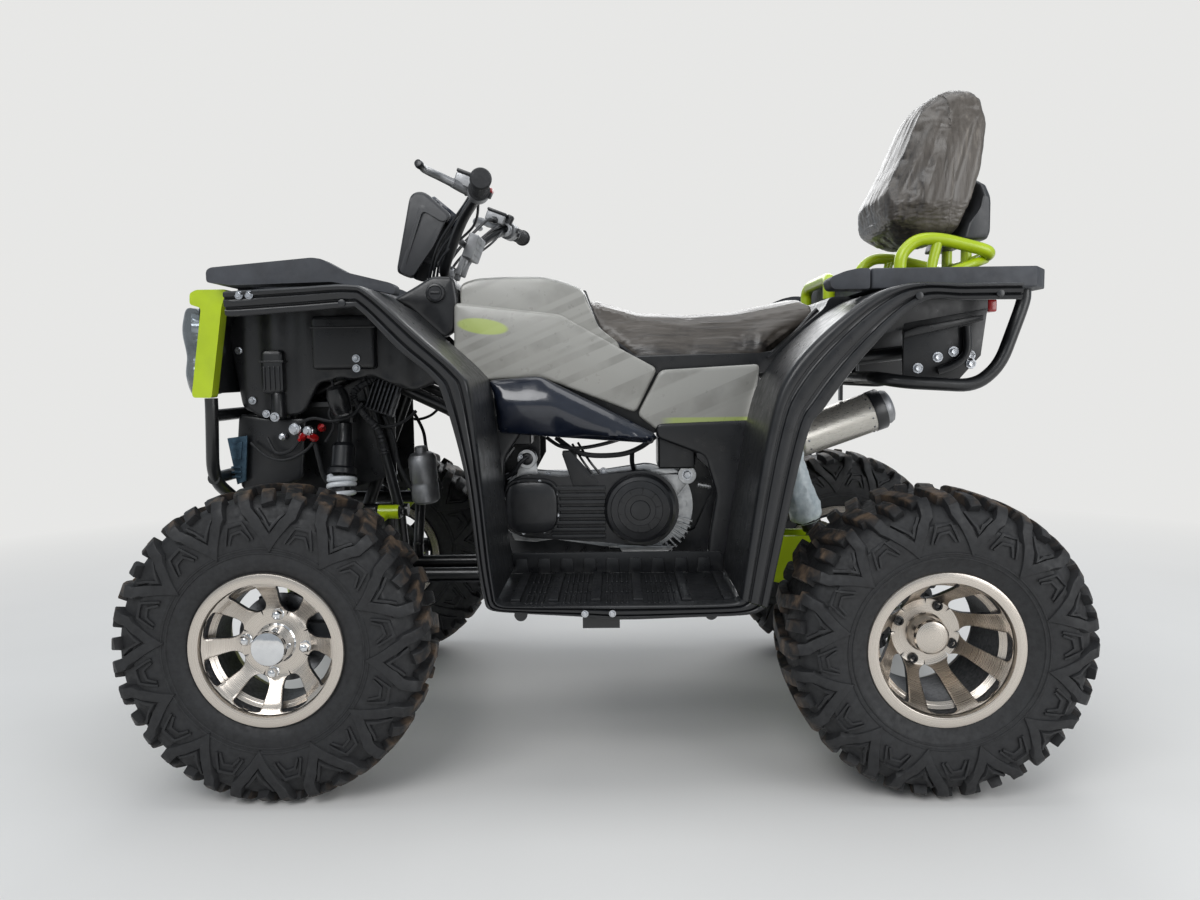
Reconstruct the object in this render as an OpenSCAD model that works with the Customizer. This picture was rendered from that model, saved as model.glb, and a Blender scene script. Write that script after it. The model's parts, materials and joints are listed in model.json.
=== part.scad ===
// Utility quad bike with a step-through footwell, two racks and a passenger backrest.
// X points forward, Y to the rider's left, Z up. The origin is on the ground, in the middle of the
// overall length and width.

/* [Wheels] */
// Distance between the front and the rear axle
wheelbase = 1210; // [1050:5:1460]
// Distance between the centre planes of the front tyres
front_track = 890; // [860:5:1080]
// Distance between the centre planes of the rear tyres
rear_track = 812; // [790:2:980]
// Overall diameter of a front tyre
front_tyre_d = 580; // [480:5:700]
// Section width of a front tyre
front_tyre_w = 178; // [160:2:214]
// Overall diameter of a rear tyre
rear_tyre_d = 560; // [466:5:680]
// Section width of a rear tyre
rear_tyre_w = 254; // [236:2:270]
// Diameter of the rim's bead seat
rim_d = 252.8; // [246:0.1:304]
// Width of a front rim between its flanges
front_rim_w = 140; // [118:2:150]
// Width of a rear rim between its flanges
rear_rim_w = 203; // [180:1:215]
// Depth of the wheel face behind the lip of a front rim
front_dish = 54; // [48:1:62]
// Depth of the wheel face behind the lip of a rear rim
rear_dish = 124; // [100:1:132]
// Number of spokes on a rim
spokes = 8; // [5:1:12]

/* [Steering and suspension] */
// Distance of the kingpin from the front tyre's centre plane
scrub = 100; // [98:1:120]
// Length of the steering arms and of the drop arm
steer_arm = 62; // [52:1:74]
// Lean of the steering column behind the vertical, in degrees
column_lean = 21; // [18:0.5:24]
// Diameter of the steering column
column_d = 28; // [24:1:34]
// Diameter of the suspension arms' tubes
arm_d = 24; // [18:1:28]
// Diameter of the front springs
spring_d = 64; // [52:1:76]

/* [Frame] */
// Diameter of the frame's main tubes
rail_d = 28; // [22:1:32]
// Height of the lower rails' centre line
rail_z = 330; // [325:1:340]
// Distance of the lower rails from the middle
rail_y = 72; // [66:1:76]
// Distance of the upper rails from the middle
top_rail_y = 110; // [104:1:122]

/* [Body] */
// Half the width over the fenders
fender_y = 488; // [440:1:520]
// Half the width of the side panels
panel_y = 200; // [192:1:204]
// Half the width of the nose
nose_y = 265; // [230:1:280]
// Thickness of the body's moulded panels
skin = 5; // [4:0.5:6]
// Height of the footwell's floor
floor_z = 357; // [354:1:366]
// Half the width of the seat
seat_y = 160; // [140:1:185]
// Half the width of the front rack
front_rack_y = 350; // [300:1:420]
// Half the width of the rear rack
rear_rack_y = 360; // [300:1:430]
// Half the width of the backrest cushion
backrest_y = 150; // [130:1:180]

/* [Handlebar] */
// Half the width over the grips
bar_y = 385; // [330:1:440]
// Diameter of the handlebar tube
bar_d = 22.2; // [20:0.2:26]

/* [Hidden] */
$fn = 48;

gap = 0.3;                       // between pieces that are bolted or seated on each other
run = 0.5;                       // running clearance round pins and shafts
front_r = front_tyre_d / 2;
rear_r = rear_tyre_d / 2;
front_x = wheelbase / 2 - (front_r - rear_r) / 2;
rear_x = -wheelbase / 2 - (front_r - rear_r) / 2;
bead_r = rim_d / 2;
flange_h = 14.6;                 // height of a rim flange over the bead seat
flange_w = 8;                    // width of a rim flange
lip_r = bead_r + flange_h;
rail_r = rail_d / 2;

// Outlines are drawn with the axles at these stations, and move with the real ones.
drawn_front = 600;
drawn_rear = -610;
drawn_mid = 250;                 // half the length of the stretch that takes up a longer wheelbase

function station(x) =
    let (f = front_x - drawn_front, r = rear_x - drawn_rear)
    x > drawn_mid ? x + f
    : x < -drawn_mid ? x + r
    : x + r + (f - r) * (x + drawn_mid) / (2 * drawn_mid);
function at(x, y, z) = [station(x), y, z];
function outline(pts) = [for (p = pts) [station(p[0]), p[1]]];
function reversed(v) = [for (i = [len(v) - 1:-1:0]) v[i]];
function unit(v) = v / norm(v);
function left_of(d) = [-d[1], d[0]];

// Moves an open path sideways by d, to its left where d is positive.
function shifted(path, d) = [for (i = [0:len(path) - 1])
    let (n1 = left_of(unit(i > 0 ? path[i] - path[i - 1] : path[1] - path[0])),
         n2 = left_of(unit(i < len(path) - 1 ? path[i + 1] - path[i] : path[i] - path[i - 1])))
    path[i] + d * (n1 + n2) / (1 + n1 * n2)];

// A strip of sheet along a path, from d1 to d2 to its left.
function strip(path, d1, d2) = concat(shifted(path, d1), reversed(shifted(path, d2)));

// Rounds the inner corners of an open path, each starting r before the corner.
function eased(path, r, n = 4) = concat([path[0]], [for (i = [1:len(path) - 2])
    let (a = path[i] + min(r, norm(path[i - 1] - path[i]) / 2) * unit(path[i - 1] - path[i]),
         b = path[i] + min(r, norm(path[i + 1] - path[i]) / 2) * unit(path[i + 1] - path[i]))
    for (k = [0:n]) let (t = k / n)
        (1 - t) * (1 - t) * a + 2 * t * (1 - t) * path[i] + t * t * b], [path[len(path) - 1]]);

module both() {
    children();
    mirror([0, 1, 0]) children();
}

// A side-view outline, from y0 to y1.
module slab(pts, y0, y1) {
    translate([0, y1, 0]) rotate([90, 0, 0]) linear_extrude(y1 - y0) polygon(pts);
}

// A block between two corners.
module block(low, high) {
    translate(low) cube(high - low);
}

// A round bar from a to b.
module bar(a, b, r) {
    d = b - a;
    translate(a)
        rotate([0, acos(d[2] / norm(d)), atan2(d[1], d[0])])
            cylinder(h = norm(d), r = r);
}

// A bent tube: bars with a slightly larger ball at each bend.
module tube(pts, r) {
    for (i = [0:len(pts) - 2])
        bar(pts[i], pts[i + 1], r);
    if (len(pts) > 2)
        for (i = [1:len(pts) - 2])
            translate(pts[i]) sphere(r = r + 1);
}

// ---------------------------------------------------------------- wheels

// Right-hand half of a tyre's section, as radius and distance from the centre plane.
function tyre_half(r, w, rim_w) = [
    [r, 0], [r - 1, 0.28 * w], [r - 6, 0.40 * w], [r - 22, 0.465 * w], [0.84 * r, 0.495 * w],
    [0.72 * r, 0.5 * w], [0.60 * r, 0.485 * w], [lip_r + 8, rim_w / 2 + 7],
    [lip_r + 1, rim_w / 2 + 3], [lip_r + 1, rim_w / 2 - gap], [bead_r + gap, rim_w / 2 - gap],
    [bead_r + gap, rim_w / 2 - 16], [lip_r + 4, rim_w / 2 - 12], [0.62 * r, 0.44 * w],
    [0.74 * r, 0.455 * w], [r - 40, 0.44 * w], [r - 22, 0.37 * w], [r - 20, 0]];

module tyre(r, w, rim_w) {
    half = tyre_half(r, w, rim_w);
    last = len(half) - 1;
    color("#1c1c1e")
    rotate([90, 0, 0]) rotate_extrude(convexity = 6)
        polygon(concat(half, [for (i = [last - 1:-1:1]) [half[i][0], -half[i][1]]]));
}

cap_r = 37;                      // hub cap
cap_h = 44;
face_r = 62;                     // flat middle of the wheel face
face_t = 9;
well_r = bead_r - 15;            // well between the bead seats
wall = 4;                        // thickness of the rim's barrel
spindle_r = 14.5;

// Window between two spokes, along X, from radius r1 to r2.
module window(r1, r2) {
    a = 0.3 * r1 * sin(180 / spokes) + 4;
    b = 0.6 * r2 * sin(180 / spokes);
    polygon([[r1, -0.6 * a], [r1 + 7, -a], [r2, -b], [r2 + 2, 0], [r2, b], [r1 + 7, a],
             [r1, 0.6 * a]]);
}

// Rim whose lip faces +Y, centred on its tyre. Outer lip, barrel, spoked cone and hub cap.
module rim(rim_w, dish) {
    h = rim_w / 2 + flange_w;
    face = h - dish;
    cone_t = 6 + dish / 12;
    edge_r = lip_r - 19;
    color("#b9b6b0")
    rotate([-90, 0, 0])
    difference() {
        union() {
            rotate_extrude(convexity = 6)
                polygon([[lip_r, h], [lip_r, h - flange_w], [bead_r, h - flange_w],
                         [bead_r, h - 32], [well_r, h - 40], [well_r, -h + 40],
                         [bead_r, -h + 32], [bead_r, -h + flange_w], [lip_r, -h + flange_w],
                         [lip_r, -h], [bead_r - wall, -h], [bead_r - wall, -h + 32],
                         [well_r - wall, -h + 40], [well_r - wall, h - 44],
                         [bead_r - wall - 1, h - 30], [bead_r - wall - 1, h]]);
            rotate_extrude(convexity = 4)
                polygon([[spindle_r + run, face - face_t], [face_r, face - face_t],
                         [edge_r + 1, h - 12 - cone_t], [edge_r + 1, h - 12],
                         [face_r, face], [spindle_r + run, face]]);
            translate([0, 0, face - 1]) cylinder(h = cap_h + 1, r = cap_r);
        }
        for (k = [0:spokes - 1])
            rotate([0, 0, (k + 0.5) * 360 / spokes]) {
                translate([0, 0, face - face_t - 1]) linear_extrude(dish + face_t + 2)
                    window(face_r + 2, well_r - wall - 3);
                translate([0, 0, h - 28]) linear_extrude(30)
                    window(face_r + 20, edge_r - 6);
            }
    }
}

// Where the back of a rim's face lies, measured outwards from its tyre's centre plane.
function face_back(rim_w, dish) = rim_w / 2 + flange_w - dish - face_t;

disc_r = 84;                     // front brake disc
disc_t = 4;
hub_r = 40;
hub_l = 44;                      // from the wheel face to the hub's inner end
disc_in = 30;                    // from the wheel face to the disc

module front_rim() {
    back = face_back(front_rim_w, front_dish);
    rim(front_rim_w, front_dish);
    color("#8c8c8e")
    rotate([-90, 0, 0]) translate([0, 0, back]) {
        difference() {
            translate([0, 0, -hub_l]) cylinder(h = hub_l + 0.5, r = hub_r);
            translate([0, 0, -hub_l - 1]) cylinder(h = hub_l + 2, r = spindle_r + run);
        }
        difference() {
            translate([0, 0, -disc_in - disc_t]) cylinder(h = disc_t, r = disc_r);
            translate([0, 0, -disc_in - disc_t - 1]) cylinder(h = disc_t + 2, r = hub_r - 1);
        }
    }
}

module front_wheel_place(side) {
    translate([front_x, side * front_track / 2, front_r])
        mirror([0, side < 0 ? 1 : 0, 0]) children();
}

module rear_wheel_places() {
    both() translate([rear_x, rear_track / 2, rear_r]) children();
}

axle_r = 15;
housing_y = 92;                  // half the length of the axle housing on the swingarm
sprocket_y = 118;                // brake disc and sprocket, either side of the housing
sprocket_r = 88;
chain_w = 8;

module rear_axle() {
    back = rear_track / 2 + face_back(rear_rim_w, rear_dish);
    color("#77787a") {
        bar([rear_x, gap - back, rear_r], [rear_x, back - gap, rear_r], axle_r);
        both() {
            bar([rear_x, back - 24, rear_r], [rear_x, back - gap, rear_r], face_r - 4);
            bar([rear_x, back - 60, rear_r], [rear_x, back - 23, rear_r], 28);
            bar([rear_x, sprocket_y - 9, rear_r], [rear_x, sprocket_y + 9, rear_r], 32);
        }
        bar([rear_x, sprocket_y - 3, rear_r], [rear_x, sprocket_y + 3, rear_r], sprocket_r - 6);
        bar([rear_x, -sprocket_y - 3, rear_r], [rear_x, -sprocket_y + 3, rear_r], sprocket_r);
    }
}

// ---------------------------------------------------------------- steering and suspension

kingpin_y = front_track / 2 - scrub;
ball_low = front_r - 76;         // height of the lower ball joint
ball_high = front_r + 82;        // and of the upper one
rod_z = ball_high - 6;           // height of the tie rods' outer pins
rod_r = 7;
eye_r = 14;
eye_h = 12;
pin_r = 5;
pin_play = 4;                    // play round the tie rod's outer pin
eye_step = eye_h / 2 + run;      // the two inner eyes sit on one pin, one over the other
pivot_x = [front_x - 135, front_x + 100];   // middles of the arms' inner bushes
bush_l = 44;
bush_r = arm_d / 2 + 3;
bolt_r = 6;
mid_z = 482;                     // height of the frame's rails between the front wheels
low_pivot = [rail_y + rail_r + bush_r + 3, rail_z];
high_pivot = [top_rail_y + rail_r + bush_r + 3, mid_z];
column_dir = [-sin(column_lean), 0, cos(column_lean)];
column_across = [cos(column_lean), 0, sin(column_lean)];
drop_base = [front_x, 0, rod_z - steer_arm * sin(column_lean)];
column_top = 700;                // from the drop arm to the handlebar clamp, along the column
clamp = drop_base + column_top * column_dir;

// Local frame of the column: Z along it, X forwards.
module along_column() {
    translate(drop_base) rotate([0, -column_lean, 0]) children();
}

// One side's wishbone: two bushes on the frame and a boss round the kingpin's ball.
module wishbone(pivot, ball_z) {
    ball = [front_x, kingpin_y, ball_z];
    difference() {
        union() {
            for (x = pivot_x) {
                bar([x - bush_l / 2, pivot[0], pivot[1]], [x + bush_l / 2, pivot[0], pivot[1]],
                    bush_r);
                bar([x, pivot[0], pivot[1]], ball - [0, 10, 0], arm_d / 2 - 2);
            }
            bar(ball - [0, 0, 12], ball + [0, 0, 12], 17);
            children();
        }
        for (x = pivot_x)
            bar([x - bush_l, pivot[0], pivot[1]], [x + bush_l, pivot[0], pivot[1]],
                bolt_r + gap);
        bar(ball - [0, 0, 30], ball + [0, 0, 30], ball_r + run);
    }
}

// Brackets and bolts that carry a wishbone's bushes beside a rail.
module bush_brackets(pivot, rail) {
    for (x = pivot_x) {
        for (s = [-1, 1])
            translate([x + s * (bush_l / 2 + gap + 2.5) - 2.5, rail, pivot[1] - 12])
                cube([5, pivot[0] - rail + 12, 24]);
        bar([x - bush_l / 2 - 8, pivot[0], pivot[1]], [x + bush_l / 2 + 8, pivot[0], pivot[1]],
            bolt_r);
    }
}

ball_r = 8;
shock_foot = [front_x - 38, kingpin_y - 106, 290];
shock_head = [front_x - 50, high_pivot[0] + 10, 690];
eye_w = 24;
shock_eye_r = 16;
shock_bolt_r = 5;

// Spring and damper between two eyes; across is the direction of the eyes' bolts.
module shock(foot, head, across, r, from, to) {
    d = head - foot;
    difference() {
        union() {
            bar(foot, head, 10);
            bar(foot + from * d, foot + to * d, r);
            for (p = [foot, head])
                bar(p - eye_w / 2 * across, p + eye_w / 2 * across, shock_eye_r);
        }
        for (p = [foot, head])
            bar(p - eye_w * across, p + eye_w * across, shock_bolt_r + gap);
    }
}

// Two plates and a bolt that hold a shock's eye, from its bolt to height z.
module clevis(eye, across, z) {
    low = min(eye[2], z) - (z > eye[2] ? 12 : 0);
    high = max(eye[2], z) + (z > eye[2] ? 0 : 12);
    side = [across[1], across[0], 0];
    for (s = [-1, 1]) {
        c = eye + s * (eye_w / 2 + gap + 3) * across;
        half = 3 * across + 12 * side;
        block([c[0] - half[0], c[1] - half[1], low], [c[0] + half[0], c[1] + half[1], high]);
    }
    bar(eye - (eye_w / 2 + 8) * across, eye + (eye_w / 2 + 8) * across, shock_bolt_r);
}

module lower_arms() {
    t = (shock_foot[1] - low_pivot[0]) / (kingpin_y - 10 - low_pivot[0]);
    z = low_pivot[1] + t * (ball_low - low_pivot[1]);
    color("#a9c61b")
    both() wishbone(low_pivot, ball_low) {
        bar([pivot_x[0] + t * (front_x - pivot_x[0]), shock_foot[1], z],
            [pivot_x[1] + t * (front_x - pivot_x[1]), shock_foot[1], z], arm_d / 2 - 2);
        clevis(shock_foot, [1, 0, 0], z - 6);
    }
}

module upper_arms() {
    color("#a9c61b") both() wishbone(high_pivot, ball_high);
}

module front_shocks() {
    color("#e4e6ea") both() shock(shock_foot, shock_head, [1, 0, 0], spring_d / 2, 0.42, 0.86);
}

module knuckle() {
    ky = kingpin_y;
    spindle_end = front_track / 2 + face_back(front_rim_w, front_dish) + face_t - 3;
    hub_end = front_track / 2 + face_back(front_rim_w, front_dish) - hub_l;
    caliper_y = front_track / 2 + face_back(front_rim_w, front_dish) - disc_in - disc_t / 2;
    color("#55585c") {
        // spindle and upright
        bar([front_x, ky - 14, front_r], [front_x, spindle_end, front_r], spindle_r);
        block([front_x - 20, ky - 14, ball_low + 19], [front_x + 20, ky + 12, ball_high - 18]);
        bar([front_x, ky, ball_low - 16], [front_x, ky, ball_low + 20], ball_r);
        bar([front_x, ky, ball_high - 20], [front_x, ky, ball_high + 16], ball_r);
        bar([front_x, ky, front_r], [front_x, hub_end - 5, front_r], 26);
        // steering arm and its upright pin
        block([front_x, ky - 12, rod_z - 30], [front_x + steer_arm + 12, ky + 8, rod_z - 18]);
        bar([front_x + steer_arm, ky, rod_z - 20], [front_x + steer_arm, ky, rod_z + 18], pin_r);
        // brake caliper, open round the disc
        difference() {
            block([front_x - 96, caliper_y - 20, front_r - 30],
                  [front_x - 54, caliper_y + 18, front_r + 30]);
            bar([front_x, caliper_y - 7, front_r], [front_x, caliper_y + 7, front_r],
                disc_r + 5);
        }
        block([front_x - 84, ky - 10, front_r - 22], [front_x - 15, ky + 6, front_r + 22]);
        block([front_x - 96, ky - 10, front_r - 22], [front_x - 66, caliper_y - 19, front_r + 22]);
    }
}

function rod_inner(side) = drop_base + steer_arm * column_across + side * eye_step * column_dir;
function rod_outer(side) = [front_x + steer_arm, side * kingpin_y, rod_z];

module tie_rod(side) {
    a = rod_inner(side);
    b = rod_outer(side);
    d = unit(b - a);
    color("#9a9a9c")
    difference() {
        union() {
            translate(a) rotate([0, -column_lean, 0]) cylinder(h = eye_h, r = eye_r - 1, center = true);
            translate(b) cylinder(h = eye_h, r = eye_r, center = true);
            bar(a + 8 * d, b - 10 * d, rod_r - 1.5);
            bar(a + 60 * d, b - 60 * d, rod_r);
        }
        translate(a) rotate([0, -column_lean, 0])
            cylinder(h = 4 * eye_h, r = pin_r + run, center = true);
        translate(b) cylinder(h = 4 * eye_h, r = pin_r + pin_play, center = true);
    }
}

module steering_column() {
    color("#232427")
    along_column() {
        translate([0, 0, 9]) cylinder(h = column_top - 29, r = column_d / 2);
        translate([0, 0, -28]) cylinder(h = 40, r = column_d / 2 - 4);
        // drop arm over the tie rods' inner eyes
        translate([-20, -18, eye_h + 3]) cube([steer_arm + 36, 36, 10]);
        translate([steer_arm, 0, -eye_h - 5]) cylinder(h = 2 * eye_h + 9, r = pin_r);
        // top yoke and the risers under the handlebar
        translate([-24, -50, column_top - 34]) cube([48, 100, 16]);
        for (s = [-1, 1])
            translate([-16, s * 38 - 10, column_top - 20])
                cube([32, 20, 20 - bar_d / 2 - gap]);
    }
}

// ---------------------------------------------------------------- handlebar

module at_clamp() {
    translate(clamp) rotate([0, -column_lean, 0]) children();
}

grip_from = [-50, bar_y - 150, 168];
grip_to = [-75, bar_y, 178];
grip_dir = unit(grip_to - grip_from);
grip_l = norm(grip_to - grip_from);
function on_grip(d, off = [0, 0, 0]) = grip_from + d * grip_dir + off;
function other_side(pts) = [for (p = reversed(pts)) [p[0], -p[1], p[2]]];

module handlebar() {
    left = [grip_to, grip_from, [-18, 150, 118], [0, 72, 0]];
    color("#1b1c1e") at_clamp() tube(concat(left, other_side(left)), bar_d / 2);
}

module grips() {
    color("#161618") at_clamp() both() difference() {
        bar(on_grip(48), on_grip(grip_l + 5), 16.5);
        bar(on_grip(0), on_grip(grip_l + 1), bar_d / 2 + gap);
    }
}

// Switch housings, brake levers and their perches.
module controls() {
    lever = on_grip(30, [36, 0, -4]);
    color("#2a2b2e") at_clamp() both() difference() {
        union() {
            bar(on_grip(8), on_grip(44), 22);
            bar(on_grip(30, [14, 0, -2]), lever + [6, 0, -1], 9);
            bar(lever, on_grip(grip_l - 8, [46, 0, -12]), 6);
        }
        bar(on_grip(-20), on_grip(grip_l), bar_d / 2 + gap);
    }
}

// Shroud with the dial housing, on a bracket over the handlebar.
module bar_cover() {
    low_r = bar_d / 2 + gap;
    color("#1e1f22") at_clamp() {
        slab([[88, -30], [104, -32], [129, 137], [101, 155], [30, 128], [34, 112], [92, 124]],
             -78, 78);
        // cheeks of the shroud, clear of the handlebar
        both() slab([[62, -29], [90, -30], [94, 126], [32, 120], [42, 50]], 78 - skin, 78);
        slab([[-14, low_r], [100, low_r], [100, low_r + 14], [-14, low_r + 14]], -26, 26);
    }
}

// ---------------------------------------------------------------- frame and engine

rail_nose = front_x + 135;
rail_tail = station(-350);
swing_pivot = [station(-335), 0, rail_z];
swing_bolt_r = 8;
engine_base = 400;
outrigger_r = 12;
floor_t = 10;
outrigger_z = floor_z - floor_t - gap - outrigger_r;
floor_y = 458;                   // where the floor's outer lip begins
bearing_z = -13;                 // lower bearing, along the column from the drop arm
head_z = 440;                    // upper bearing, along the column
main_tube = [[front_x + 120, top_rail_y, mid_z], [front_x + 70, top_rail_y, 720],
             [front_x - 80, top_rail_y, 790], at(330, top_rail_y, 700),
             at(-800, top_rail_y, 828)];
deck_z = 927;                    // underside of the rear rack
hood_z = 944;                    // top of the nose
tank_z = 790;                    // underside of the tank cover

// Height of the seat rail's centre line.
function seat_rail_z(x) = main_tube[3][2]
    + (main_tube[4][2] - main_tube[3][2]) * (x - main_tube[3][0])
    / (main_tube[4][0] - main_tube[3][0]);

module frame_lower() {
    color("#1d1e20")
    difference() {
        union() {
            both() {
                bar([rail_tail, rail_y, rail_z], [rail_nose, rail_y, rail_z], rail_r);
                bush_brackets(low_pivot, rail_y);
                for (x = [-110, 170])
                    block(at(x, rail_y - 12, rail_z),
                          at(x, rail_y + 12, engine_base - gap) + [30, 0, 0]);
            }
            for (x = [-200, 2, 150])
                bar(at(x, -floor_y + 4, outrigger_z), at(x, floor_y - 4, outrigger_z),
                    outrigger_r);
            both() block(at(-32, floor_y - 16, 310), at(36, floor_y - gap, outrigger_z));
            bar([rail_nose - 12, -rail_y, rail_z], [rail_nose - 12, rail_y, rail_z], 10);
            bar(swing_pivot - [0, rail_y + rail_r, 0], swing_pivot + [0, rail_y + rail_r, 0],
                swing_bolt_r);
            along_column() {
                translate([0, 0, bearing_z - 11]) cylinder(h = 22, r = 20);
                translate([0, 0, bearing_z]) rotate([90, 0, 0])
                    cylinder(h = 2 * rail_y, r = 9, center = true);
            }
        }
        along_column() translate([0, 0, bearing_z - 30])
            cylinder(h = 60, r = column_d / 2 - 4 + run);
    }
}

muffler_front = at(-480, -250, 600);
muffler_back = at(-705, -250, 678);
muffler_dir = unit(muffler_back - muffler_front);
muffler_r = 52;
hanger_x = station(-600);
split_x = station(250);          // where the rear frame is bolted to the front one

post_base = rail_z + rail_r + gap;
foot_z = post_base + 28;         // where the upright posts lean in
split = [split_x, top_rail_y, seat_rail_z(split_x)];
shelf = [station(-545), 760];    // shelf that the rear bumper ends on
rear_foot = at(-480, 0, 392);
rear_head = at(-375, 0, 745);

// Tubes between the front wheels, with the shock towers and the upper steering bearing.
module frame_front() {
    color("#1d1e20")
    difference() {
        union() {
            both() {
                tube([[front_x + 120, rail_y, post_base], [front_x + 120, rail_y, foot_z],
                      main_tube[0], main_tube[1], main_tube[2], main_tube[3], split], rail_r);
                bar([front_x - 170, top_rail_y, mid_z], [front_x + 150, top_rail_y, mid_z],
                    rail_r);
                tube([[front_x - 150, rail_y, post_base], [front_x - 150, rail_y, foot_z],
                      [front_x - 150, top_rail_y, mid_z]], rail_r - 2);
                bar([front_x - 150, top_rail_y, mid_z], main_tube[2], rail_r - 3);
                bush_brackets(high_pivot, top_rail_y);
                bar(main_tube[2], [main_tube[2][0], top_rail_y, hood_z - 40 - gap], 10);
                clevis(shock_head, [1, 0, 0], 720);
                block([shock_head[0] - 30, top_rail_y - 6, 712],
                      [front_x + 70, shock_head[1] + 12, 722]);
            }
            along_column() {
                translate([0, 0, head_z - 14]) cylinder(h = 28, r = column_d / 2 + 10);
                translate([0, 0, head_z]) rotate([90, 0, 0])
                    cylinder(h = 2 * top_rail_y, r = 9, center = true);
            }
        }
        along_column() translate([0, 0, head_z - 40])
            cylinder(h = 80, r = column_d / 2 + run);
    }
}

// Seat rails, with the posts, stubs and hangers that the body and muffler are bolted to.
module frame_rear() {
    start = split + gap * unit(main_tube[4] - main_tube[3]);
    hanger_z = muffler_front[2]
        + (hanger_x - 4 - muffler_front[0]) * muffler_dir[2] / muffler_dir[0]
        - muffler_r / muffler_dir[0] + gap;
    color("#1d1e20") {
        both() {
            bar(start, main_tube[4], rail_r);
            tube([at(-300, rail_y, post_base), at(-300, rail_y, foot_z),
                  at(-330, top_rail_y, seat_rail_z(station(-330)))], rail_r - 2);
            bar(at(100, top_rail_y, 720), at(100, top_rail_y, tank_z - gap), 10);
            bar(at(100, top_rail_y, tank_z - 15), at(100, panel_y - 30 - gap, tank_z - 15), 8);
            bar(at(-220, top_rail_y, seat_rail_z(station(-220))),
                at(-220, panel_y - 30 - gap, seat_rail_z(station(-220))), 8);
            bar([shelf[0], top_rail_y, seat_rail_z(shelf[0])],
                [shelf[0], top_rail_y, shelf[1] + 3], 8);
        }
        bar([shelf[0], -top_rail_y - rail_r, shelf[1]], [shelf[0], top_rail_y + rail_r, shelf[1]],
            10);
        bar([rear_head[0], -top_rail_y, rear_head[2] + 32],
            [rear_head[0], top_rail_y, rear_head[2] + 32], 12);
        clevis(rear_head, [0, 1, 0], rear_head[2] + 30);
        for (x = [station(30), station(-700)])
            bar([x, -top_rail_y, seat_rail_z(x)], [x, top_rail_y, seat_rail_z(x)], 10);
        bar([hanger_x, muffler_front[1], seat_rail_z(hanger_x) - 4],
            [hanger_x, -top_rail_y, seat_rail_z(hanger_x) - 4], 8);
        block([hanger_x - 4, muffler_front[1] - 8, hanger_z],
              [hanger_x + 4, muffler_front[1] + 8, seat_rail_z(hanger_x)]);
    }
}

module skid_plate() {
    top = rail_z - rail_r - gap;
    color("#3b3c3f")
    block([rail_tail + 30, -rail_y - 10, top - 4], [front_x - 30, rail_y + 10, top]);
}

out_sprocket = at(-90, -sprocket_y, 495);
out_r = 38;

// Crankcase, forward-lying cylinder and output sprocket.
port = at(262, 0, 446);          // middle of the exhaust port's flat flange

module engine() {
    color("#8f9092") {
        block(at(-130, -95, 410), at(190, 90, 545));
        block(at(-120, -60, engine_base), at(215, 60, 411));
        both() for (x = [-110, 170])
            block(at(x, rail_y - 14, engine_base), at(x, rail_y + 14, 411) + [30, 0, 0]);
        bar(at(189, 0, 500), at(300, 0, 520), 52);
        block(port + [-26, -26, 0], port + [26, 26, 40]);
        bar([out_sprocket[0], -sprocket_y - 3, out_sprocket[2]],
            [out_sprocket[0], -94, out_sprocket[2]], 14);
        bar([out_sprocket[0], -sprocket_y - 3, out_sprocket[2]],
            [out_sprocket[0], -sprocket_y + 3, out_sprocket[2]], out_r);
    }
}

// Belt-drive case on the engine's left side, with its two round covers.
module cvt_case() {
    front = at(155, 0, 490);
    rear = at(-90, 0, 495);
    color("#26272a") {
        translate([0, 160, 0]) rotate([90, 0, 0]) linear_extrude(160 - 90 - gap) hull() {
            translate([front[0], front[2]]) circle(r = 72);
            translate([rear[0], rear[2]]) circle(r = 86);
        }
        bar([front[0], 159, front[2]], [front[0], 178, front[2]], 60);
        bar([rear[0], 159, rear[2]], [rear[0], 184, rear[2]], 80);
    }
}

pipe_r = 16;

module exhaust_pipe() {
    color("#5d5a57")
    tube([port - [0, 0, gap], port - [0, 0, 32], at(225, -110, 408), at(0, -155, 440),
          at(-330, -172, 560), muffler_front - 50 * muffler_dir, muffler_front - gap * muffler_dir], pipe_r);
}

module muffler() {
    color("#c3c4c4") {
        bar(muffler_front, muffler_back, muffler_r);
        bar(muffler_back - muffler_dir, muffler_back + 22 * muffler_dir, muffler_r - 8);
    }
}

module chain_outline(grow) {
    hull() {
        translate([rear_x, rear_r]) circle(r = sprocket_r + grow);
        translate([out_sprocket[0], out_sprocket[2]]) circle(r = out_r + grow);
    }
}

module drive_chain() {
    color("#6d6b66")
    translate([0, -sprocket_y + chain_w / 2, 0]) rotate([90, 0, 0]) linear_extrude(chain_w)
        difference() {
            chain_outline(10);
            chain_outline(run);
        }
}

module swingarm() {
    axle = [rear_x, 0, rear_r];
    color("#a9c61b")
    difference() {
        union() {
            bar(swing_pivot - [0, rail_y - rail_r - gap, 0],
                swing_pivot + [0, rail_y - rail_r - gap, 0], 20);
            bar(axle - [0, housing_y, 0], axle + [0, housing_y, 0], 36);
            both() slab([[swing_pivot[0] + 14, rail_z - 18], [swing_pivot[0] + 14, rail_z + 22],
                         [station(-385), 404], [station(-500), 404], [rear_x + 30, rear_r + 30],
                         [rear_x + 30, rear_r - 18]], 40, 52);
            bar([rear_foot[0], -50, 330], [rear_foot[0], 50, 330], 14);
            clevis(rear_foot, [0, 1, 0], 330);
        }
        bar(swing_pivot - [0, rail_y, 0], swing_pivot + [0, rail_y, 0], swing_bolt_r + gap);
        bar(axle - [0, 2 * housing_y, 0], axle + [0, 2 * housing_y, 0], axle_r + run);
    }
}

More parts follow.
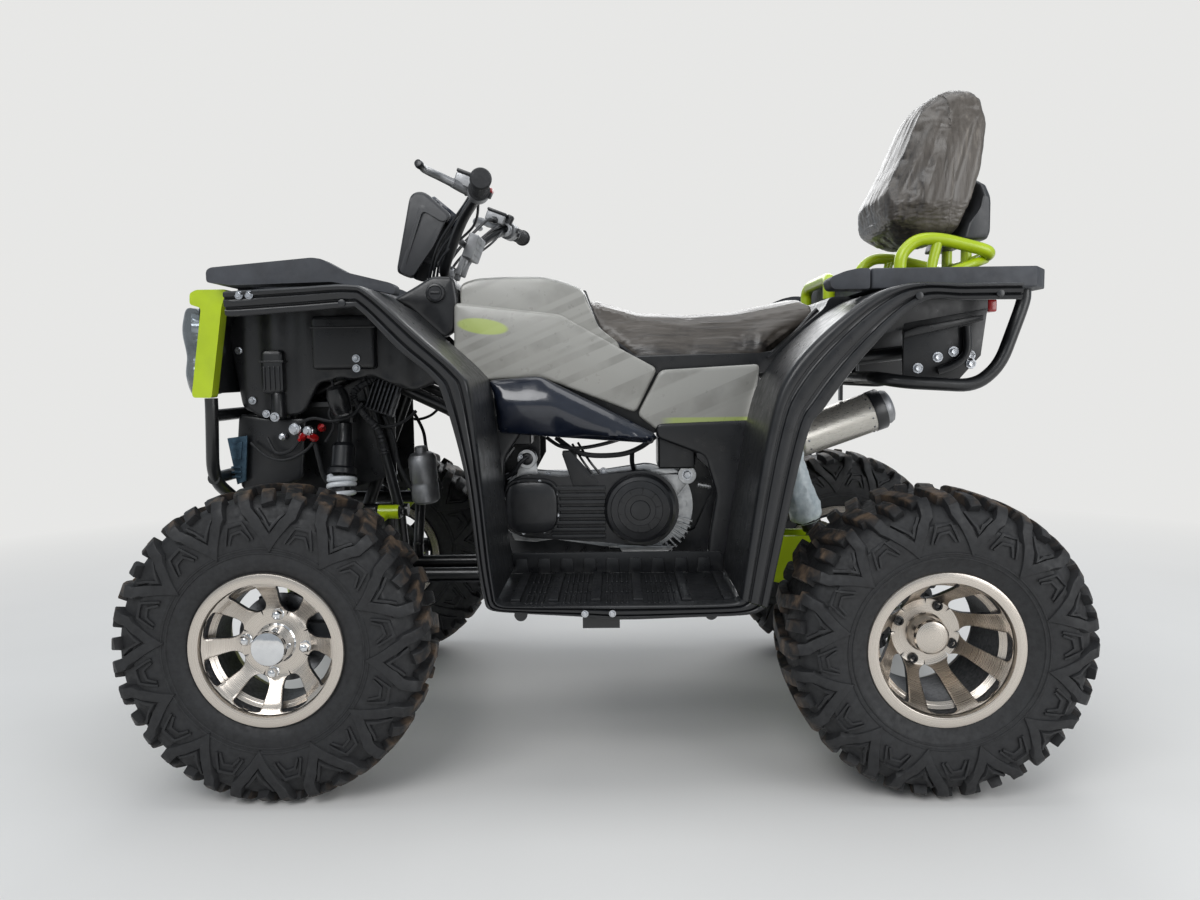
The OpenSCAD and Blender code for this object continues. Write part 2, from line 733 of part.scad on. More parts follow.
module rear_shock() {
    color("#5f666d") shock(rear_foot, rear_head, [0, 1, 0], 30, 0.1, 0.8);
}

// ---------------------------------------------------------------- body

lip_t = 16;                      // thickness of the fenders' outer lips
nose_front = front_x + 206;
seat_front = [[36, 953], [4, 870], [-40, 838]];   // seat's edge against the tank cover
seat_back = [[-458, 905], [-333, 799]];           // and against the rear body

front_flare = concat([[front_x + 118.7, 926], [front_x + 52, 930], [front_x - 70, 935],
                      [front_x - 160, 938], [front_x - 199, 923], [front_x - 282, 848]],
                     outline([[240, 775], [227, 740], [199, 441], [189, 352]]));
front_flare_in = concat([[front_x + 118.7, 885], [front_x + 49, 884], [front_x - 158, 897],
                         [front_x - 180, 890], [front_x - 245, 822], [front_x - 298, 777],
                         [front_x - 323, 732]], outline([[236, 551], [221, 413], [214, 352]]));
rear_flare = outline([[-250, 352], [-295, 654], [-338, 778], [-443, 882], [-530, 924],
                      [-739, 924]]);
rear_flare_in = outline([[-302, 352], [-366, 653], [-383, 688], [-444, 776], [-514, 863],
                         [-566, 897], [-739, 895]]);

// Front fenders: a wide sheet over the wheel, a wall down to the footwell and an outer lip.
module front_fenders() {
    last = len(front_flare) - 1;
    color("#17181a")
    both() {
        slab(strip(front_flare, 0, skin), nose_y + gap, fender_y - lip_t + 1);
        slab(strip([for (i = [4:last]) front_flare[i]], 0, skin), panel_y + gap, nose_y + 1);
        slab(concat(front_flare, reversed(front_flare_in)), fender_y - lip_t, fender_y);
    }
}

module rear_fenders() {
    color("#17181a")
    both() {
        slab(strip(rear_flare, 0, skin), panel_y + gap, fender_y - lip_t + 1);
        slab(concat(rear_flare, reversed(rear_flare_in)), fender_y - lip_t, fender_y);
    }
}

// Nose: hood under the front rack and the face that carries the headlights.
module nose() {
    color("#141517")
    slab([[nose_front - 2, 745], [nose_front, 800], [nose_front, 915], [nose_front - 26, hood_z],
          [front_x - 160, hood_z], [front_x - 175, 930], [front_x - 175, hood_z - 40],
          [nose_front - 70, hood_z - 40], [nose_front - 36, 860], [nose_front - 36, 745]],
         -nose_y, nose_y);
}

// Cowls either side of the steering column, between the nose and the tank cover.
module cowl() {
    color("#17181a")
    both() slab([[front_x - 175 - gap, 934], [front_x - 212, 957], [front_x - 248, 974],
                 [station(306), 974], [station(296) + gap, 930], [station(304), 868],
                 [front_x - 270, 852], [front_x - 199, 914]], 90, panel_y - 30 - gap);
}

// Plates inside the front frame that keep mud off the engine, with the oil cooler between them.
module splash_guard() {
    outside = top_rail_y - rail_r - 1 - gap;   // clear of the balls at the bends
    color("#131416") {
        both() slab([[front_x - 142, 560], [front_x + 20, 510], [front_x + 130, 510],
                     [nose_front - 40, 700], [nose_front - 40, 855],
                     [nose_front - 74, hood_z - 40 - gap],
                     [front_x - 142, hood_z - 40 - gap]], outside - 4, outside);
        block([front_x + 64, gap + 4 - outside, 520], [front_x + 92, outside - 4 - gap, 690]);
    }
}

module headlights() {
    color("#dfe6ea")
    both() slab([[nose_front + gap, 748], [nose_front + 40, 741], [nose_front + 56, 790],
                 [nose_front + 50, 828], [nose_front + 58, 880], [nose_front + 44, 925],
                 [nose_front + gap, 912]], nose_y - 105, nose_y - 3);
}

module tank_cover() {
    color("#9c9b96")
    slab(concat([[station(296), tank_z], [station(296), 962]],
                eased(outline([[296, 968], [250, 979], [120, 979], seat_front[0]]), 30),
                outline([seat_front[1], seat_front[2], [-40, 800], [-30, tank_z]])),
         -panel_y + 30 + gap, panel_y - 30 - gap);
}

module side_panels() {
    color("#8f8e8a")
    both() {
        slab(outline([[307, 928], [83, 901], [-120, 785], [-68, 689], [126, 765], [250, 762],
                      [312, 745]]), panel_y - 30, panel_y);
        slab(outline([[-121, 784], [-331, 794], [-314, 666], [-129, 658], [-119, 648],
                      [-69, 688]]), panel_y - 30, panel_y);
    }
}

module lower_panels() {
    color("#0f1116")
    both() slab(outline([[236, 766], [129, 774], [-115, 649], [-105, 627], [3, 635],
                         [218, 652], [226.4, 740]]), panel_y + gap, panel_y + 34);
}

// Footwells: a floor on the outriggers, with a lip along its outer edge.
module footwells() {
    color("#1a1b1d")
    both() {
        slab(outline([[188.4, 352], [189.5, floor_z], [-250.2, floor_z], [-249.5, 352],
                      [-249.5, floor_z - floor_t], [188.4, floor_z - floor_t]]),
             panel_y + gap, floor_y + 1);
        slab(outline([[188.4, 352], [190.7, 372], [170, floor_z], [-230, floor_z],
                      [-252.4, 372], [-249.5, 352], [-237, 341], [-32, 330], [41, 336],
                      [150, 344]]), floor_y, floor_y + 12);
    }
}

front_deck_z = 978;
front_deck = [front_x - 74, front_x + 146];

// Front rack: slatted deck between two raised side rims that slope down behind it.
module front_rack() {
    rim = [[front_x + 150, 958], [front_x + 150, 980], [front_x + 142, 986],
           [front_x - 54, 1002], [front_x - 73, 999], [front_x - 120, 973],
           [front_x - 204, 952], [front_x - 212, 945], [front_x - 210, 930],
           [front_x - 91, 956], [front_x + 100, 952]];
    color("#2c2d30") {
        difference() {
            block([front_deck[0], -front_rack_y + 40, front_deck_z - 22],
                  [front_deck[1], front_rack_y - 40, front_deck_z]);
            for (k = [-3:3])
                block([front_deck[0] + 40, k * 75 - 22, front_deck_z - 30],
                      [front_deck[1] - 40, k * 75 + 22, front_deck_z + 10]);
        }
        both() {
            slab(rim, front_rack_y - 41, front_rack_y);
            for (x = front_deck)
                block([x + (x < front_x ? 6 : -26), nose_y - 60, hood_z + gap],
                      [x + (x < front_x ? 26 : -6), nose_y - 30, front_deck_z - 21]);
        }
    }
}

rear_deck_z = deck_z + 39;
rack_hole_r = 4.5;
rack_holes = [station(-790), 250];   // luggage bolt holes, behind the backrest

// Rear rack: a thick deck with chamfered corners and two short horns beside the seat.
module rear_rack() {
    front = station(-507);
    back = station(-859);
    color("#2c2d30")
    difference() {
        union() {
            translate([0, 0, deck_z]) linear_extrude(rear_deck_z - deck_z)
                polygon([[front, -rear_rack_y], [front, rear_rack_y],
                         [back + 40, rear_rack_y], [back, rear_rack_y - 60],
                         [back, -rear_rack_y + 60], [back + 40, -rear_rack_y]]);
            both() slab([[front - 1, deck_z], [front - 1, rear_deck_z],
                         [front + 74, rear_deck_z - 16], [front + 68, deck_z]],
                        rear_rack_y - 60, rear_rack_y);
        }
        for (k = [-3:3])
            block([station(-600), k * 70 - 12, deck_z - 5],
                  [station(-580), k * 70 + 12, rear_deck_z + 5]);
        for (s = [-1, 1])
            bar([rack_holes[0], s * rack_holes[1], deck_z - 5],
                [rack_holes[0], s * rack_holes[1], rear_deck_z + 5], rack_hole_r);
    }
}

// Body under the rear rack, from the seat's back edge to the tail lights.
module rear_body() {
    color("#161719")
    slab(outline([seat_back[1] - [2 * gap, 0], seat_back[0] - [2 * gap, 0],
                  [-467, deck_z - gap], [-792, deck_z - gap],
                  [-792, 884], [-600, 852], [-480, 824]]), -panel_y, panel_y);
    // side plates beside the tail of the frame
    both() color("#161719")
        slab(outline([[-620, 870], [-792, 900], [-778, 800], [-735, 752], [-620, 752]]),
             panel_y - 12, panel_y);
}

module tail_lights() {
    color("#9d1c1c")
    both() block(at(-812, panel_y - 60, 890), at(-792 - gap, panel_y - 4, 918));
}

module seat() {
    front = [for (p = seat_front) p - [3 * gap, 0]];
    color("#3a3836")
    slab(concat(eased(outline([front[0], [2, 932], [-82, 905], [-187, 899], [-292, 905],
                               [-455, 938]]), 25),
                outline(concat(seat_back, [[-122, 792], [-44, 800]], reversed(front)))),
         -seat_y, seat_y);
}

module backrest_pad() {
    color("#45423f")
    slab(outline([[-660, 1041], [-588, 1060], [-583, 1122], [-632, 1214], [-672, 1316],
                  [-712, 1376], [-745, 1386], [-805, 1375], [-816, 1293], [-801, 1188],
                  [-783, 1123], [-757, 1046]]), -backrest_y, backrest_y);
}

module backrest_shell() {
    color("#1c1d20")
    slab(outline([[-757.4, 1045], [-783.4, 1123], [-801.4, 1188], [-818, 1187],
                  [-818, 1045]]), -backrest_y + 20, backrest_y - 20);
}

tube_r = 11;

// Passenger's grab rails, the posts of the backrest and the hoop behind the seat.
module grab_rails() {
    base = rear_deck_z + gap;
    loop = [at(-620, 170, base), at(-620, 170, 1020), at(-668, 170, 1045),
            at(-800, 170, 1018), at(-812, 170, 1000), at(-812, 170, base)];
    hoop = [at(-485, 120, deck_z), at(-485, 120, 958), at(-490, 106, 972)];
    color("#a9c61b") {
        both() {
            tube(loop, tube_r);
            bar(at(-796, 60, base), at(-796, 60, 1045 - gap), tube_r);
        }
        bar(at(-812, -170, 1000), at(-812, 170, 1000), tube_r - 1);
        tube(concat(hoop, other_side(hoop)), tube_r);
    }
}

module front_bumper() {
    color("#a9c61b")
    both() slab([[front_x + 119, 948], [front_x + 185, 946], [front_x + 191, 936],
                 [front_x + 177, 909], [front_x + 201, 737], [front_x + 159, 736],
                 [front_x + 133, 870], [front_x + 119, 915]],
                nose_y + gap, nose_y + gap + 30);
}

guard_r = 12.7;

// Black tubes that run from the bumper's feet down to the frame.
module front_guard() {
    y = nose_y + 16;
    side = [[front_x + 181, y, 736 - gap], [front_x + 181, y, 705], [front_x + 192, y - 15, 570],
            [front_x + 182, top_rail_y, mid_z], [front_x + 150 + gap, top_rail_y, mid_z]];
    color("#18191b") {
        both() tube(side, guard_r);
        for (i = [1, 2])
            bar(side[i], [side[i][0], -side[i][1], side[i][2]], guard_r);
    }
}

// Tail loop from the rear rack down and forward to the frame.
module rear_bumper() {
    shelf_y = top_rail_y + rail_r + gap;
    color("#18191b")
    both() tube([at(-820, 300, deck_z - gap), at(-820, 300, 905), at(-777, 300, 782),
                 at(-730, 300, 742), at(-594, 300, 751), at(-545, 280, 760),
                 at(-545, shelf_y, 760)], 10);
}

// ---------------------------------------------------------------- the nodes

frame_lower();
frame_front();
frame_rear();
skid_plate();
engine();
cvt_case();
exhaust_pipe();
muffler();
drive_chain();
nose();
cowl();
splash_guard();
front_fenders();
rear_fenders();
rear_body();
tank_cover();
side_panels();
lower_panels();
footwells();
front_rack();
rear_rack();
seat();
backrest_pad();
backrest_shell();
grab_rails();
front_bumper();
front_guard();
rear_bumper();
headlights();
tail_lights();
upper_arms();
lower_arms();
front_shocks();
swingarm();
rear_shock();
steering_column();
handlebar();
bar_cover();
grips();
controls();
knuckle();  // knuckle_left
mirror([0, 1, 0]) knuckle();  // knuckle_right
tie_rod(1);  // tie_rod_left
tie_rod(-1);  // tie_rod_right
front_wheel_place(1) tyre(front_r, front_tyre_w, front_rim_w);  // front_tyre_left
front_wheel_place(-1) tyre(front_r, front_tyre_w, front_rim_w);  // front_tyre_right
front_wheel_place(1) front_rim();  // front_rim_left
front_wheel_place(-1) front_rim();  // front_rim_right
rear_wheel_places() tyre(rear_r, rear_tyre_w, rear_rim_w);  // rear_tyres
rear_wheel_places() rim(rear_rim_w, rear_dish);  // rear_rims
rear_axle();
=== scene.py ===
"""Utility quad bike: the parts you see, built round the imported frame.

Lengths are metres, apart from names that end in _mm and the outlines and routes of whole numbers,
which are millimetres and go through mm(). X is forward, Y to the rider's left, Z up.
"""

import json
import math

import bmesh
import bpy
from bpy.props import FloatProperty, IntProperty, PointerProperty, StringProperty
from mathutils import Matrix, Vector, noise
from mathutils.geometry import delaunay_2d_cdt


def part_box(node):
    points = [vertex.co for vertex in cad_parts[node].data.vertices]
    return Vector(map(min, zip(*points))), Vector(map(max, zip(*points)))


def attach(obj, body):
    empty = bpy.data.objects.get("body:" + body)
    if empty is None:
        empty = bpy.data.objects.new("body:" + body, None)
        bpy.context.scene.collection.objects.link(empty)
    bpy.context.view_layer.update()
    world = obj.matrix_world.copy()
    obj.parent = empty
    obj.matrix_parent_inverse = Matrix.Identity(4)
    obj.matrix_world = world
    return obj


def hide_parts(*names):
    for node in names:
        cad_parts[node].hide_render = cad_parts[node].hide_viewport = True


bl_info = {
    "name": "Quad bike",
    "version": (1, 0, 0),
    "blender": (4, 5, 0),
    "location": "View3D > Sidebar > Quad bike",
    "description": "Builds a utility quad bike round its packed frame",
    "category": "Add Mesh",
}

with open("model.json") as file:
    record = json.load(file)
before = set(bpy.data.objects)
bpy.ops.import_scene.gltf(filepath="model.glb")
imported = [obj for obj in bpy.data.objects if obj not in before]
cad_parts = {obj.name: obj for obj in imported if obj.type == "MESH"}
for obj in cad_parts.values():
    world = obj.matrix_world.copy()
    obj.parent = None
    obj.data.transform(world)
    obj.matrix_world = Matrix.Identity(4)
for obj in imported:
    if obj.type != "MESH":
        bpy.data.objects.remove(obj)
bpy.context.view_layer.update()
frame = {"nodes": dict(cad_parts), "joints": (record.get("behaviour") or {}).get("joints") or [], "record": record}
NODES = frame["nodes"]
JOINTS = {j["name"]: j for j in frame["joints"]}
SLOT_OF = {p["node"]: p["material_slot"] for p in frame["record"]["subparts"]}
MM = 0.001

FRONT_HUB = Vector(JOINTS["left_front_spin"]["pos_m"])
REAR_HUB = Vector(JOINTS["rear_axle_spin"]["pos_m"])
STEERING = JOINTS["steering"]
COLUMN = Vector(STEERING["axis"])
COLUMN_FOOT = Vector(STEERING["pos_m"])
SIDES = (("left", 1), ("right", -1))


# ---------------------------------------------------------------- sizes and colours


class QuadSizes(bpy.types.PropertyGroup):
    """Sizes of the visible detail, in metres."""

    lug_height: FloatProperty(name="Lug height", description="Height of the tread lugs over the carcass",
                              default=0.016, min=0.004, max=0.03, unit="LENGTH")
    lug_pitch: IntProperty(name="Lugs round the tyre", description="Number of shoulder lugs on each side",
                           default=12, min=8, max=20)
    spokes: IntProperty(name="Spokes", description="Number of spokes on each wheel", default=8, min=4, max=12)
    film_wrinkle: FloatProperty(name="Film wrinkles", description="Height of the wrinkles in the seat film",
                                default=0.0022, min=0.0, max=0.006, unit="LENGTH")
    puff: FloatProperty(name="Cushion swell", description="Most that a cushion's cover may swell",
                        default=0.008, min=0.0, max=0.03, unit="LENGTH")


def colour_property(name, use, default):
    """A colour that the user may change."""
    return StringProperty(name=name, description=f"Colour of the {use}, as an sRGB hex value",
                          default=default)


class QuadColours(bpy.types.PropertyGroup):
    """Base colours, as sRGB hex values."""

    lime: colour_property("Lime", "bumper, armrests and suspension arms", "B4CC0E")
    plastic: colour_property("Black plastic", "fenders and nose", "131416")
    rack: colour_property("Rack", "luggage racks", "2E3035")
    panel: colour_property("Panel", "side panels and tank cover", "9A9994")
    band: colour_property("Panel bands", "darker bands on the side panels", "878681")
    gloss: colour_property("Gloss panel", "lower side panels", "0C1220")
    steel: colour_property("Frame paint", "frame tubes", "101113")
    rubber: colour_property("Rubber", "tyres", "141416")
    dust: colour_property("Dust", "dust on the tread", "6C5A48")
    alloy: colour_property("Wheel alloy", "machined wheel faces", "C9BFB4")
    vinyl: colour_property("Vinyl", "seat and backrest under their film", "453F39")
    # the film colour is painted highlight on the crests of the film's creases
    film: colour_property("Film", "creases of the seat film", "9A9186")


def sizes():
    """The scene's sizes."""
    return bpy.context.scene.quad_sizes


def colours():
    """The scene's colours."""
    return bpy.context.scene.quad_colours


def linear(text):
    """sRGB hex value to the linear colour that a shader takes."""
    parts = [int(text[i : i + 2], 16) / 255 for i in (0, 2, 4)]
    return tuple(c / 12.92 if c <= 0.04045 else ((c + 0.055) / 1.055) ** 2.4 for c in parts) + (1.0,)


# ---------------------------------------------------------------- materials


def add(tree, kind, settings=None, links=None):
    """Adds a node with its settings, and its inputs as values or as links from other nodes."""
    made = tree.nodes.new(kind)
    for key, value in (settings or {}).items():
        setattr(made, key, value)
    for key, value in (links or {}).items():
        socket = made.inputs[key]
        if isinstance(value, bpy.types.NodeSocket):
            tree.links.new(value, socket)
        else:
            socket.default_value = value
    return made


def surface(name, constants):
    """A material with one Principled shader whose constants sit on its own sockets."""
    known = bpy.data.materials.get(name)
    if known:
        return known, None, None
    mat = bpy.data.materials.new(name)
    mat.use_nodes = True
    tree = mat.node_tree
    tree.nodes.clear()
    shader = add(tree, "ShaderNodeBsdfPrincipled", None, constants)
    add(tree, "ShaderNodeOutputMaterial", None, {"Surface": shader.outputs["BSDF"]})
    return mat, tree, shader


def place(tree, stretch=(1, 1, 1)):
    """The object's own coordinates in millimetres, squeezed where a pattern is drawn out."""
    source = add(tree, "ShaderNodeTexCoord")
    return add(tree, "ShaderNodeVectorMath", {"operation": "MULTIPLY"},
               {0: source.outputs["Object"], 1: tuple(1000 * s for s in stretch)}).outputs[0]


def speckle(tree, spot_mm, stretch=(1, 1, 1), detail=3.0, rough=0.55):
    """Noise whose spots are about spot_mm across."""
    return add(tree, "ShaderNodeTexNoise", None,
               {"Vector": place(tree, stretch), "Scale": 1 / spot_mm, "Detail": detail,
                "Roughness": rough}).outputs["Fac"]


def ramp(tree, value, *stops):
    """A colour ramp over value; stops are (position, hex colour) pairs."""
    made = add(tree, "ShaderNodeValToRGB", None, {"Fac": value})
    band = made.color_ramp
    while len(band.elements) < len(stops):
        band.elements.new(0.5)
    for element, (position, text) in zip(band.elements, stops):
        element.position = position
        element.color = linear(text)
    return made.outputs["Color"]


def spread(tree, value, low, high, from_low=0.3, from_high=0.7):
    """Maps a noise value to the range low to high."""
    return add(tree, "ShaderNodeMapRange", None,
               {"Value": value, "From Min": from_low, "From Max": from_high, "To Min": low,
                "To Max": high}).outputs["Result"]


def dent(tree, height, depth_mm, normal=None):
    """Bump of the given depth."""
    links = {"Height": height, "Distance": depth_mm * MM, "Strength": 1.0}
    if normal is not None:
        links["Normal"] = normal
    return add(tree, "ShaderNodeBump", None, links).outputs["Normal"]


def join(tree, shader, **links):
    """Links sockets to the shader's colour, rough and normal inputs."""
    names = {"colour": "Base Color", "rough": "Roughness", "normal": "Normal"}
    for key, socket in links.items():
        tree.links.new(socket, shader.inputs[names[key]])


def worn(name, constants, base, edge, dull, spot_mm, grain_mm, deep_mm):
    """Material whose colour drifts slightly, whose roughness varies, and which has a fine grain.

    dull is its lowest and highest roughness. deep_mm is how deep the grain is.
    """
    mat, tree, shader = surface(name, constants)
    if tree:
        drift = speckle(tree, spot_mm)
        join(tree, shader, colour=ramp(tree, drift, (0.3, base), (0.72, edge)),
             rough=spread(tree, speckle(tree, spot_mm / 3), *dull),
             normal=dent(tree, speckle(tree, grain_mm), deep_mm))
    return mat


def moulded_polypropylene():
    """Injection-moulded polypropylene: deep black, satin, with a faint spark-eroded grain."""
    return worn("moulded_polypropylene", {"IOR": 1.49, "Coat Weight": 0.12, "Coat Roughness": 0.25},
                colours().plastic, "1A1B1E", (0.26, 0.44), spot_mm=60, grain_mm=1.6, deep_mm=0.05)


def textured_rack_plastic():
    """Glass-filled nylon with a coarse moulded texture: dark grey and dull, with pale rubs."""
    return worn("textured_glass_filled_nylon", {"IOR": 1.53}, colours().rack, "3D4046", (0.50, 0.68),
                spot_mm=45, grain_mm=2.2, deep_mm=0.12)


def gloss_abs():
    """Polished ABS: almost a mirror, blue-black, with a slow waviness from the mould."""
    mat, tree, shader = surface("polished_abs", {"IOR": 1.54, "Coat Weight": 0.7, "Coat Roughness": 0.05})
    if tree:
        join(tree, shader, colour=ramp(tree, speckle(tree, 90), (0.3, colours().gloss), (0.75, "131B2B")),
             rough=spread(tree, speckle(tree, 25), 0.16, 0.26),
             normal=dent(tree, speckle(tree, 70, detail=1), 0.5))
    return mat


def powder_coat_black():
    """Powder-coated steel tube: satin black with the orange peel of the baked powder."""
    return worn("powder_coated_steel", {"IOR": 1.5, "Coat Weight": 0.3, "Coat Roughness": 0.2},
                colours().steel, "18191B", (0.28, 0.45), spot_mm=50, grain_mm=2.5, deep_mm=0.06)


def powder_coat_lime():
    """Lime powder coat: bright and glossy, with orange peel and a little dust in it."""
    return worn("lime_powder_coat", {"IOR": 1.5, "Coat Weight": 0.35, "Coat Roughness": 0.15},
                colours().lime, "A6BD10", (0.30, 0.42), spot_mm=60, grain_mm=2.8, deep_mm=0.08)


def painted_panel():
    """Warm grey painted ABS with faint bands on a slope, a lime leaf in front and a lime strip behind."""
    mat, tree, shader = surface("painted_abs", {"IOR": 1.5, "Coat Weight": 0.5, "Coat Roughness": 0.12})
    if tree:
        where = add(tree, "ShaderNodeSeparateXYZ", None, {"Vector": place(tree)}).outputs
        slope = add(tree, "ShaderNodeMath", {"operation": "MULTIPLY_ADD"},
                    {0: where["X"], 1: 0.42, 2: where["Z"]}).outputs[0]
        broad = add(tree, "ShaderNodeTexNoise", {"noise_dimensions": "1D"},
                    {"W": slope, "Scale": 1 / 46, "Detail": 1.0}).outputs["Fac"]
        band = spread(tree, broad, 0, 1, 0.49, 0.53)
        fade = spread(tree, speckle(tree, 70), 0.1, 0.9, 0.35, 0.65)
        mask = add(tree, "ShaderNodeMath", {"operation": "MULTIPLY"}, {0: band, 1: fade}).outputs[0]
        grey = ramp(tree, mask, (0.0, colours().panel), (0.9, colours().band))
        # lime leaf low at the front: an ellipse that leans with the bands
        risen = add(tree, "ShaderNodeMath", {"operation": "MULTIPLY_ADD"},
                    {0: where["X"], 1: -0.12, 2: where["Z"]}).outputs[0]
        spot = add(tree, "ShaderNodeCombineXYZ", None, {"X": where["X"], "Y": risen}).outputs[0]
        shifted = add(tree, "ShaderNodeVectorMath", {"operation": "SUBTRACT"},
                      {0: spot, 1: (246, 846, 0)}).outputs[0]
        scaled = add(tree, "ShaderNodeVectorMath", {"operation": "DIVIDE"},
                     {0: shifted, 1: (52, 16, 1)}).outputs[0]
        away = add(tree, "ShaderNodeVectorMath", {"operation": "LENGTH"}, {0: scaled}).outputs["Value"]
        leaf = spread(tree, away, 1, 0, 0.92, 1.08)
        strip = spread(tree, where["Z"], 1, 0, 680, 683)
        behind = spread(tree, where["X"], 1, 0, -150, -120)
        trim = add(tree, "ShaderNodeMath", {"operation": "MULTIPLY"}, {0: strip, 1: behind}).outputs[0]
        tint = add(tree, "ShaderNodeMath", {"operation": "MAXIMUM"}, {0: leaf, 1: trim}).outputs[0]
        soft = add(tree, "ShaderNodeMath", {"operation": "MULTIPLY"}, {0: tint, 1: 0.5}).outputs[0]
        both = add(tree, "ShaderNodeMix", {"data_type": "RGBA"},
                   {"Factor": soft, 6: grey, 7: linear(colours().lime)})
        join(tree, shader, colour=both.outputs[2],
             rough=spread(tree, speckle(tree, 20), 0.26, 0.4),
             normal=dent(tree, speckle(tree, 2.6), 0.03))
    return mat


def tyre_rubber():
    """Moulded tyre rubber: dull black, chalky where it scuffs, with tan dust on the tread's tops."""
    mat, tree, shader = surface("moulded_tyre_rubber", {"IOR": 1.52})
    if tree:
        worn_at = add(tree, "ShaderNodeAttribute", {"attribute_name": "tread_top"}).outputs["Fac"]
        patch = spread(tree, speckle(tree, 30, detail=5), 0, 0.85, 0.45, 0.64)
        dusty = add(tree, "ShaderNodeMath", {"operation": "MULTIPLY"}, {0: worn_at, 1: patch}).outputs[0]
        base = ramp(tree, speckle(tree, 14, detail=5), (0.3, colours().rubber), (0.75, "202123"))
        tan = ramp(tree, speckle(tree, 6), (0.3, "5B4A3B"), (0.7, colours().dust))
        both = add(tree, "ShaderNodeMix", {"data_type": "RGBA"}, {"Factor": dusty, 6: base, 7: tan})
        join(tree, shader, colour=both.outputs[2],
             rough=spread(tree, speckle(tree, 10), 0.52, 0.76),
             normal=dent(tree, speckle(tree, 3.0, detail=4), 0.25))
    return mat


def machined_alloy():
    """Cast aluminium faced on a lathe: fine rings round the hub, under clear lacquer."""
    mat, tree, shader = surface("lathe_turned_aluminium",
                                {"Metallic": 1.0, "Coat Weight": 0.15, "Coat Roughness": 0.1})
    if tree:
        at = add(tree, "ShaderNodeSeparateXYZ", None, {"Vector": place(tree)}).outputs
        flat = add(tree, "ShaderNodeCombineXYZ", None, {"X": at["X"], "Y": at["Z"]}).outputs[0]
        away = add(tree, "ShaderNodeVectorMath", {"operation": "LENGTH"}, {0: flat}).outputs["Value"]
        # tool marks 0.9 mm apart, coarser than real ones so that they show
        rings = add(tree, "ShaderNodeTexNoise", {"noise_dimensions": "1D"},
                    {"W": away, "Scale": 1 / 0.9, "Detail": 2.0}).outputs["Fac"]
        join(tree, shader, colour=ramp(tree, rings, (0.3, colours().alloy), (0.7, "DAD3CA")),
             rough=spread(tree, rings, 0.22, 0.36), normal=dent(tree, rings, 0.05))
    return mat


def cast_alloy():
    """Sand-cast aluminium: pale grey, slightly pitted, with grime in the hollows."""
    return worn("sand_cast_aluminium", {"Metallic": 0.9}, "8A8B8D", "A7A8AA", (0.38, 0.6),
                spot_mm=30, grain_mm=2.4, deep_mm=0.2)


def die_cast_bright():
    """Die-cast aluminium of the gearcase: bright, slightly satin, with small shrinkage marks."""
    return worn("bright_die_cast_aluminium", {"Metallic": 1.0}, "B9BABB", "D3D4D4", (0.30, 0.46),
                spot_mm=22, grain_mm=1.8, deep_mm=0.1)


def cast_alloy_dark():
    """Die-cast aluminium dipped in thin black paint: dark, with bare edges of the fins."""
    return worn("black_dipped_aluminium", {"Metallic": 0.6}, "2A2B2D", "55565A", (0.36, 0.55),
                spot_mm=7, grain_mm=1.6, deep_mm=0.1)


def blue_steel():
    """Galvanised sheet behind the guard: blue-grey spangle, dulled by dust."""
    return worn("galvanised_sheet_steel", {"Metallic": 0.7}, "2C3E4D", "4A6374", (0.30, 0.5),
                spot_mm=14, grain_mm=3.0, deep_mm=0.05)


def brushed_stainless():
    """Brushed stainless sheet: grey, with lines drawn along the can."""
    mat, tree, shader = surface("brushed_stainless", {"Metallic": 0.75})
    if tree:
        lines = speckle(tree, 1.4, (0.03, 1, 1), detail=4)
        join(tree, shader, colour=ramp(tree, lines, (0.3, "C6C2BA"), (0.7, "DEDAD2")),
             rough=spread(tree, lines, 0.24, 0.42), normal=dent(tree, lines, 0.03))
    return mat


def heat_dulled_steel():
    """Mild steel pipe dulled by heat: brown-grey with darker blooms."""
    return worn("heat_dulled_steel", {"Metallic": 1.0}, "5A5149", "8A8178", (0.36, 0.6),
                spot_mm=35, grain_mm=3.0, deep_mm=0.08)


def zinc_plate():
    """Bright zinc plate on bolts and rods: silver with a faint blue cast."""
    return worn("bright_zinc_plate", {"Metallic": 1.0}, "B4B7BC", "D2D4D8", (0.20, 0.34),
                spot_mm=8, grain_mm=0.8, deep_mm=0.02)


def chrome():
    """Chromed cap: a bright mirror with faint polishing marks."""
    return worn("chrome_plate", {"Metallic": 1.0}, "D8D9DB", "E6E7E8", (0.06, 0.14),
                spot_mm=20, grain_mm=4.0, deep_mm=0.02)


def turned_steel():
    """Turned steel shafts and discs: grey, slightly oily."""
    return worn("turned_steel", {"Metallic": 1.0}, "7E7F82", "9A9B9E", (0.26, 0.42),
                spot_mm=12, grain_mm=1.0, deep_mm=0.03)


def oiled_chain_steel():
    """Roller chain: dark steel under a film of oil and dust."""
    return worn("oiled_chain_steel", {"Metallic": 0.9}, "4A463F", "706A60", (0.34, 0.55),
                spot_mm=9, grain_mm=1.5, deep_mm=0.06)


def ductile_iron():
    """Painted ductile iron knuckles: dark grey, coarse from the sand mould."""
    return worn("painted_ductile_iron", {"IOR": 1.5}, "2E3033", "3C3F43", (0.4, 0.6),
                spot_mm=25, grain_mm=2.6, deep_mm=0.25)


def spring_enamel(name, base, edge):
    """Enamelled spring steel: smooth and glossy over the coil."""
    return worn(name, {"IOR": 1.52, "Coat Weight": 0.6, "Coat Roughness": 0.1}, base, edge, (0.22, 0.34),
                spot_mm=22, grain_mm=3.5, deep_mm=0.05)


def moulded_grip():
    """Soft moulded thermoplastic rubber: matt black that holds dust in its fine ribs."""
    return worn("thermoplastic_rubber", {"IOR": 1.5}, "16171A", "222326", (0.55, 0.75),
                spot_mm=12, grain_mm=1.2, deep_mm=0.1)


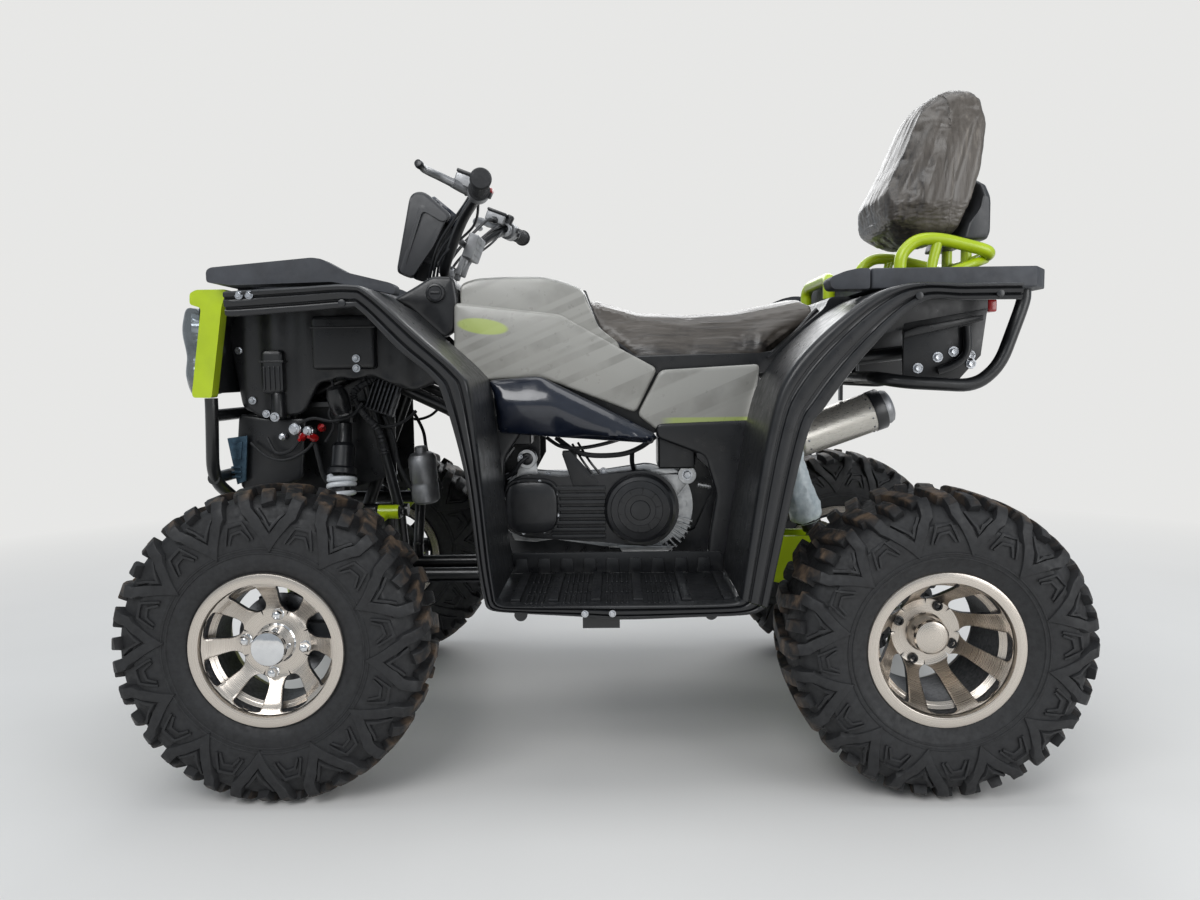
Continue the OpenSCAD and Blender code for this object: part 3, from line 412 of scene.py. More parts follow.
def satin_case_paint():
    """Satin black paint on cast covers, rubbed paler on the high spots."""
    return worn("satin_case_paint", {"IOR": 1.5, "Coat Weight": 0.25, "Coat Roughness": 0.2},
                "131417", "1F2023", (0.28, 0.44), spot_mm=30, grain_mm=2.0, deep_mm=0.06)


def moulded_abs_shell():
    """Moulded ABS back shell: charcoal with a low, even sheen and a fine matt texture."""
    return worn("moulded_abs_shell", {"IOR": 1.54}, "2B2C2F", "353639", (0.36, 0.5),
                spot_mm=70, grain_mm=1.4, deep_mm=0.04)


def clear_polycarbonate():
    """Moulded polycarbonate lens: clear and slightly smoked, with fine flutes."""
    mat, tree, shader = surface("clear_polycarbonate", {"IOR": 1.58, "Transmission Weight": 0.75})
    if tree:
        join(tree, shader, colour=ramp(tree, speckle(tree, 30), (0.3, "8E969C"), (0.7, "B4BCC1")),
             rough=spread(tree, speckle(tree, 18), 0.04, 0.1),
             normal=dent(tree, speckle(tree, 4, (0.1, 1, 0.1)), 0.15))
    return mat


def red_acrylic():
    """Moulded red acrylic tail lens."""
    return worn("red_acrylic", {"IOR": 1.49, "Coat Weight": 0.6, "Coat Roughness": 0.05},
                "8E0F12", "B0191A", (0.12, 0.22), spot_mm=14, grain_mm=4.0, deep_mm=0.15)


def milky_film():
    """Milky polythene sleeve: pale blue-white, soft gloss, with cloudy folds."""
    return worn("milky_polythene_film", {"IOR": 1.51, "Coat Weight": 0.3, "Coat Roughness": 0.2},
                "A9B7BD", "DCE5E8", (0.3, 0.5), spot_mm=18, grain_mm=5.0, deep_mm=0.5)


def vinyl_with_painted_film_light(name, stretch, light_axis, shade_end, lit_end):
    """Dark vinyl under loose film, with painted highlights on its long thin creases, painted shade between them,
    and painted light that grows towards one end.
    """
    mat, tree, shader = surface(name, {"IOR": 1.5, "Coat Weight": 0.3, "Coat Roughness": 0.3})
    if tree:
        # crease noise: raises the creases as a bump, and through the colour ramp paints highlights on them
        streaks = speckle(tree, 9, stretch, detail=5, rough=0.6)
        broad = speckle(tree, 34, stretch, detail=2)
        where = add(tree, "ShaderNodeSeparateXYZ", None, {"Vector": place(tree)}).outputs[light_axis]
        # painted light and shade along one axis: darker at the first end, lighter at the second
        painted_light_and_shade = spread(tree, where, -0.10, 0.12, shade_end, lit_end)
        level = add(tree, "ShaderNodeMath", {"operation": "MULTIPLY_ADD"},
                    {0: broad, 1: 0.45, 2: painted_light_and_shade}).outputs[0]
        mask = add(tree, "ShaderNodeMath", {"operation": "MULTIPLY_ADD", "use_clamp": True},
                   {0: streaks, 1: 0.62, 2: level}).outputs[0]
        # the ramp paints shade into the hollows between the creases and pale highlights on their crests; its
        # palest stop is the film colour
        join(tree, shader,
             colour=ramp(tree, mask, (0.30, "25211F"), (0.46, colours().vinyl), (0.66, "57514B"),
                         (0.92, colours().film)),
             rough=spread(tree, streaks, 0.28, 0.5),
             normal=dent(tree, streaks, 0.9, dent(tree, broad, 1.6)))
    return mat


def filmed_vinyl():
    """Seat vinyl in stretched polythene film: streaks run along the seat; painted lighter on its top, where the
    light falls, and painted darker towards its foot.
    """
    return vinyl_with_painted_film_light("vinyl_under_stretched_film", (0.10, 1.0, 0.9), "Z", 830, 960)


def bagged_vinyl():
    """Backrest vinyl in a hanging polythene bag: streaks hang down; painted lighter towards its rear as a painted
    highlight, and darker towards its front.
    """
    return vinyl_with_painted_film_light("vinyl_under_hanging_bag", (0.9, 1.0, 0.10), "X", -650, -800)


FINISH_OF = {
    "frame_paint": powder_coat_black,
    "skid_steel": satin_case_paint,
    "cast_alloy": cast_alloy,
    "case_black": satin_case_paint,
    "exhaust_steel": heat_dulled_steel,
    "muffler_alloy": brushed_stainless,
    "chain_steel": oiled_chain_steel,
    "black_plastic": moulded_polypropylene,
    "grey_panel": painted_panel,
    "gloss_black": gloss_abs,
    "rack_plastic": textured_rack_plastic,
    "wrapped_vinyl": filmed_vinyl,
    "lime_paint": powder_coat_lime,
    "lamp_lens": clear_polycarbonate,
    "tail_lens": red_acrylic,
    "spring_white": lambda: spring_enamel("white_spring_enamel", "E3E6EA", "CFD4DA"),
    "shock_grey": lambda: spring_enamel("grey_spring_enamel", "6C7680", "59626C"),
    "grip_rubber": moulded_grip,
    "control_alloy": satin_case_paint,
    "knuckle_iron": ductile_iron,
    "tyre": tyre_rubber,
    "machined_alloy": machined_alloy,
    "axle_steel": turned_steel,
}


# ---------------------------------------------------------------- mesh tools


def finished(name, mesh, material, body, sharp=32, origin=None):
    """Makes the object, smooth except over sharp edges, and ties it to its body and slot."""
    made = bpy.data.objects.new(name, mesh)
    bpy.context.scene.collection.objects.link(made)
    if material:
        mesh.materials.append(material)
    mesh.polygons.foreach_set("use_smooth", [True] * len(mesh.polygons))
    mesh.set_sharp_from_angle(angle=math.radians(sharp))
    if origin is not None:
        mesh.transform(Matrix.Translation(-Vector(origin)))
        made.location = origin
    bpy.context.view_layer.update()
    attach(made, body)
    return made


TOUCHING = 1e-6                      # points closer than this are one point


def turns(count):
    """Angles of evenly spaced points round a circle."""
    return [2 * math.pi * k / count for k in range(count)]


class Build:
    """Collects the shapes of one piece in a bmesh."""

    def __init__(self):
        self.bm = bmesh.new()

    def ring(self, points):
        return [self.bm.verts.new(p) for p in points]

    def skin(self, rings, closed=False):
        """Joins rings of points, some of which may be a single point."""
        for a, b in zip(rings, rings[1:] + (rings[:1] if closed else [])):
            count = max(len(a), len(b))
            for k in range(count):
                n = (k + 1) % count
                if len(a) == 1 and len(b) > 1:
                    self.bm.faces.new((a[0], b[n], b[k]))
                elif len(b) == 1 and len(a) > 1:
                    self.bm.faces.new((a[k], a[n], b[0]))
                elif len(a) > 1:
                    self.bm.faces.new((a[k], a[n], b[n], b[k]))

    def loft(self, rings):
        """Joins rings of points and caps both ends."""
        self.skin(rings)
        self.bm.faces.new(rings[0][::-1])
        self.bm.faces.new(rings[-1])

    def tube(self, path, radius, sides=16):
        """Round tube along a path, with its rings kept square to the path."""
        path = [Vector(p) for p in path]
        last = len(path) - 1
        normal = None
        rings = []
        for i, p in enumerate(path):
            along = (path[min(i + 1, last)] - path[max(i - 1, 0)]).normalized()
            if normal is None:
                normal = along.orthogonal().normalized()
            normal = (normal - along * normal.dot(along)).normalized()
            side = along.cross(normal)
            r = radius(i / max(last, 1)) if callable(radius) else radius
            rings.append(self.ring(p + r * (math.cos(a) * normal + math.sin(a) * side)
                                   for a in turns(sides)))
        self.loft(rings)

    def lathe(self, centre, axis, profile, sides=48, closed=False):
        """Turns a profile of (radius, distance along the axis) pairs round an axis."""
        axis = Vector(axis).normalized()
        u = axis.orthogonal().normalized()
        v = axis.cross(u)
        centre = Vector(centre)
        rings = []
        for r, h in profile:
            rings.append(self.ring([centre + h * axis] if r < TOUCHING else
                                   (centre + h * axis + r * (math.cos(a) * u + math.sin(a) * v)
                                    for a in turns(sides))))
        self.skin(rings, closed)

    def slab(self, outline, y0, y1, bevel=0.0, segments=2):
        """Side-view outline of (x, z) pairs from y0 to y1, with rounded edges."""
        low = [self.bm.verts.new((x, y0, z)) for x, z in outline]
        high = [self.bm.verts.new((x, y1, z)) for x, z in outline]
        n = len(outline)
        made = [self.bm.faces.new(low), self.bm.faces.new(high[::-1])]
        made += [self.bm.faces.new((low[i], high[i], high[(i + 1) % n], low[(i + 1) % n]))
                 for i in range(n)]
        self.round(made, bevel, segments)

    def box(self, low, high, bevel=0.0, turn=None, segments=2):
        """Block between two corners, turned by a matrix, with rounded edges."""
        made = bmesh.ops.create_cube(self.bm, size=1.0)["verts"]
        low, high = Vector(low), Vector(high)
        for v in made:
            v.co = Vector(((low[i] + high[i]) / 2 + v.co[i] * (high[i] - low[i])) for i in range(3))
            if turn is not None:
                v.co = turn @ v.co
        self.round([f for v in made for f in v.link_faces], bevel, segments)

    def round(self, faces, bevel, segments):
        """Bevels every edge of the faces."""
        if bevel <= 0:
            return
        # a dict, not a set, keeps the edges in the same order on every run
        edges = list(dict.fromkeys(e for f in faces for e in f.edges))
        bmesh.ops.bevel(self.bm, geom=edges, offset=bevel, segments=segments, profile=0.6,
                        affect="EDGES", clamp_overlap=True)

    def bolt(self, at, axis, across=0.012, height=0.006, washer=True):
        """Hexagon head with a washer and a rounded crown."""
        axis = Vector(axis).normalized()
        at = Vector(at)
        if washer:
            self.lathe(at, axis, [(0.0, 0.0), (across * 0.82, 0.0), (across * 0.85, 0.0008),
                                  (across * 0.8, 0.0018), (0.0, 0.0018)], 24)
            at = at + 0.0016 * axis
        r = across / math.sqrt(3)
        self.lathe(at, axis, [(0.0, 0.0), (r, 0.0), (r, height * 0.82), (r * 0.86, height),
                              (r * 0.4, height * 0.96), (0.0, height * 0.96)], 6)

    def mesh(self, name, mirror=False, weld=TOUCHING):
        """The collected mesh, mirrored for the right side and with its faces turned out."""
        bm = self.bm
        if mirror:
            bmesh.ops.mirror(bm, geom=bm.verts[:] + bm.edges[:] + bm.faces[:], axis="Y", merge_dist=-1.0)
        if weld:
            bmesh.ops.remove_doubles(bm, verts=bm.verts, dist=weld)
        bmesh.ops.recalc_face_normals(bm, faces=bm.faces)
        out = bpy.data.meshes.new(name)
        bm.to_mesh(out)
        bm.free()
        return out

    def piece(self, name, slot, material=None, mirror=False, sharp=32):
        """Makes the piece and ties it to the chassis."""
        return finished(name, self.mesh(name, mirror), material or FINISH_OF[slot](), "chassis",
                        sharp)


def smooth_path(points, steps=6):
    """Catmull-Rom curve through the points."""
    pts = [Vector(p) for p in points]
    last = len(pts) - 1
    out = []
    for i in range(last):
        p0, p1, p2, p3 = pts[max(i - 1, 0)], pts[i], pts[i + 1], pts[min(i + 2, last)]
        for k in range(steps):
            t = k / steps
            out.append(0.5 * ((2 * p1) + (p2 - p0) * t + (2 * p0 - 5 * p1 + 4 * p2 - p3) * t * t
                              + (3 * p1 - p0 - 3 * p2 + p3) * t ** 3))
    return out + [pts[-1]]


def corner(a, p, b, radius, steps):
    """Points that turn the corner at p, on the way from a to b, on an arc-like curve."""
    u = p + min(radius, (a - p).length * 0.45) * (a - p).normalized()
    v = p + min(radius, (b - p).length * 0.45) * (b - p).normalized()
    return [(1 - t) ** 2 * u + 2 * t * (1 - t) * p + t * t * v
            for t in (k / steps for k in range(steps + 1))]


def rounded(points, radius, steps=5):
    """Open path with its inner corners rounded."""
    pts = [Vector(p) for p in points]
    out = [pts[0]]
    for a, p, b in zip(pts, pts[1:], pts[2:]):
        out += corner(a, p, b, radius, steps)
    return out + [pts[-1]]


def rounded_outline(points_mm, radius, steps=4):
    """Closed side-view outline in millimetres, as (x, z) pairs in metres with rounded corners."""
    pts = [Vector(p) for p in mm(points_mm)]
    out = []
    for i, p in enumerate(pts):
        out += corner(pts[i - 1], p, pts[(i + 1) % len(pts)], radius, steps)
    return [tuple(p) for p in out]


def flanks(near, far):
    """The ranges of Y between two distances from the middle, on the left and on the right."""
    return (near, far), (-far, -near)


def mm(points):
    """Points in millimetres to metres."""
    return [tuple(c * MM for c in p) for p in points]


# ---------------------------------------------------------------- tyres


class Section:
    """A tyre's outer half section, as a curve of (radius, distance from the centre plane)."""

    def __init__(self, radius, width, rim_width, lug):
        crown = radius - lug
        half = width / 2
        knots = [(crown, 0.0), (crown - 0.0006, 0.35 * half), (crown - 0.004, 0.64 * half),
                 (crown - 0.013, 0.80 * half), (crown - 0.034, 0.905 * half),
                 (0.80 * radius, 0.950 * half), (0.70 * radius, 0.955 * half),
                 (0.61 * radius, 0.930 * half), (0.555 * radius, rim_width / 2 + 0.0105),
                 (0.51 * radius, rim_width / 2 + 0.0055), (0.488 * radius, rim_width / 2 + 0.001)]
        self.curve = smooth_path([(r, y, 0) for r, y in knots], 5)
        self.reach = [0.0]
        for a, b in zip(self.curve, self.curve[1:]):
            self.reach.append(self.reach[-1] + (b - a).length)

    def at(self, s):
        """Point and outward normal at a distance s along the section from its crown."""
        s = min(max(s, 0.0), self.reach[-1] - 1e-6)
        i = next(k for k in range(len(self.reach) - 1) if self.reach[k + 1] > s)
        t = (s - self.reach[i]) / (self.reach[i + 1] - self.reach[i])
        a, b = self.curve[i], self.curve[i + 1]
        along = (b - a).normalized()
        p = a.lerp(b, t)
        return (p.x, p.y), (along.y, -along.x)


LUG_STEP = 0.011                     # longest facet along a lug
TREAD_SHARE = 0.80                   # share of the tyre's width that the tread covers
CHEVRON_REACH = 0.068                # how far the chevrons run past the tread
FADE_OVER, FADE_TO = 0.048, 0.22     # the lugs fade over this length, to this share


def lug_bar(build, section, path, width, height, side, flare=0.0025):
    """Raised rubber bar along a path of (angle, distance from the crown) pairs on the carcass."""
    scale = 0.25                     # mean radius, which turns angles into lengths
    steps = [Vector(p) for p in path]
    fine = []
    for a, b in zip(steps, steps[1:]):
        n = max(1, round(math.hypot((b.x - a.x) * scale, b.y - a.y) / LUG_STEP))
        fine += [a.lerp(b, k / n) for k in range(n)]
    fine.append(steps[-1])

    def shifted(i, off):
        before = fine[i - 1] if i else fine[i]
        after = fine[i + 1] if i + 1 < len(fine) else fine[i]
        u = Vector(((fine[i].x - before.x) * scale, fine[i].y - before.y)) if i else None
        v = Vector(((after.x - fine[i].x) * scale, after.y - fine[i].y)) if i + 1 < len(fine) else None
        u, v = (u or v).normalized(), (v or u).normalized()
        n1, n2 = Vector((-u.y, u.x)), Vector((-v.y, v.x))
        push = (n1 + n2) / max(0.35, 1 + n1.dot(n2))
        return fine[i].x + off * push.x / scale, fine[i].y + off * push.y

    def point(angle, s, rise):
        (r, y), (nr, ny) = section.at(abs(s))
        r, y = r + rise * nr, (y + rise * ny) * (1 if s >= 0 else -1)
        return Vector((r * math.cos(angle), side * y, r * math.sin(angle)))

    rings = []
    for i in range(len(fine)):
        high = height(fine[i].y) if callable(height) else height
        row = [shifted(i, -width / 2 - flare) + (-0.002,), shifted(i, -width / 2) + (high * 0.93,),
               shifted(i, -width / 2 + 0.0018) + (high,), shifted(i, width / 2 - 0.0018) + (high,),
               shifted(i, width / 2) + (high * 0.93,), shifted(i, width / 2 + flare) + (-0.002,)]
        rings.append([build.bm.verts.new(point(*p)) for p in row])
    for a, b in zip(rings, rings[1:]):
        for k in range(len(a) - 1):
            build.bm.faces.new((a[k], a[k + 1], b[k + 1], b[k]))
    build.bm.faces.new(rings[0])
    build.bm.faces.new(rings[-1][::-1])


def tyre_mesh(name, radius, width, wheel):
    """Carcass with chevron lugs that run from the tread down on to the sidewall."""
    size = sizes()
    lug = size.lug_height
    section = Section(radius, width * wheel["carcass"], wheel["rim_width"], lug)
    build = Build()
    outer = [(p.x, p.y) for p in section.curve]
    whole = [(r, -y) for r, y in outer[:0:-1]] + outer
    bead = [(outer[-1][0] - 0.004, outer[-1][1])]
    inner = [(0.62 * radius, 0.43 * width), (0.80 * radius, 0.44 * width),
             (radius - lug - 0.020, 0.34 * width)]
    ring = whole + bead + inner + [(r, -y) for r, y in inner[::-1] + bead]
    build.lathe((0, 0, 0), (0, 1, 0), ring, 120, closed=True)
    # two fine beads round each sidewall
    for s in wheel["beads_at"]:
        for side in (1, -1):
            (r, y), _ = section.at(s)
            build.lathe((0, 0, 0), (0, side, 0),
                        [(r + 0.002, y + 0.0003), (r + 0.001, y + 0.0016), (r - 0.001, y + 0.0016),
                         (r - 0.002, y + 0.0003)], 120)
    pitch = 2 * math.pi / size.lug_pitch
    w = pitch / 2
    half = width / 2
    edge = TREAD_SHARE * half
    low = edge + CHEVRON_REACH

    def fade(s):
        return lug * (1.0 if s < edge else max(FADE_TO, 1 - (s - edge) / FADE_OVER))

    for side in (1, -1):
        for k in range(size.lug_pitch):
            a = k * pitch + (w if side < 0 else 0) + wheel["tyre_turn"]
            # the big chevron and its nested line
            bars = [([(a - 0.80 * w, edge - 0.020), (a - 0.66 * w, edge + 0.012), (a, low),
                      (a + 0.56 * w, edge + 0.016), (a + 0.60 * w, edge - 0.016)], 0.0185, fade),
                    ([(a - 0.40 * w, edge + 0.008), (a + 0.01 * w, low - 0.026),
                      (a + 0.34 * w, edge + 0.012)], 0.0045, lug * 0.42)]
            # thin rafters between the chevrons
            for inset, rise in ((0.0, 0.0045), (0.014, 0.004)):
                bars.append(([(a + w * (0.52 + 9 * inset), low - 0.004),
                              (a + w * (0.74 + 5 * inset), edge + 0.034 + inset),
                              (a + w * (1.18 - 5 * inset), edge + 0.031 + inset),
                              (a + w * (1.46 - 9 * inset), low - 0.006)], 0.0042, rise, 0.001))
            # tread blocks: a long one from the centre and two short ones between
            bars += [([(a - 0.98 * w, 0.002), (a - 0.82 * w, edge - 0.012)], 0.026, lug * 0.99),
                     ([(a + 0.12 * w, -0.012), (a + 0.46 * w, edge - 0.008)], 0.023, lug * 0.98),
                     ([(a - 0.28 * w, 0.42 * half), (a - 0.12 * w, edge + 0.002)], 0.019, lug * 0.96)]
            for path, wide, rise, *foot in bars:
                lug_bar(build, section, path, wide, rise, side, *foot)
    mesh = build.mesh(name, weld=0)
    # how near each point is to the tops of the lugs, where the dust settles
    top = mesh.attributes.new("tread_top", "FLOAT", "POINT")
    from_r, over = radius - 0.010, 0.004
    for v in mesh.vertices:
        away = math.hypot(v.co.x, v.co.z)
        top.data[v.index].value = min(1.0, max(0.0, (away - from_r) / over))
    return mesh


# What differs between the front and the rear wheels, in metres and radians.
WHEELS = {
    "front": {"rim_width": 0.140, "dish": 0.054, "carcass": 0.965, "beads_at": (0.150, 0.158),
              "tyre_turn": 0.09, "nuts_from": math.radians(7)},
    "rear": {"rim_width": 0.203, "dish": 0.124, "carcass": 1.0, "beads_at": (0.185, 0.193),
             "tyre_turn": 0.2, "nuts_from": math.radians(24)},
}
REAR_TYRE_SHAPE = 0.4535             # the rear tyre's width as a share of its diameter


def wheel_centres():
    """Each wheel's name, side, body, hub centre and the tyre's size."""
    for name, side in SIDES:
        low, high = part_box(f"front_tyre_{name}")
        yield (f"front_{name}", side, f"{name}_front_wheel",
               Vector((FRONT_HUB.x, (low.y + high.y) / 2, FRONT_HUB.z)), (high.z - low.z) / 2,
               high.y - low.y)
    low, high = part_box("rear_tyres")
    radius = (high.z - low.z) / 2
    width = REAR_TYRE_SHAPE * radius * 2
    for name, side in SIDES:
        yield (f"rear_{name}", side, "rear_wheels",
               Vector((REAR_HUB.x, side * (high.y - width / 2), REAR_HUB.z)), radius, width)


def moved(mesh, origin, side):
    """Mirrors a left-hand mesh for the right and turns its faces back out."""
    if side < 0:
        mesh.transform(Matrix.Scale(-1, 4, (0, 1, 0)))
        mesh.flip_normals()
    mesh.transform(Matrix.Translation(origin))


class QUAD_OT_tyres(bpy.types.Operator):
    """Moulds the four tyres with their chevron lugs"""

    bl_idname = "quad.tyres"
    bl_label = "Tyres"

    def execute(self, context):
        for name, side, body, hub, radius, width in wheel_centres():
            mesh = tyre_mesh(f"tyre_{name}", radius, width, WHEELS[name.split("_")[0]])
            moved(mesh, hub, side)
            tyre = finished(f"tyre_{name}", mesh, tyre_rubber(), body, 28, hub)
            if name.startswith("front"):
                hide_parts(f"front_tyre_{name[6:]}")
            elif side > 0:
                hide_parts("rear_tyres")
        return {"FINISHED"}


# ---------------------------------------------------------------- wheels

RIM_LIP = 0.1410                     # outer radius of the rim's lip
RING_IN = 0.1212                     # inner radius of its flat ring
FACE_R = 0.062                       # flat middle of the wheel face
BOLT_CIRCLE = 0.055                  # radius of the circle of nuts
SPOKE_IN, SPOKE_OUT = 0.023, 0.039   # width of a spoke at its inner and outer end


def window_half(r, r1, r2, spokes):
    """Half angle of a window at radius r, round at its inner end and square at its outer one."""
    t = (r - r1) / (r2 - r1)
    if t <= 0 or t >= 1:
        return 0.0
    spoke = SPOKE_IN + (SPOKE_OUT - SPOKE_IN) * t ** 1.5
    full = math.pi / spokes - spoke / 2 / r
    start = math.sqrt(max(0.0, 1 - (1 - min(1, (r - r1) / 0.017)) ** 2))
    stop = max(0.0, 1 - (1 - min(1, (r2 - r) / 0.006)) ** 3) ** (1 / 3)
    return max(0.0, full) * start * stop


def spoke_face(build, h, dish, spokes, turn):
    """The pierced cone from the wheel's flat middle up to its ring, as a thick sheet."""
    face = h - dish
    r1, r2 = FACE_R + 0.002, RING_IN - 0.002
    radii = ([0.0372, 0.045, 0.054]
             + [r1 + 0.0001 + 0.017 * (1 - math.cos(k * math.pi / 14)) for k in range(8)]
             + [r1 + 0.017 + (r2 - 0.008 - r1 - 0.017) * k / 8 for k in range(1, 9)]
             + [r2 - 0.0055, r2 - 0.0035, r2 - 0.0018, r2 - 0.0006, r2 - 0.00005, r2 + 0.0008])
    top = h - 0.010

    def height(r):
        t = min(1.0, max(0.0, (r - FACE_R) / (RING_IN - FACE_R)))
        step = 0.004 if dish < 0.08 else 0.002
        shelf = step / (1 + math.exp(-(r - 0.109) / 0.0012))
        return face + (top - step - face) * (t * t * (3 - 2 * t) * 0.35 + t * 0.65) + shelf

    columns = (0.0, 0.10, 0.26, 0.55, 1.0)
    thick = 0.008 + dish * 0.06
    layers = []
    for back in (0, 1):
        grid = {}
        for i, r in enumerate(radii):
            for k in range(spokes):
                middle = turn + k * 2 * math.pi / spokes
                half = window_half(r, r1, r2, spokes)
                for s in (1, -1):
                    for j, u in enumerate(columns):
                        a = middle + s * (half + (math.pi / spokes - half) * u)
                        drop = 0.0016 * max(0.0, 1 - u / 0.10) if half > 0 else 0.0
                        z = height(r) - (thick if back else drop)
                        grid[i, k, s, j] = build.bm.verts.new(
                            (r * math.cos(a), z, r * math.sin(a)))
        layers.append(grid)
        for i in range(len(radii) - 1):
            for k in range(spokes):
                for s in (1, -1):
                    for j in range(len(columns) - 1):
                        quad = [grid[i, k, s, j], grid[i + 1, k, s, j], grid[i + 1, k, s, j + 1],
                                grid[i, k, s, j + 1]]
                        build.bm.faces.new(quad if (s > 0) != bool(back) else quad[::-1])
    front, back = layers
    for i in range(len(radii) - 1):
        if window_half(radii[i], r1, r2, spokes) <= 0 and \
                window_half(radii[i + 1], r1, r2, spokes) <= 0:
            continue
        for k in range(spokes):
            for s in (1, -1):
                quad = [front[i, k, s, 0], front[i + 1, k, s, 0], back[i + 1, k, s, 0],
                        back[i, k, s, 0]]
                build.bm.faces.new(quad if s < 0 else quad[::-1])


def wheel_mesh(name, rim_width, dish, spokes, turn):
    """Lathe-turned rim: rolled lip, flat ring, pierced cone, barrel and hub boss."""
    h = rim_width / 2 + 0.008
    face = h - dish
    build = Build()
    lip = [(RING_IN, h - 0.013), (RING_IN, h - 0.0022), (RING_IN + 0.0006, h - 0.0008),
           (RING_IN + 0.0022, h - 0.0002), (0.1290, h), (0.1372, h - 0.0001), (0.1396, h - 0.0010),
           (RIM_LIP, h - 0.0032), (RIM_LIP - 0.0006, h - 0.0062), (0.1352, h - 0.0084),
           (0.1268, h - 0.0090), (0.1264, h - 0.030), (0.1120, h - 0.040), (0.1120, -h + 0.040),
           (0.1264, -h + 0.030), (0.1268, -h + 0.0080), (0.1400, -h + 0.0070), (0.1400, -h + 0.0008),
           (0.1392, -h), (0.1230, -h + 0.0006), (0.1220, -h + 0.030), (0.1078, -h + 0.041),
           (0.1078, h - 0.045), (0.1180, h - 0.034), (0.1192, h - 0.016)]
    build.lathe((0, 0, 0), (0, 1, 0), lip, 96, closed=True)
    spoke_face(build, h, dish, spokes, turn)
    mesh = build.mesh(name, weld=2e-6)
    # the lathe only faced the front; the windows' sides and the barrel keep their black dip
    for polygon in mesh.polygons:
        middle = polygon.center
        faced = abs(polygon.normal.y) > 0.12 and middle.y > face - 0.002
        polygon.material_index = 0 if faced or math.hypot(middle.x, middle.z) > RING_IN - 0.0004 else 1
    return mesh, face


def hub_cap(build, face, tall):
    """Pressed cap: a flared foot, straight side and a softly rounded end."""
    build.lathe((0, 0, 0), (0, 1, 0),
                [(0.0375, face - 0.001), (0.0374, face + 0.0012), (0.0350, face + 0.0030),
                 (0.0338, face + 0.010), (0.0330, face + tall - 0.010), (0.0322, face + tall - 0.005),
                 (0.0300, face + tall - 0.0018), (0.0262, face + tall - 0.0003),
                 (0.0, face + tall)], 64)


def lug_nuts(build, face, start, socket):
    """Four socket screws, or four tall nuts on washers."""
    for turn in turns(4):
        a = start + turn
        x, z = BOLT_CIRCLE * math.cos(a), BOLT_CIRCLE * math.sin(a)
        at = (x, face - 0.0006, z)
        if socket:
            build.lathe(at, (0, 1, 0), [(0.0098, 0.0), (0.0098, 0.004), (0.0088, 0.0068),
                                        (0.0070, 0.0074), (0.0058, 0.0070), (0.0055, 0.0018),
                                        (0.0, 0.0016)], 28)
            build.lathe(at, (0, 1, 0), [(0.0036, 0.0016), (0.0034, 0.0050), (0.0, 0.0054)], 16)
        else:
            build.lathe(at, (0, 1, 0), [(0.0112, 0.0), (0.0112, 0.0014), (0.0100, 0.0024),
                                        (0.0, 0.0024)], 28)
            build.lathe(at, (0, 1, 0), [(0.0098, 0.0022), (0.0096, 0.0105), (0.0082, 0.0140),
                                        (0.0048, 0.0162), (0.0, 0.0168)], 6)


class QUAD_OT_wheels(bpy.types.Operator):
    """Turns the four rims, with their hub caps and wheel nuts"""

    bl_idname = "quad.wheels"
    bl_label = "Wheels"

    def execute(self, context):
        spokes = sizes().spokes
        for name, side, body, hub, *_ in wheel_centres():
            at_front = name.startswith("front")
            wheel = WHEELS[name.split("_")[0]]
            mesh, face = wheel_mesh(f"rim_{name}", wheel["rim_width"], wheel["dish"], spokes,
                                    math.pi / spokes if at_front else 0.0)
            moved(mesh, hub, side)
            mesh.materials.append(machined_alloy())
            rim = finished(f"rim_{name}", mesh, cast_alloy_dark(), body, 30, hub)
            cap = Build()
            hub_cap(cap, face, 0.044)
            mesh = cap.mesh(f"hub_cap_{name}")
            moved(mesh, hub, side)
            finished(f"hub_cap_{name}", mesh, chrome() if at_front else machined_alloy(), body,
                     30, hub)
            nuts = Build()
            lug_nuts(nuts, face, wheel["nuts_from"], not at_front)
            mesh = nuts.mesh(f"wheel_nuts_{name}")
            moved(mesh, hub, side)
            finished(f"wheel_nuts_{name}", mesh, chrome() if at_front else satin_case_paint(), body,
                     30, hub)
            if at_front:
                back = Build()
                rear_of_face = face - 0.009
                back.lathe((0, 0, 0), (0, 1, 0),
                           [(0.0150, rear_of_face - 0.044), (0.034, rear_of_face - 0.044),
                            (0.0385, rear_of_face - 0.040), (0.040, rear_of_face - 0.006),
                            (0.046, rear_of_face - 0.0004), (0.0150, rear_of_face - 0.0004)], 48,
                           closed=True)
                disc_at = rear_of_face - 0.032
                back.lathe((0, 0, 0), (0, 1, 0), [(0.041, disc_at - 0.002), (0.083, disc_at - 0.002),
                                                  (0.084, disc_at - 0.001), (0.084, disc_at + 0.001),
                                                  (0.083, disc_at + 0.002), (0.041, disc_at + 0.002)],
                           72, closed=True)
                mesh = back.mesh(f"hub_and_disc_{name}")
                moved(mesh, hub, side)
                finished(f"hub_and_disc_{name}", mesh, turned_steel(), body, 30, hub)
                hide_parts(f"front_rim_{name[6:]}")
            elif side > 0:
                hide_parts("rear_rims")
        return {"FINISHED"}


# ---------------------------------------------------------------- fenders and footwells

FENDER_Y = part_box("front_fenders")[1].y
PANEL_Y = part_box("side_panels")[1].y
NOSE_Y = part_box("nose")[1].y
FLOOR_Z = 0.357

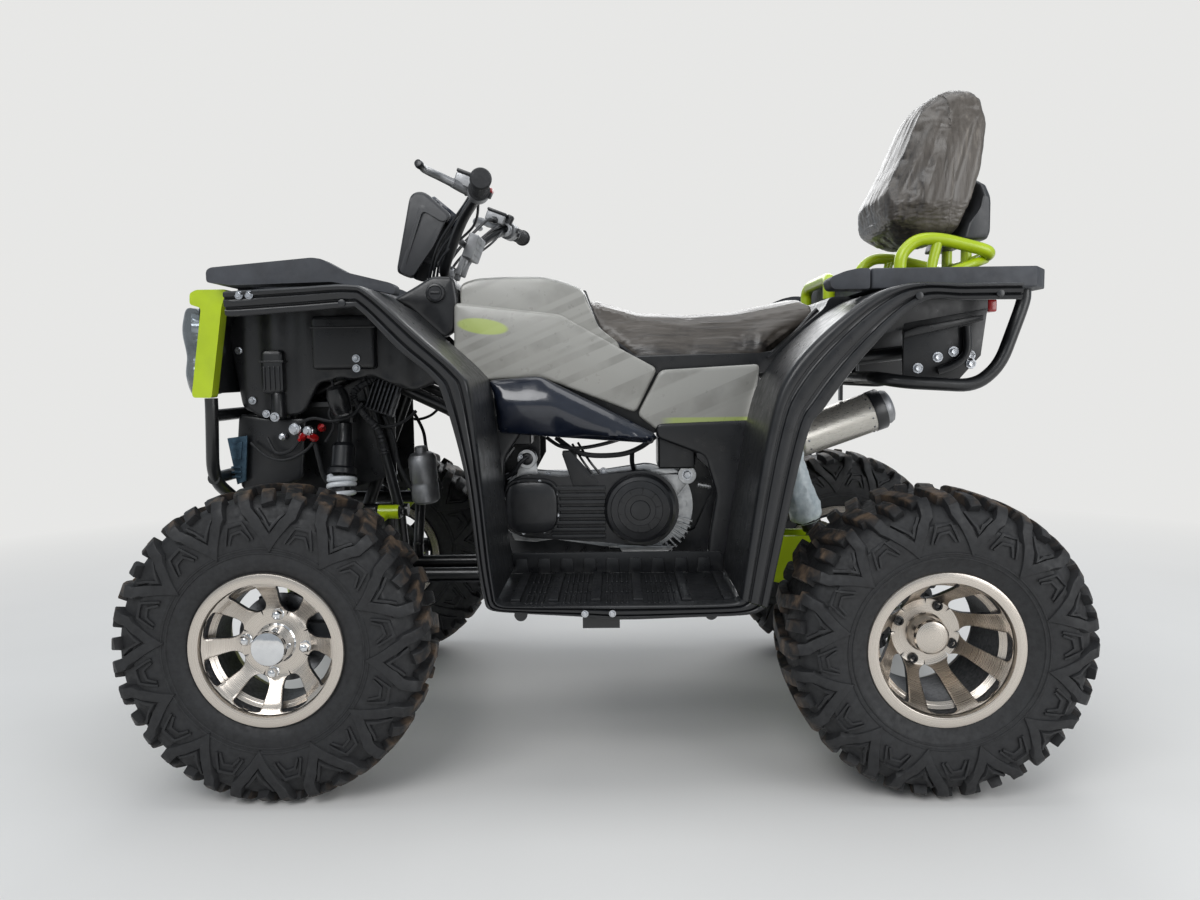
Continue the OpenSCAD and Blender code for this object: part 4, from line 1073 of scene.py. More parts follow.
# Pairs of points in millimetres: the flare's edge over the opening and its other edge.
FRONT_FLARE = [((661, 929), (661, 886)), ((640, 930), (638, 885)), ((530, 935), (522, 892)),
               ((440, 938), (442, 897)), ((401, 923), (420, 890)), ((318, 848), (355, 822)),
               ((247, 782), (300, 774)), ((228, 742), (277, 732)), ((212, 590), (242, 590)),
               ((199, 441), (224, 430)), ((190, 368), (214, 372))]
FLOOR_FLARE = [((190, 368), (214, 372)), ((180, 361), (204, 351)), ((150, 359), (152, 344)),
               ((41, 359), (41, 337)), ((-32, 359), (-32, 331)), ((-150, 359), (-150, 334)),
               ((-232, 361), (-262, 338)), ((-249, 368), (-298, 350))]
REAR_FLARE = [((-250, 368), (-300, 352)), ((-295, 654), (-364, 645)), ((-338, 778), (-400, 712)),
              ((-443, 882), (-480, 815)), ((-530, 924), (-566, 893)), ((-640, 925), (-645, 896)),
              ((-739, 925), (-739, 896))]

# Section of the flare: share of its width, and depth behind its outer face in millimetres.
FLARE_SECTION = [(0.0, 14), (0.012, 7), (0.05, 2.4), (0.10, 0.2), (0.19, 0), (0.235, 1.2),
                 (0.255, 5.2), (0.30, 6.4), (0.335, 5.4), (0.36, 2.2), (0.40, 1.2), (0.60, 2.6),
                 (0.635, 4.0), (0.655, 8.6), (0.70, 9.6), (0.735, 8.6), (0.76, 5.4), (0.80, 4.6),
                 (0.93, 5.6), (0.985, 7.6), (1.0, 11), (1.0, 15.4)]


def flare(build, pairs, y_out, y_in, skin=0.005):
    """Sweeps the flare and the sheet behind it along a pair of edges."""
    edge, far = (smooth_path([(x * MM, 0, z * MM) for x, z in line], 7) for line in zip(*pairs))
    last = len(edge) - 1
    rings = []
    for i, (p, q) in enumerate(zip(edge, far)):
        across = q - p
        inward = across.normalized()
        back = y_in(i / last) if callable(y_in) else y_in
        ring = [(p, back)] + [(p, back + (y_out - 0.03 - back) * t) for t in (0.35, 0.7, 0.94, 1.0)]
        ring += [(p + s * across, y_out - d * MM) for s, d in FLARE_SECTION]
        ring += [(p + 0.86 * across, y_out - 0.0156), (p + skin * inward + 0.12 * across, y_out - 0.016),
                 (p + skin * inward, y_out - 0.020)]
        ring += [(p + skin * inward, back + (y_out - 0.03 - back) * t) for t in (0.7, 0.35, 0.0)]
        rings.append(build.ring((v.x, y, v.z) for v, y in ring))
    build.loft(rings)


class QUAD_OT_fenders(bpy.types.Operator):
    """Moulds the fenders with their stepped flares, and the footwells between them"""

    bl_idname = "quad.fenders"
    bl_label = "Fenders and footwells"

    def execute(self, context):
        front = Build()
        flare(front, FRONT_FLARE, FENDER_Y, lambda t: NOSE_Y if t < 0.42 else PANEL_Y + 0.003)
        piece = front.piece("fenders_front", "black_plastic", mirror=True, sharp=38)
        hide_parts("front_fenders")
        rear = Build()
        flare(rear, REAR_FLARE, FENDER_Y, PANEL_Y + 0.002)
        piece = rear.piece("fenders_rear", "black_plastic", mirror=True, sharp=38)
        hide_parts("rear_fenders")
        floor = Build()
        flare(floor, FLOOR_FLARE, FENDER_Y - 0.001, 0.455, 0.004)
        y0, y1 = PANEL_Y + 0.001, 0.462
        floor.box((-0.256, y0, FLOOR_Z - 0.010), (0.204, y1, FLOOR_Z), 0.0015)
        # moulded ridges across the floor, and rows of grip ribs between them
        for x in (-0.232, -0.155, -0.066, 0.012, 0.090, 0.160):
            floor.box((x - 0.009, y0 + 0.02, FLOOR_Z - 0.002), (x + 0.009, y1 - 0.01, FLOOR_Z + 0.007), 0.002)
        for x0, x1 in ((-0.140, -0.081), (-0.051, -0.003), (0.027, 0.075), (0.105, 0.145)):
            count = round((x1 - x0) / 0.010)
            for i in range(count):
                x = x0 + (i + 0.5) * (x1 - x0) / count
                for y in (y0 + 0.03, y0 + 0.115, y0 + 0.2):
                    floor.box((x - 0.002, y, FLOOR_Z - 0.001), (x + 0.002, y + 0.07, FLOOR_Z + 0.004), 0.0007,
                              segments=1)
        piece = floor.piece("footwell_floors", "black_plastic", mirror=True, sharp=38)
        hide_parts("footwells")
        return {"FINISHED"}


# ---------------------------------------------------------------- moulded panels


def resampled(outline, step):
    """Closed outline with points no further apart than step."""
    out = []
    for i, p in enumerate(outline):
        q = outline[(i + 1) % len(outline)]
        n = max(1, math.ceil((q - p).length / step))
        out += [p.lerp(q, k / n) for k in range(n)]
    return out


def edge_distance(p, outline):
    """Distance from a point to a closed outline."""
    best = 1e9
    for i, a in enumerate(outline):
        b = outline[(i + 1) % len(outline)]
        ab = b - a
        t = max(0.0, min(1.0, (p - a).dot(ab) / max(ab.length_squared, 1e-12)))
        best = min(best, (a + t * ab - p).length)
    return best


def inside(p, outline):
    """Whether a point lies inside a closed outline."""
    odd = False
    for i, a in enumerate(outline):
        b = outline[(i + 1) % len(outline)]
        if (a.y > p.y) != (b.y > p.y) and p.x < (b.x - a.x) * (p.y - a.y) / (b.y - a.y) + a.x:
            odd = not odd
    return odd


PANEL_CORNER = 0.012                 # radius of a panel's corners
PANEL_STEP, PANEL_GRID = 0.009, 0.011    # facets round its edge and over its face
CROWN_REACH = 0.06                   # how far from the edge the crown is about full


def moulded_panel(build, points, y_edge, depth, crown=0.010, edge=0.006, relief=None):
    """Panel from a side-view outline in millimetres: rolled edge, crowned face and a back rim."""
    grid = PANEL_GRID
    ring = resampled([Vector(p) for p in rounded_outline(points, PANEL_CORNER)], PANEL_STEP)
    area = sum(a.x * b.y - b.x * a.y for a, b in zip(ring, ring[1:] + ring[:1]))
    if area < 0:
        ring.reverse()
    n = len(ring)
    pts = list(ring)
    for d in (0.15 * edge, 0.45 * edge, edge, 1.8 * edge):
        for i in range(n):
            along = (ring[(i + 1) % n] - ring[i - 1]).normalized()
            p = ring[i] + d * Vector((-along.y, along.x))
            if edge_distance(p, ring) > 0.93 * d and inside(p, ring):
                pts.append(p)
    x0, x1 = min(p.x for p in ring), max(p.x for p in ring)
    z0, z1 = min(p.y for p in ring), max(p.y for p in ring)
    for i in range(1, int((x1 - x0) / grid) + 1):
        for k in range(1, int((z1 - z0) / grid) + 1):
            p = Vector((x0 + i * grid + (k % 2) * grid / 2, z0 + k * grid))
            if inside(p, ring) and edge_distance(p, ring) > 2.6 * edge:
                pts.append(p)
    flat, _, faces, *_ = delaunay_2d_cdt(pts, [(i, (i + 1) % n) for i in range(n)], [], 1, 1e-7)
    verts = []
    for p in flat:
        d = edge_distance(p, ring)
        t = min(1.0, d / edge)
        y = y_edge - edge * (1 - math.sqrt(max(0.0, 1 - (1 - t) ** 2)))
        y += crown * (1 - math.exp(-d / CROWN_REACH))
        if relief:
            y += relief(p.x, p.y) * min(1.0, d / (2 * edge))
        verts.append(build.bm.verts.new((p.x, y, p.y)))
    for f in faces:
        build.bm.faces.new([verts[i] for i in f][::-1])
    rim = verts[:n]
    back = [build.bm.verts.new((v.co.x, y_edge - depth, v.co.z)) for v in rim]
    build.skin([rim, back])
    build.bm.faces.new(back)


UPPER_PANEL = [(305, 926), (86, 899), (-40, 826), (-116, 784), (-70, 692), (126, 768), (250, 765), (310, 748)]
REAR_PANEL = [(-122, 781), (-329, 791), (-313, 668), (-131, 661), (-119, 652), (-73, 688)]
LOWER_PANEL = [(236, 764), (129, 772), (-20, 697), (-113, 648), (-104, 629), (3, 637), (217, 654), (226, 740)]


class QUAD_OT_side_panels(bpy.types.Operator):
    """Moulds the grey side panels, the tank cover and the glossy lower panels"""

    bl_idname = "quad.side_panels"
    bl_label = "Side panels"

    def execute(self, context):
        sides = Build()
        moulded_panel(sides, UPPER_PANEL, PANEL_Y - 0.012, 0.022, crown=0.012, edge=0.005)
        moulded_panel(sides, REAR_PANEL, PANEL_Y - 0.012, 0.022, crown=0.010, edge=0.005)
        piece = sides.piece("panels_side", "grey_panel", mirror=True, sharp=40)
        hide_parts("side_panels")
        low = Build()

        def belly(x, z):
            """A rounded shoulder that runs down the panel from its front top to its rear tip."""
            ridge = 0.748 if x > 0.10 else 0.748 - (0.10 - x) * 0.50
            return 0.020 * math.exp(-(((z - ridge + 0.035) / 0.042) ** 2))

        moulded_panel(low, LOWER_PANEL, PANEL_Y + 0.008, 0.012, crown=0.006, edge=0.007, relief=belly)
        piece = low.piece("panels_lower", "gloss_black", mirror=True, sharp=45)
        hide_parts("lower_panels")
        tank = Build()
        half = PANEL_Y - 0.031
        top = [(296, 966), (262, 977), (210, 980), (120, 979), (78, 968), (37, 952), (6, 872), (-38, 838),
               (-40, 802), (80, 800), (294, 800)]
        ring = rounded_outline(top, 0.014)
        levels = [(-half, 0.014), (-half + 0.002, 0.006), (-half + 0.010, 0.0), (-half * 0.55, -0.004),
                  (0.0, -0.005), (half * 0.55, -0.004), (half - 0.010, 0.0), (half - 0.002, 0.006),
                  (half, 0.014)]
        middle = 0.13
        # each flank draws in and drops by its level, and the top swells in the middle
        tank.loft([tank.ring((x + (middle - x) * max(0.0, drop) * 1.2, y,
                              z - max(0.0, drop) * (0.9 if z > 0.9 else 0.0)
                              - min(0.0, drop) * (0.6 if z > 0.94 else 0.0)) for x, z in ring)
                   for y, drop in levels])
        piece = tank.piece("tank_top", "grey_panel", sharp=40)
        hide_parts("tank_cover")
        return {"FINISHED"}


# Cowl between the nose and the tank, with the key switch, and the walls behind the engine; the belly, hanger, tail
# and seam plates are dark plates that stand in for the shade inside the body.
COWL = [(436, 934), (388, 960), (352, 982), (306, 980), (298, 930), (306, 868), (330, 852), (401, 918)]
REAR_WALL = [(-112, 670), (-324, 676), (-306, 560), (-252, 357), (-216, 357), (-224, 440), (-238, 520),
             (-214, 600), (-112, 640)]
FRONT_WALL = [(236, 690), (160, 668), (206, 600), (214, 470), (196, 400), (176, 357), (196, 357), (222, 450),
              (232, 600)]
HANGER_SHADE_PLATE = [(140, 590), (140, 660), (244, 660), (240, 500), (190, 500), (168, 540)]
TAIL_SHADE_PLATE = [(-180, 380), (-262, 380), (-290, 620), (-190, 640), (-186, 560)]
SEAM_SHADE_PLATE = [(250, 792), (-320, 786), (-306, 676), (-112, 648), (0, 642), (216, 652), (236, 600), (248, 740)]
BELLY_SHADE_PLATE = [(216, 357), (222, 450), (214, 470), (150, 420), (-120, 400), (-200, 430), (-240, 520),
              (-226, 357)]


class QUAD_OT_cowl(bpy.types.Operator):
    """Moulds the black cowl with its key switch, and the inner walls of the footwells"""

    bl_idname = "quad.cowl"
    bl_label = "Cowl and inner walls"

    def execute(self, context):
        cowl = Build()
        moulded_panel(cowl, COWL, 0.178, 0.020, crown=0.012, edge=0.006)
        moulded_panel(cowl, REAR_WALL, PANEL_Y - 0.008, 0.012, crown=0.004, edge=0.006)
        moulded_panel(cowl, FRONT_WALL, PANEL_Y - 0.008, 0.012, crown=0.004, edge=0.006)
        # dark plates that stand in for the shade: low behind the belt case, beside its hangers, and behind the
        # panels' seams
        for outline, y in ((BELLY_SHADE_PLATE, 0.0905), (HANGER_SHADE_PLATE, 0.0860), (TAIL_SHADE_PLATE, 0.0700),
                           (SEAM_SHADE_PLATE, PANEL_Y - 0.046)):
            cowl.slab(mm(outline), y, y + 0.003)
        piece = cowl.piece("cowl_and_walls", "black_plastic", mirror=True, sharp=40)
        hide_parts("cowl")
        bridge = Build()
        bridge.slab(mm([(430, 936), (388, 956), (352, 978), (310, 976), (306, 955), (380, 935),
                        (420, 915)]), -0.165, 0.165, 0.006, 3)
        bridge.piece("cowl_bridge", "black_plastic")
        key = Build()
        x, y, z = 0.343, 0.1885, 0.946
        key.lathe((x, y, z), (0, 1, 0), [(0.020, -0.006), (0.020, 0.001), (0.0185, 0.004), (0.0150, 0.0052),
                                  (0.0135, 0.0035), (0.0, 0.0035)], 40)
        key.box((x - 0.010, y + 0.003, z - 0.0022), (x + 0.010, y + 0.006, z + 0.0022), 0.0008)
        key.piece("key_switch", "control_alloy")
        return {"FINISHED"}


# ---------------------------------------------------------------- nose, lamps and front bumper


class QUAD_OT_nose(bpy.types.Operator):
    """Moulds the nose, the headlights, the lime bumper plates and the front guard"""

    bl_idname = "quad.nose"
    bl_label = "Nose and bumper"

    def execute(self, context):
        x1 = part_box("nose")[1].x
        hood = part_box("nose")[1].z
        nose = Build()
        outline = [(x1 - 0.002, 0.745), (x1, 0.800), (x1, 0.915), (x1 - 0.026, hood), (0.440, hood),
                   (0.425, 0.930), (0.425, hood - 0.022), (x1 - 0.060, hood - 0.022), (x1 - 0.036, 0.880),
                   (x1 - 0.036, 0.745)]
        nose.slab(outline, -NOSE_Y, NOSE_Y, 0.006, 3)
        # grille bars between the lamps
        for z in (0.770, 0.800, 0.830, 0.860):
            nose.box((x1 - 0.004, -0.150, z), (x1 + 0.012, 0.150, z + 0.012), 0.003)
        nose.box((x1 - 0.004, -0.156, 0.890), (x1 + 0.020, 0.156, 0.912), 0.005)
        piece = nose.piece("nose_moulding", "black_plastic", sharp=35)
        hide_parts("nose")
        low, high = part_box("headlights")
        lens = Build()
        x0, y0, y1 = low.x, high.y - 0.102, high.y
        profile = [(0.000, low.z), (0.036, low.z), (0.050, low.z + 0.040), (0.046, low.z + 0.080),
                   (0.0535, low.z + 0.125), (0.050, low.z + 0.155), (0.038, high.z - 0.006),
                   (0.000, high.z - 0.012)]
        curve = smooth_path([(x0 + x, 0, z) for x, z in profile], 5)
        rows = []
        last = 12
        for j in range(last + 1):
            t = j / last
            bulge = math.sin(math.pi * t) ** 0.45 if 0 < t < 1 else 0.0
            rows.append([lens.bm.verts.new((x0 + (p.x - x0) * (0.16 + 0.84 * bulge), y0 + (y1 - y0) * t,
                                            p.z + (0.833 - p.z) * 0.06 * (1 - bulge))) for p in curve])
        for a, b in zip(rows, rows[1:]):
            for k in range(len(curve) - 1):
                lens.bm.faces.new((a[k], a[k + 1], b[k + 1], b[k]))
            lens.bm.faces.new((a[-1], a[0], b[0], b[-1]))
        lens.bm.faces.new(rows[0][::-1])
        lens.bm.faces.new(rows[-1])
        piece = lens.piece("headlight_lenses", "lamp_lens", mirror=True, sharp=50)
        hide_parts("headlights")
        bowls = Build()
        for z in (0.790, 0.878):
            bowls.lathe((x0 + 0.002, (y0 + y1) / 2, z), (1, 0, 0),
                        [(0.0, 0.0), (0.012, 0.001), (0.024, 0.008), (0.030, 0.018), (0.0315, 0.018),
                         (0.0315, -0.001), (0.0, -0.001)], 40)
        bowls.piece("headlight_bowls", "machined_alloy", material=chrome(), mirror=True)
        plate = Build()
        y = NOSE_Y + 0.0015
        post = [(735, 949.5), (795, 949.5), (808, 943), (809, 921), (787, 914), (813, 745),
                (811, 737.5), (774, 736.5), (746, 915)]
        plate.slab(rounded_outline(post, 0.005), y, y + 0.029, 0.004, 3)
        piece = plate.piece("bumper_plates", "lime_paint", mirror=True)
        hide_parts("front_bumper")
        guard = Build()
        gx0, gx1 = 0.781, 0.792
        y = NOSE_Y + 0.016
        side = rounded([(gx0, y, 0.7355), (gx0, y, 0.705), (gx1, y - 0.015, 0.570), (0.782, 0.110, 0.482),
                        (0.751, 0.110, 0.482)], 0.045, 7)
        guard.tube(side, 0.0127, 20)
        guard.tube([(p[0], -p[1], p[2]) for p in side], 0.0127, 20)
        guard.tube([(gx0 + 0.0008, -y, 0.700), (gx0 + 0.0008, y, 0.700)], 0.0125, 20)
        guard.tube([(gx1 - 0.001, -y + 0.016, 0.572), (gx1 - 0.001, y - 0.016, 0.572)], 0.0125, 20)
        piece = guard.piece("front_guard_tubes", "frame_paint")
        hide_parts("front_guard")
        return {"FINISHED"}


# ---------------------------------------------------------------- racks


class QUAD_OT_racks(bpy.types.Operator):
    """Moulds the luggage racks front and rear"""

    bl_idname = "quad.racks"
    bl_label = "Racks"

    def execute(self, context):
        front = Build()
        y1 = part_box("front_rack")[1].y
        rim = [(750, 958), (750, 980), (742, 986), (546, 1002), (527, 999), (480, 973), (396, 952),
               (388, 945), (390, 930), (509, 956), (700, 952)]
        for low, high in flanks(y1 - 0.041, y1):
            front.slab(rounded_outline(rim, 0.006, 3), low, high, 0.007, 3)
        deck_top = 0.978
        x0, x1 = 0.526, 0.746
        for x in (x0, x1 - 0.040):
            front.box((x, -y1 + 0.038, deck_top - 0.022), (x + 0.040, y1 - 0.038, deck_top), 0.006)
        for k in range(-4, 4):
            y = (k + 0.5) * 0.075
            half = 0.0155 if abs(k + 0.5) < 3.5 else 0.020
            front.box((x0 + 0.034, y - half, deck_top - 0.021), (x1 - 0.034, y + half, deck_top - 0.0005),
                      0.005)
        for y in (NOSE_Y - 0.045, -NOSE_Y + 0.045):
            for x in (x0 + 0.016, x1 - 0.016):
                front.lathe((x, y, 0.9445), (0, 0, 1), [(0.0, 0), (0.017, 0), (0.013, 0.006), (0.011, 0.014),
                                                        (0.0, 0.014)], 24)
        piece = front.piece("rack_front", "rack_plastic", sharp=30)
        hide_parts("front_rack")
        rear = Build()
        y1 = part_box("rear_rack")[1].y
        z0, z1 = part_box("rear_rack")[0].z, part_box("rear_rack")[1].z
        back, nose = -0.859, -0.507
        plan = [(nose, y1 - 0.060), (nose, -y1 + 0.060), (nose - 0.004, -y1 + 0.004), (nose - 0.012, -y1),
                (back + 0.040, -y1), (back, -y1 + 0.060), (back, y1 - 0.060), (back + 0.040, y1),
                (nose - 0.012, y1), (nose - 0.004, y1 - 0.004)]
        low = [rear.bm.verts.new((x, y, z0)) for x, y in plan]
        high = [rear.bm.verts.new((x, y, z1)) for x, y in plan]
        made = [rear.bm.faces.new(low[::-1]), rear.bm.faces.new(high)]
        made += [rear.bm.faces.new(wall)
                 for wall in zip(low, low[1:] + low[:1], high[1:] + high[:1], high)]
        rear.round(made, 0.008, 3)
        horn = [(-508, 927), (-508, 966), (-486, 966), (-462, 961), (-436, 951), (-432, 944), (-438, 928)]
        for low, high in flanks(y1 - 0.060, y1):
            rear.slab(rounded_outline(horn, 0.006, 3), low, high, 0.007, 3)
        # raised rails on the deck
        for k in range(-3, 4):
            rear.box((-0.845, k * 0.070 - 0.010, z1 - 0.004), (-0.604, k * 0.070 + 0.010, z1 - 0.0002),
                     0.0016)
        piece = rear.piece("rack_rear", "rack_plastic", sharp=30)
        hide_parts("rear_rack")
        return {"FINISHED"}


# ---------------------------------------------------------------- seat and backrest


def eased(t):
    """0 below 0, 1 above 1, and a soft S between."""
    t = max(0.0, min(1.0, t))
    return t * t * (3 - 2 * t)


VOXEL = 0.0055                       # mesh width of the cushions
CUSHION_PRESSURE = 4.0
LAST_FRAME = 20                      # of the cloth simulation


def stuffed(name, mesh, cap, hold):
    """Remeshes a form into even quads and blows it up like a foam-filled cover.

    No point moves further than cap, and points where hold() is true stay put.
    """
    form = bpy.data.objects.new(name + "_form", mesh)
    scene = bpy.context.scene
    scene.collection.objects.link(form)
    even = form.modifiers.new("even", "REMESH")
    even.mode = "VOXEL"
    even.voxel_size = VOXEL
    graph = bpy.context.evaluated_depsgraph_get()
    fine = bpy.data.meshes.new_from_object(form.evaluated_get(graph))
    form.modifiers.clear()
    form.data = fine
    held = form.vertex_groups.new(name="held")
    held.add([v.index for v in fine.vertices if hold(v.co)], 1.0, "REPLACE")
    cloth = form.modifiers.new("cloth", "CLOTH")
    cover = cloth.settings
    cover.quality = 4
    cover.mass = 0.25
    cover.use_pressure = True
    cover.uniform_pressure_force = CUSHION_PRESSURE
    cover.effector_weights.gravity = 0
    cover.tension_stiffness = cover.compression_stiffness = 12
    cover.bending_stiffness = 1.5
    cover.vertex_group_mass = "held"
    cloth.point_cache.frame_start, cloth.point_cache.frame_end = 1, LAST_FRAME
    start = [v.co.copy() for v in fine.vertices]
    for frame_number in range(1, LAST_FRAME + 1):
        scene.frame_set(frame_number)
    graph = bpy.context.evaluated_depsgraph_get()
    blown = form.evaluated_get(graph).data
    ends = [v.co.copy() for v in blown.vertices]
    form.modifiers.clear()
    scene.frame_set(1)
    for vert, a, b in zip(fine.vertices, start, ends):
        step = b - a
        if step.length > cap:
            step *= cap / step.length
        vert.co = a + step
    bpy.data.objects.remove(form)
    return fine


def subdivided(mesh):
    """One Catmull-Clark subdivision, applied."""
    holder = bpy.data.objects.new("holder", mesh)
    bpy.context.scene.collection.objects.link(holder)
    holder.modifiers.new("smooth", "SUBSURF").levels = 1
    graph = bpy.context.evaluated_depsgraph_get()
    out = bpy.data.meshes.new_from_object(holder.evaluated_get(graph))
    bpy.data.objects.remove(holder)
    return out


def creased(mesh, depth, flow, share):
    """Raises film creases along the flow: sharp ridges with slack hollows between them."""
    for vert, normal in [(v, v.normal.copy()) for v in mesh.vertices]:
        p = flow(vert.co)
        bend = noise.noise(p * 0.35) * 1.3
        p = Vector((p.x, p.y + bend, p.z + bend * 0.6))
        ridge = noise.ridged_multi_fractal(p, 0.95, 2.1, 4, 0.9, 1.9)
        slack = noise.noise(p * 0.5 + Vector((7.0, 3.0, 1.0)))
        vert.co += normal * (depth * share(vert.co) * (ridge * 0.55 - 0.62 + 0.25 * slack))


SEAT_SIDE = [(28, 945), (6, 927), (-80, 901), (-187, 895), (-292, 901), (-448, 932), (-452, 908), (-335, 806),
             (-122, 799), (-48, 806), (-36, 842), (6, 874)]
SEAT_WELT = [(36, 948), (6, 872), (-38, 834), (-118, 793), (-330, 800), (-452, 904)]


def seat_width(x):
    """Half the seat's width, narrow between the rider's knees."""
    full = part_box("seat")[1].y - 0.006
    return full * (0.80 + 0.20 * eased((0.04 - x) / 0.16))


def welt(build, side, width, radius):
    """Sewn-in welt along a side-view line, on both flanks."""
    line = smooth_path([(x * MM, 0, z * MM) for x, z in side], 8)
    for s in (1, -1):
        build.tube([(p.x, s * width(p.x), p.z) for p in line], radius, 8)


class QUAD_OT_seat(bpy.types.Operator):
    """Stuffs the seat, wraps it in film and sews the welt round its lower edge"""

    bl_idname = "quad.seat"
    bl_label = "Seat"

    def execute(self, context):
        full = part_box("seat")[1].y - 0.010
        form = Build()
        form.slab(mm(SEAT_SIDE), -full, full, 0.020, 3)
        mesh = stuffed("seat", form.mesh("seat_form"), sizes().puff,
                       lambda p: p.z < 0.806 or p.x > 0.015)
        for v in mesh.vertices:
            u = v.co.y / full
            # the top is narrower than the foot, and falls away towards both flanks
            line = (0.900 + 0.033 * eased((-0.29 - v.co.x) / 0.16)
                    + 0.045 * eased((v.co.x + 0.09) / 0.13))
            rise = max(0.0, min(1.0, (v.co.z - 0.80) / (line - 0.80)))
            v.co.y *= seat_width(v.co.x) / full * (1 - 0.20 * rise ** 2)
            v.co.z -= 0.016 * rise * u * u
        mesh = subdivided(mesh)

        def flow(p):
            # creases run along the seat, and dive down its flanks in front
            dive = 0.9 * eased((p.x + 0.22) / 0.2)
            across = abs(p.y) * 0.8 - p.z
            return Vector((p.x * 6, (across - dive * 0.35 * p.x) * 105, p.y * 8))

        creased(mesh, sizes().film_wrinkle * 0.75, flow,
                lambda p: 1.0 if p.z > 0.812 else max(0.0, (p.z - 0.80) / 0.012))
        seat = finished("seat_cushion", mesh, filmed_vinyl(), "chassis", 80)
        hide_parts("seat")
        edge = Build()
        welt(edge, SEAT_WELT, lambda x: seat_width(x) + 0.0035, 0.0048)
        edge.tube([(0.036, y, 0.948) for y in (-seat_width(0.036), 0.0, seat_width(0.036))], 0.0048, 8)
        # the seat's base shows between the cushion and the panels
        base = [(-0.440, 0.772), (-0.050, 0.772), (-0.040, 0.812), (-0.330, 0.814), (-0.440, 0.830)]
        edge.slab(base, -PANEL_Y + 0.036, PANEL_Y - 0.036, 0.004)
        edge.piece("seat_welt", "black_plastic")
        return {"FINISHED"}


PAD_SIDE = [(-664, 1048), (-596, 1068), (-590, 1124), (-638, 1214), (-679, 1314), (-718, 1368), (-747, 1378),
            (-798, 1368), (-808, 1293), (-792, 1188), (-772, 1130), (-748, 1052)]
SHELL_SIDE = [(-757, 1045), (-768, 1085), (-783, 1123), (-795, 1160), (-801, 1187), (-812, 1188),
              (-818, 1176), (-818, 1060), (-812, 1046)]


class QUAD_OT_backrest(bpy.types.Operator):
    """Stuffs the backrest in its film, and moulds the shell behind it"""

    bl_idname = "quad.backrest"
    bl_label = "Backrest"

    def execute(self, context):
        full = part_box("backrest_pad")[1].y - 0.008
        form = Build()
        form.slab(mm(PAD_SIDE), -full, full, 0.024, 3)
        mesh = stuffed("backrest", form.mesh("backrest_form"), sizes().puff,
                       lambda p: p.x < -0.70 - (p.z - 1.045) * 0.32)
        low, high = 1.045, 1.380
        for v in mesh.vertices:
            t = (v.co.z - low) / (high - low)
            u = v.co.y / full
            v.co.y *= 1 - 0.16 * eased((t - 0.35) / 0.65) - 0.05 * eased((0.25 - t) / 0.25)
            # round shoulders, and a face that curves back at its sides
            v.co.z -= 0.035 * eased((t - 0.6) / 0.4) * u ** 4 - 0.020 * eased((0.3 - t) / 0.3) * u ** 4
            v.co.x -= 0.018 * u * u * (1 if v.co.x > -0.72 else 0.3)
        mesh = subdivided(mesh)

        def flow(p):
            # the bag hangs in long folds from the top, and bunches where it is tucked in below
            bunch = eased((1.13 - p.z) / 0.08)
            return Vector(((p.x + 0.25 * p.z) * (52 + 14 * bunch), p.y * 48, p.z * (4 + 22 * bunch)))

        creased(mesh, sizes().film_wrinkle * 1.1, flow, lambda p: 1.0)
        pad = finished("backrest_cushion", mesh, bagged_vinyl(), "chassis", 80)
        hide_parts("backrest_pad")
        shell = Build()
        y1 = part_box("backrest_shell")[1].y
        outline = rounded_outline(SHELL_SIDE, 0.006, 3)
        rear = -0.787
        levels = [(-1.0, 0.72), (-0.985, 0.86), (-0.92, 0.96), (-0.8, 0.995), (-0.4, 1.0), (0.4, 1.0),
                  (0.8, 0.995), (0.92, 0.96), (0.985, 0.86), (1.0, 0.72)]
        rings = []
        for u, fill in levels:
            # the top corners are round in the rear view
            drop = 0.055 * max(0.0, abs(u) - 0.45) ** 2 / 0.3
            rings.append(shell.ring((rear + (x - rear) * fill - 0.006 * u * u, u * y1,
                                     z - drop * eased((z - 1.06) / 0.12) + (1 - fill) * 0.02)
                                    for x, z in outline))
        shell.loft(rings)
        piece = shell.piece("backrest_back", "rack_plastic", material=moulded_abs_shell(), sharp=50)
        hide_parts("backrest_shell")
        return {"FINISHED"}


# ---------------------------------------------------------------- rails, tail and tail lights


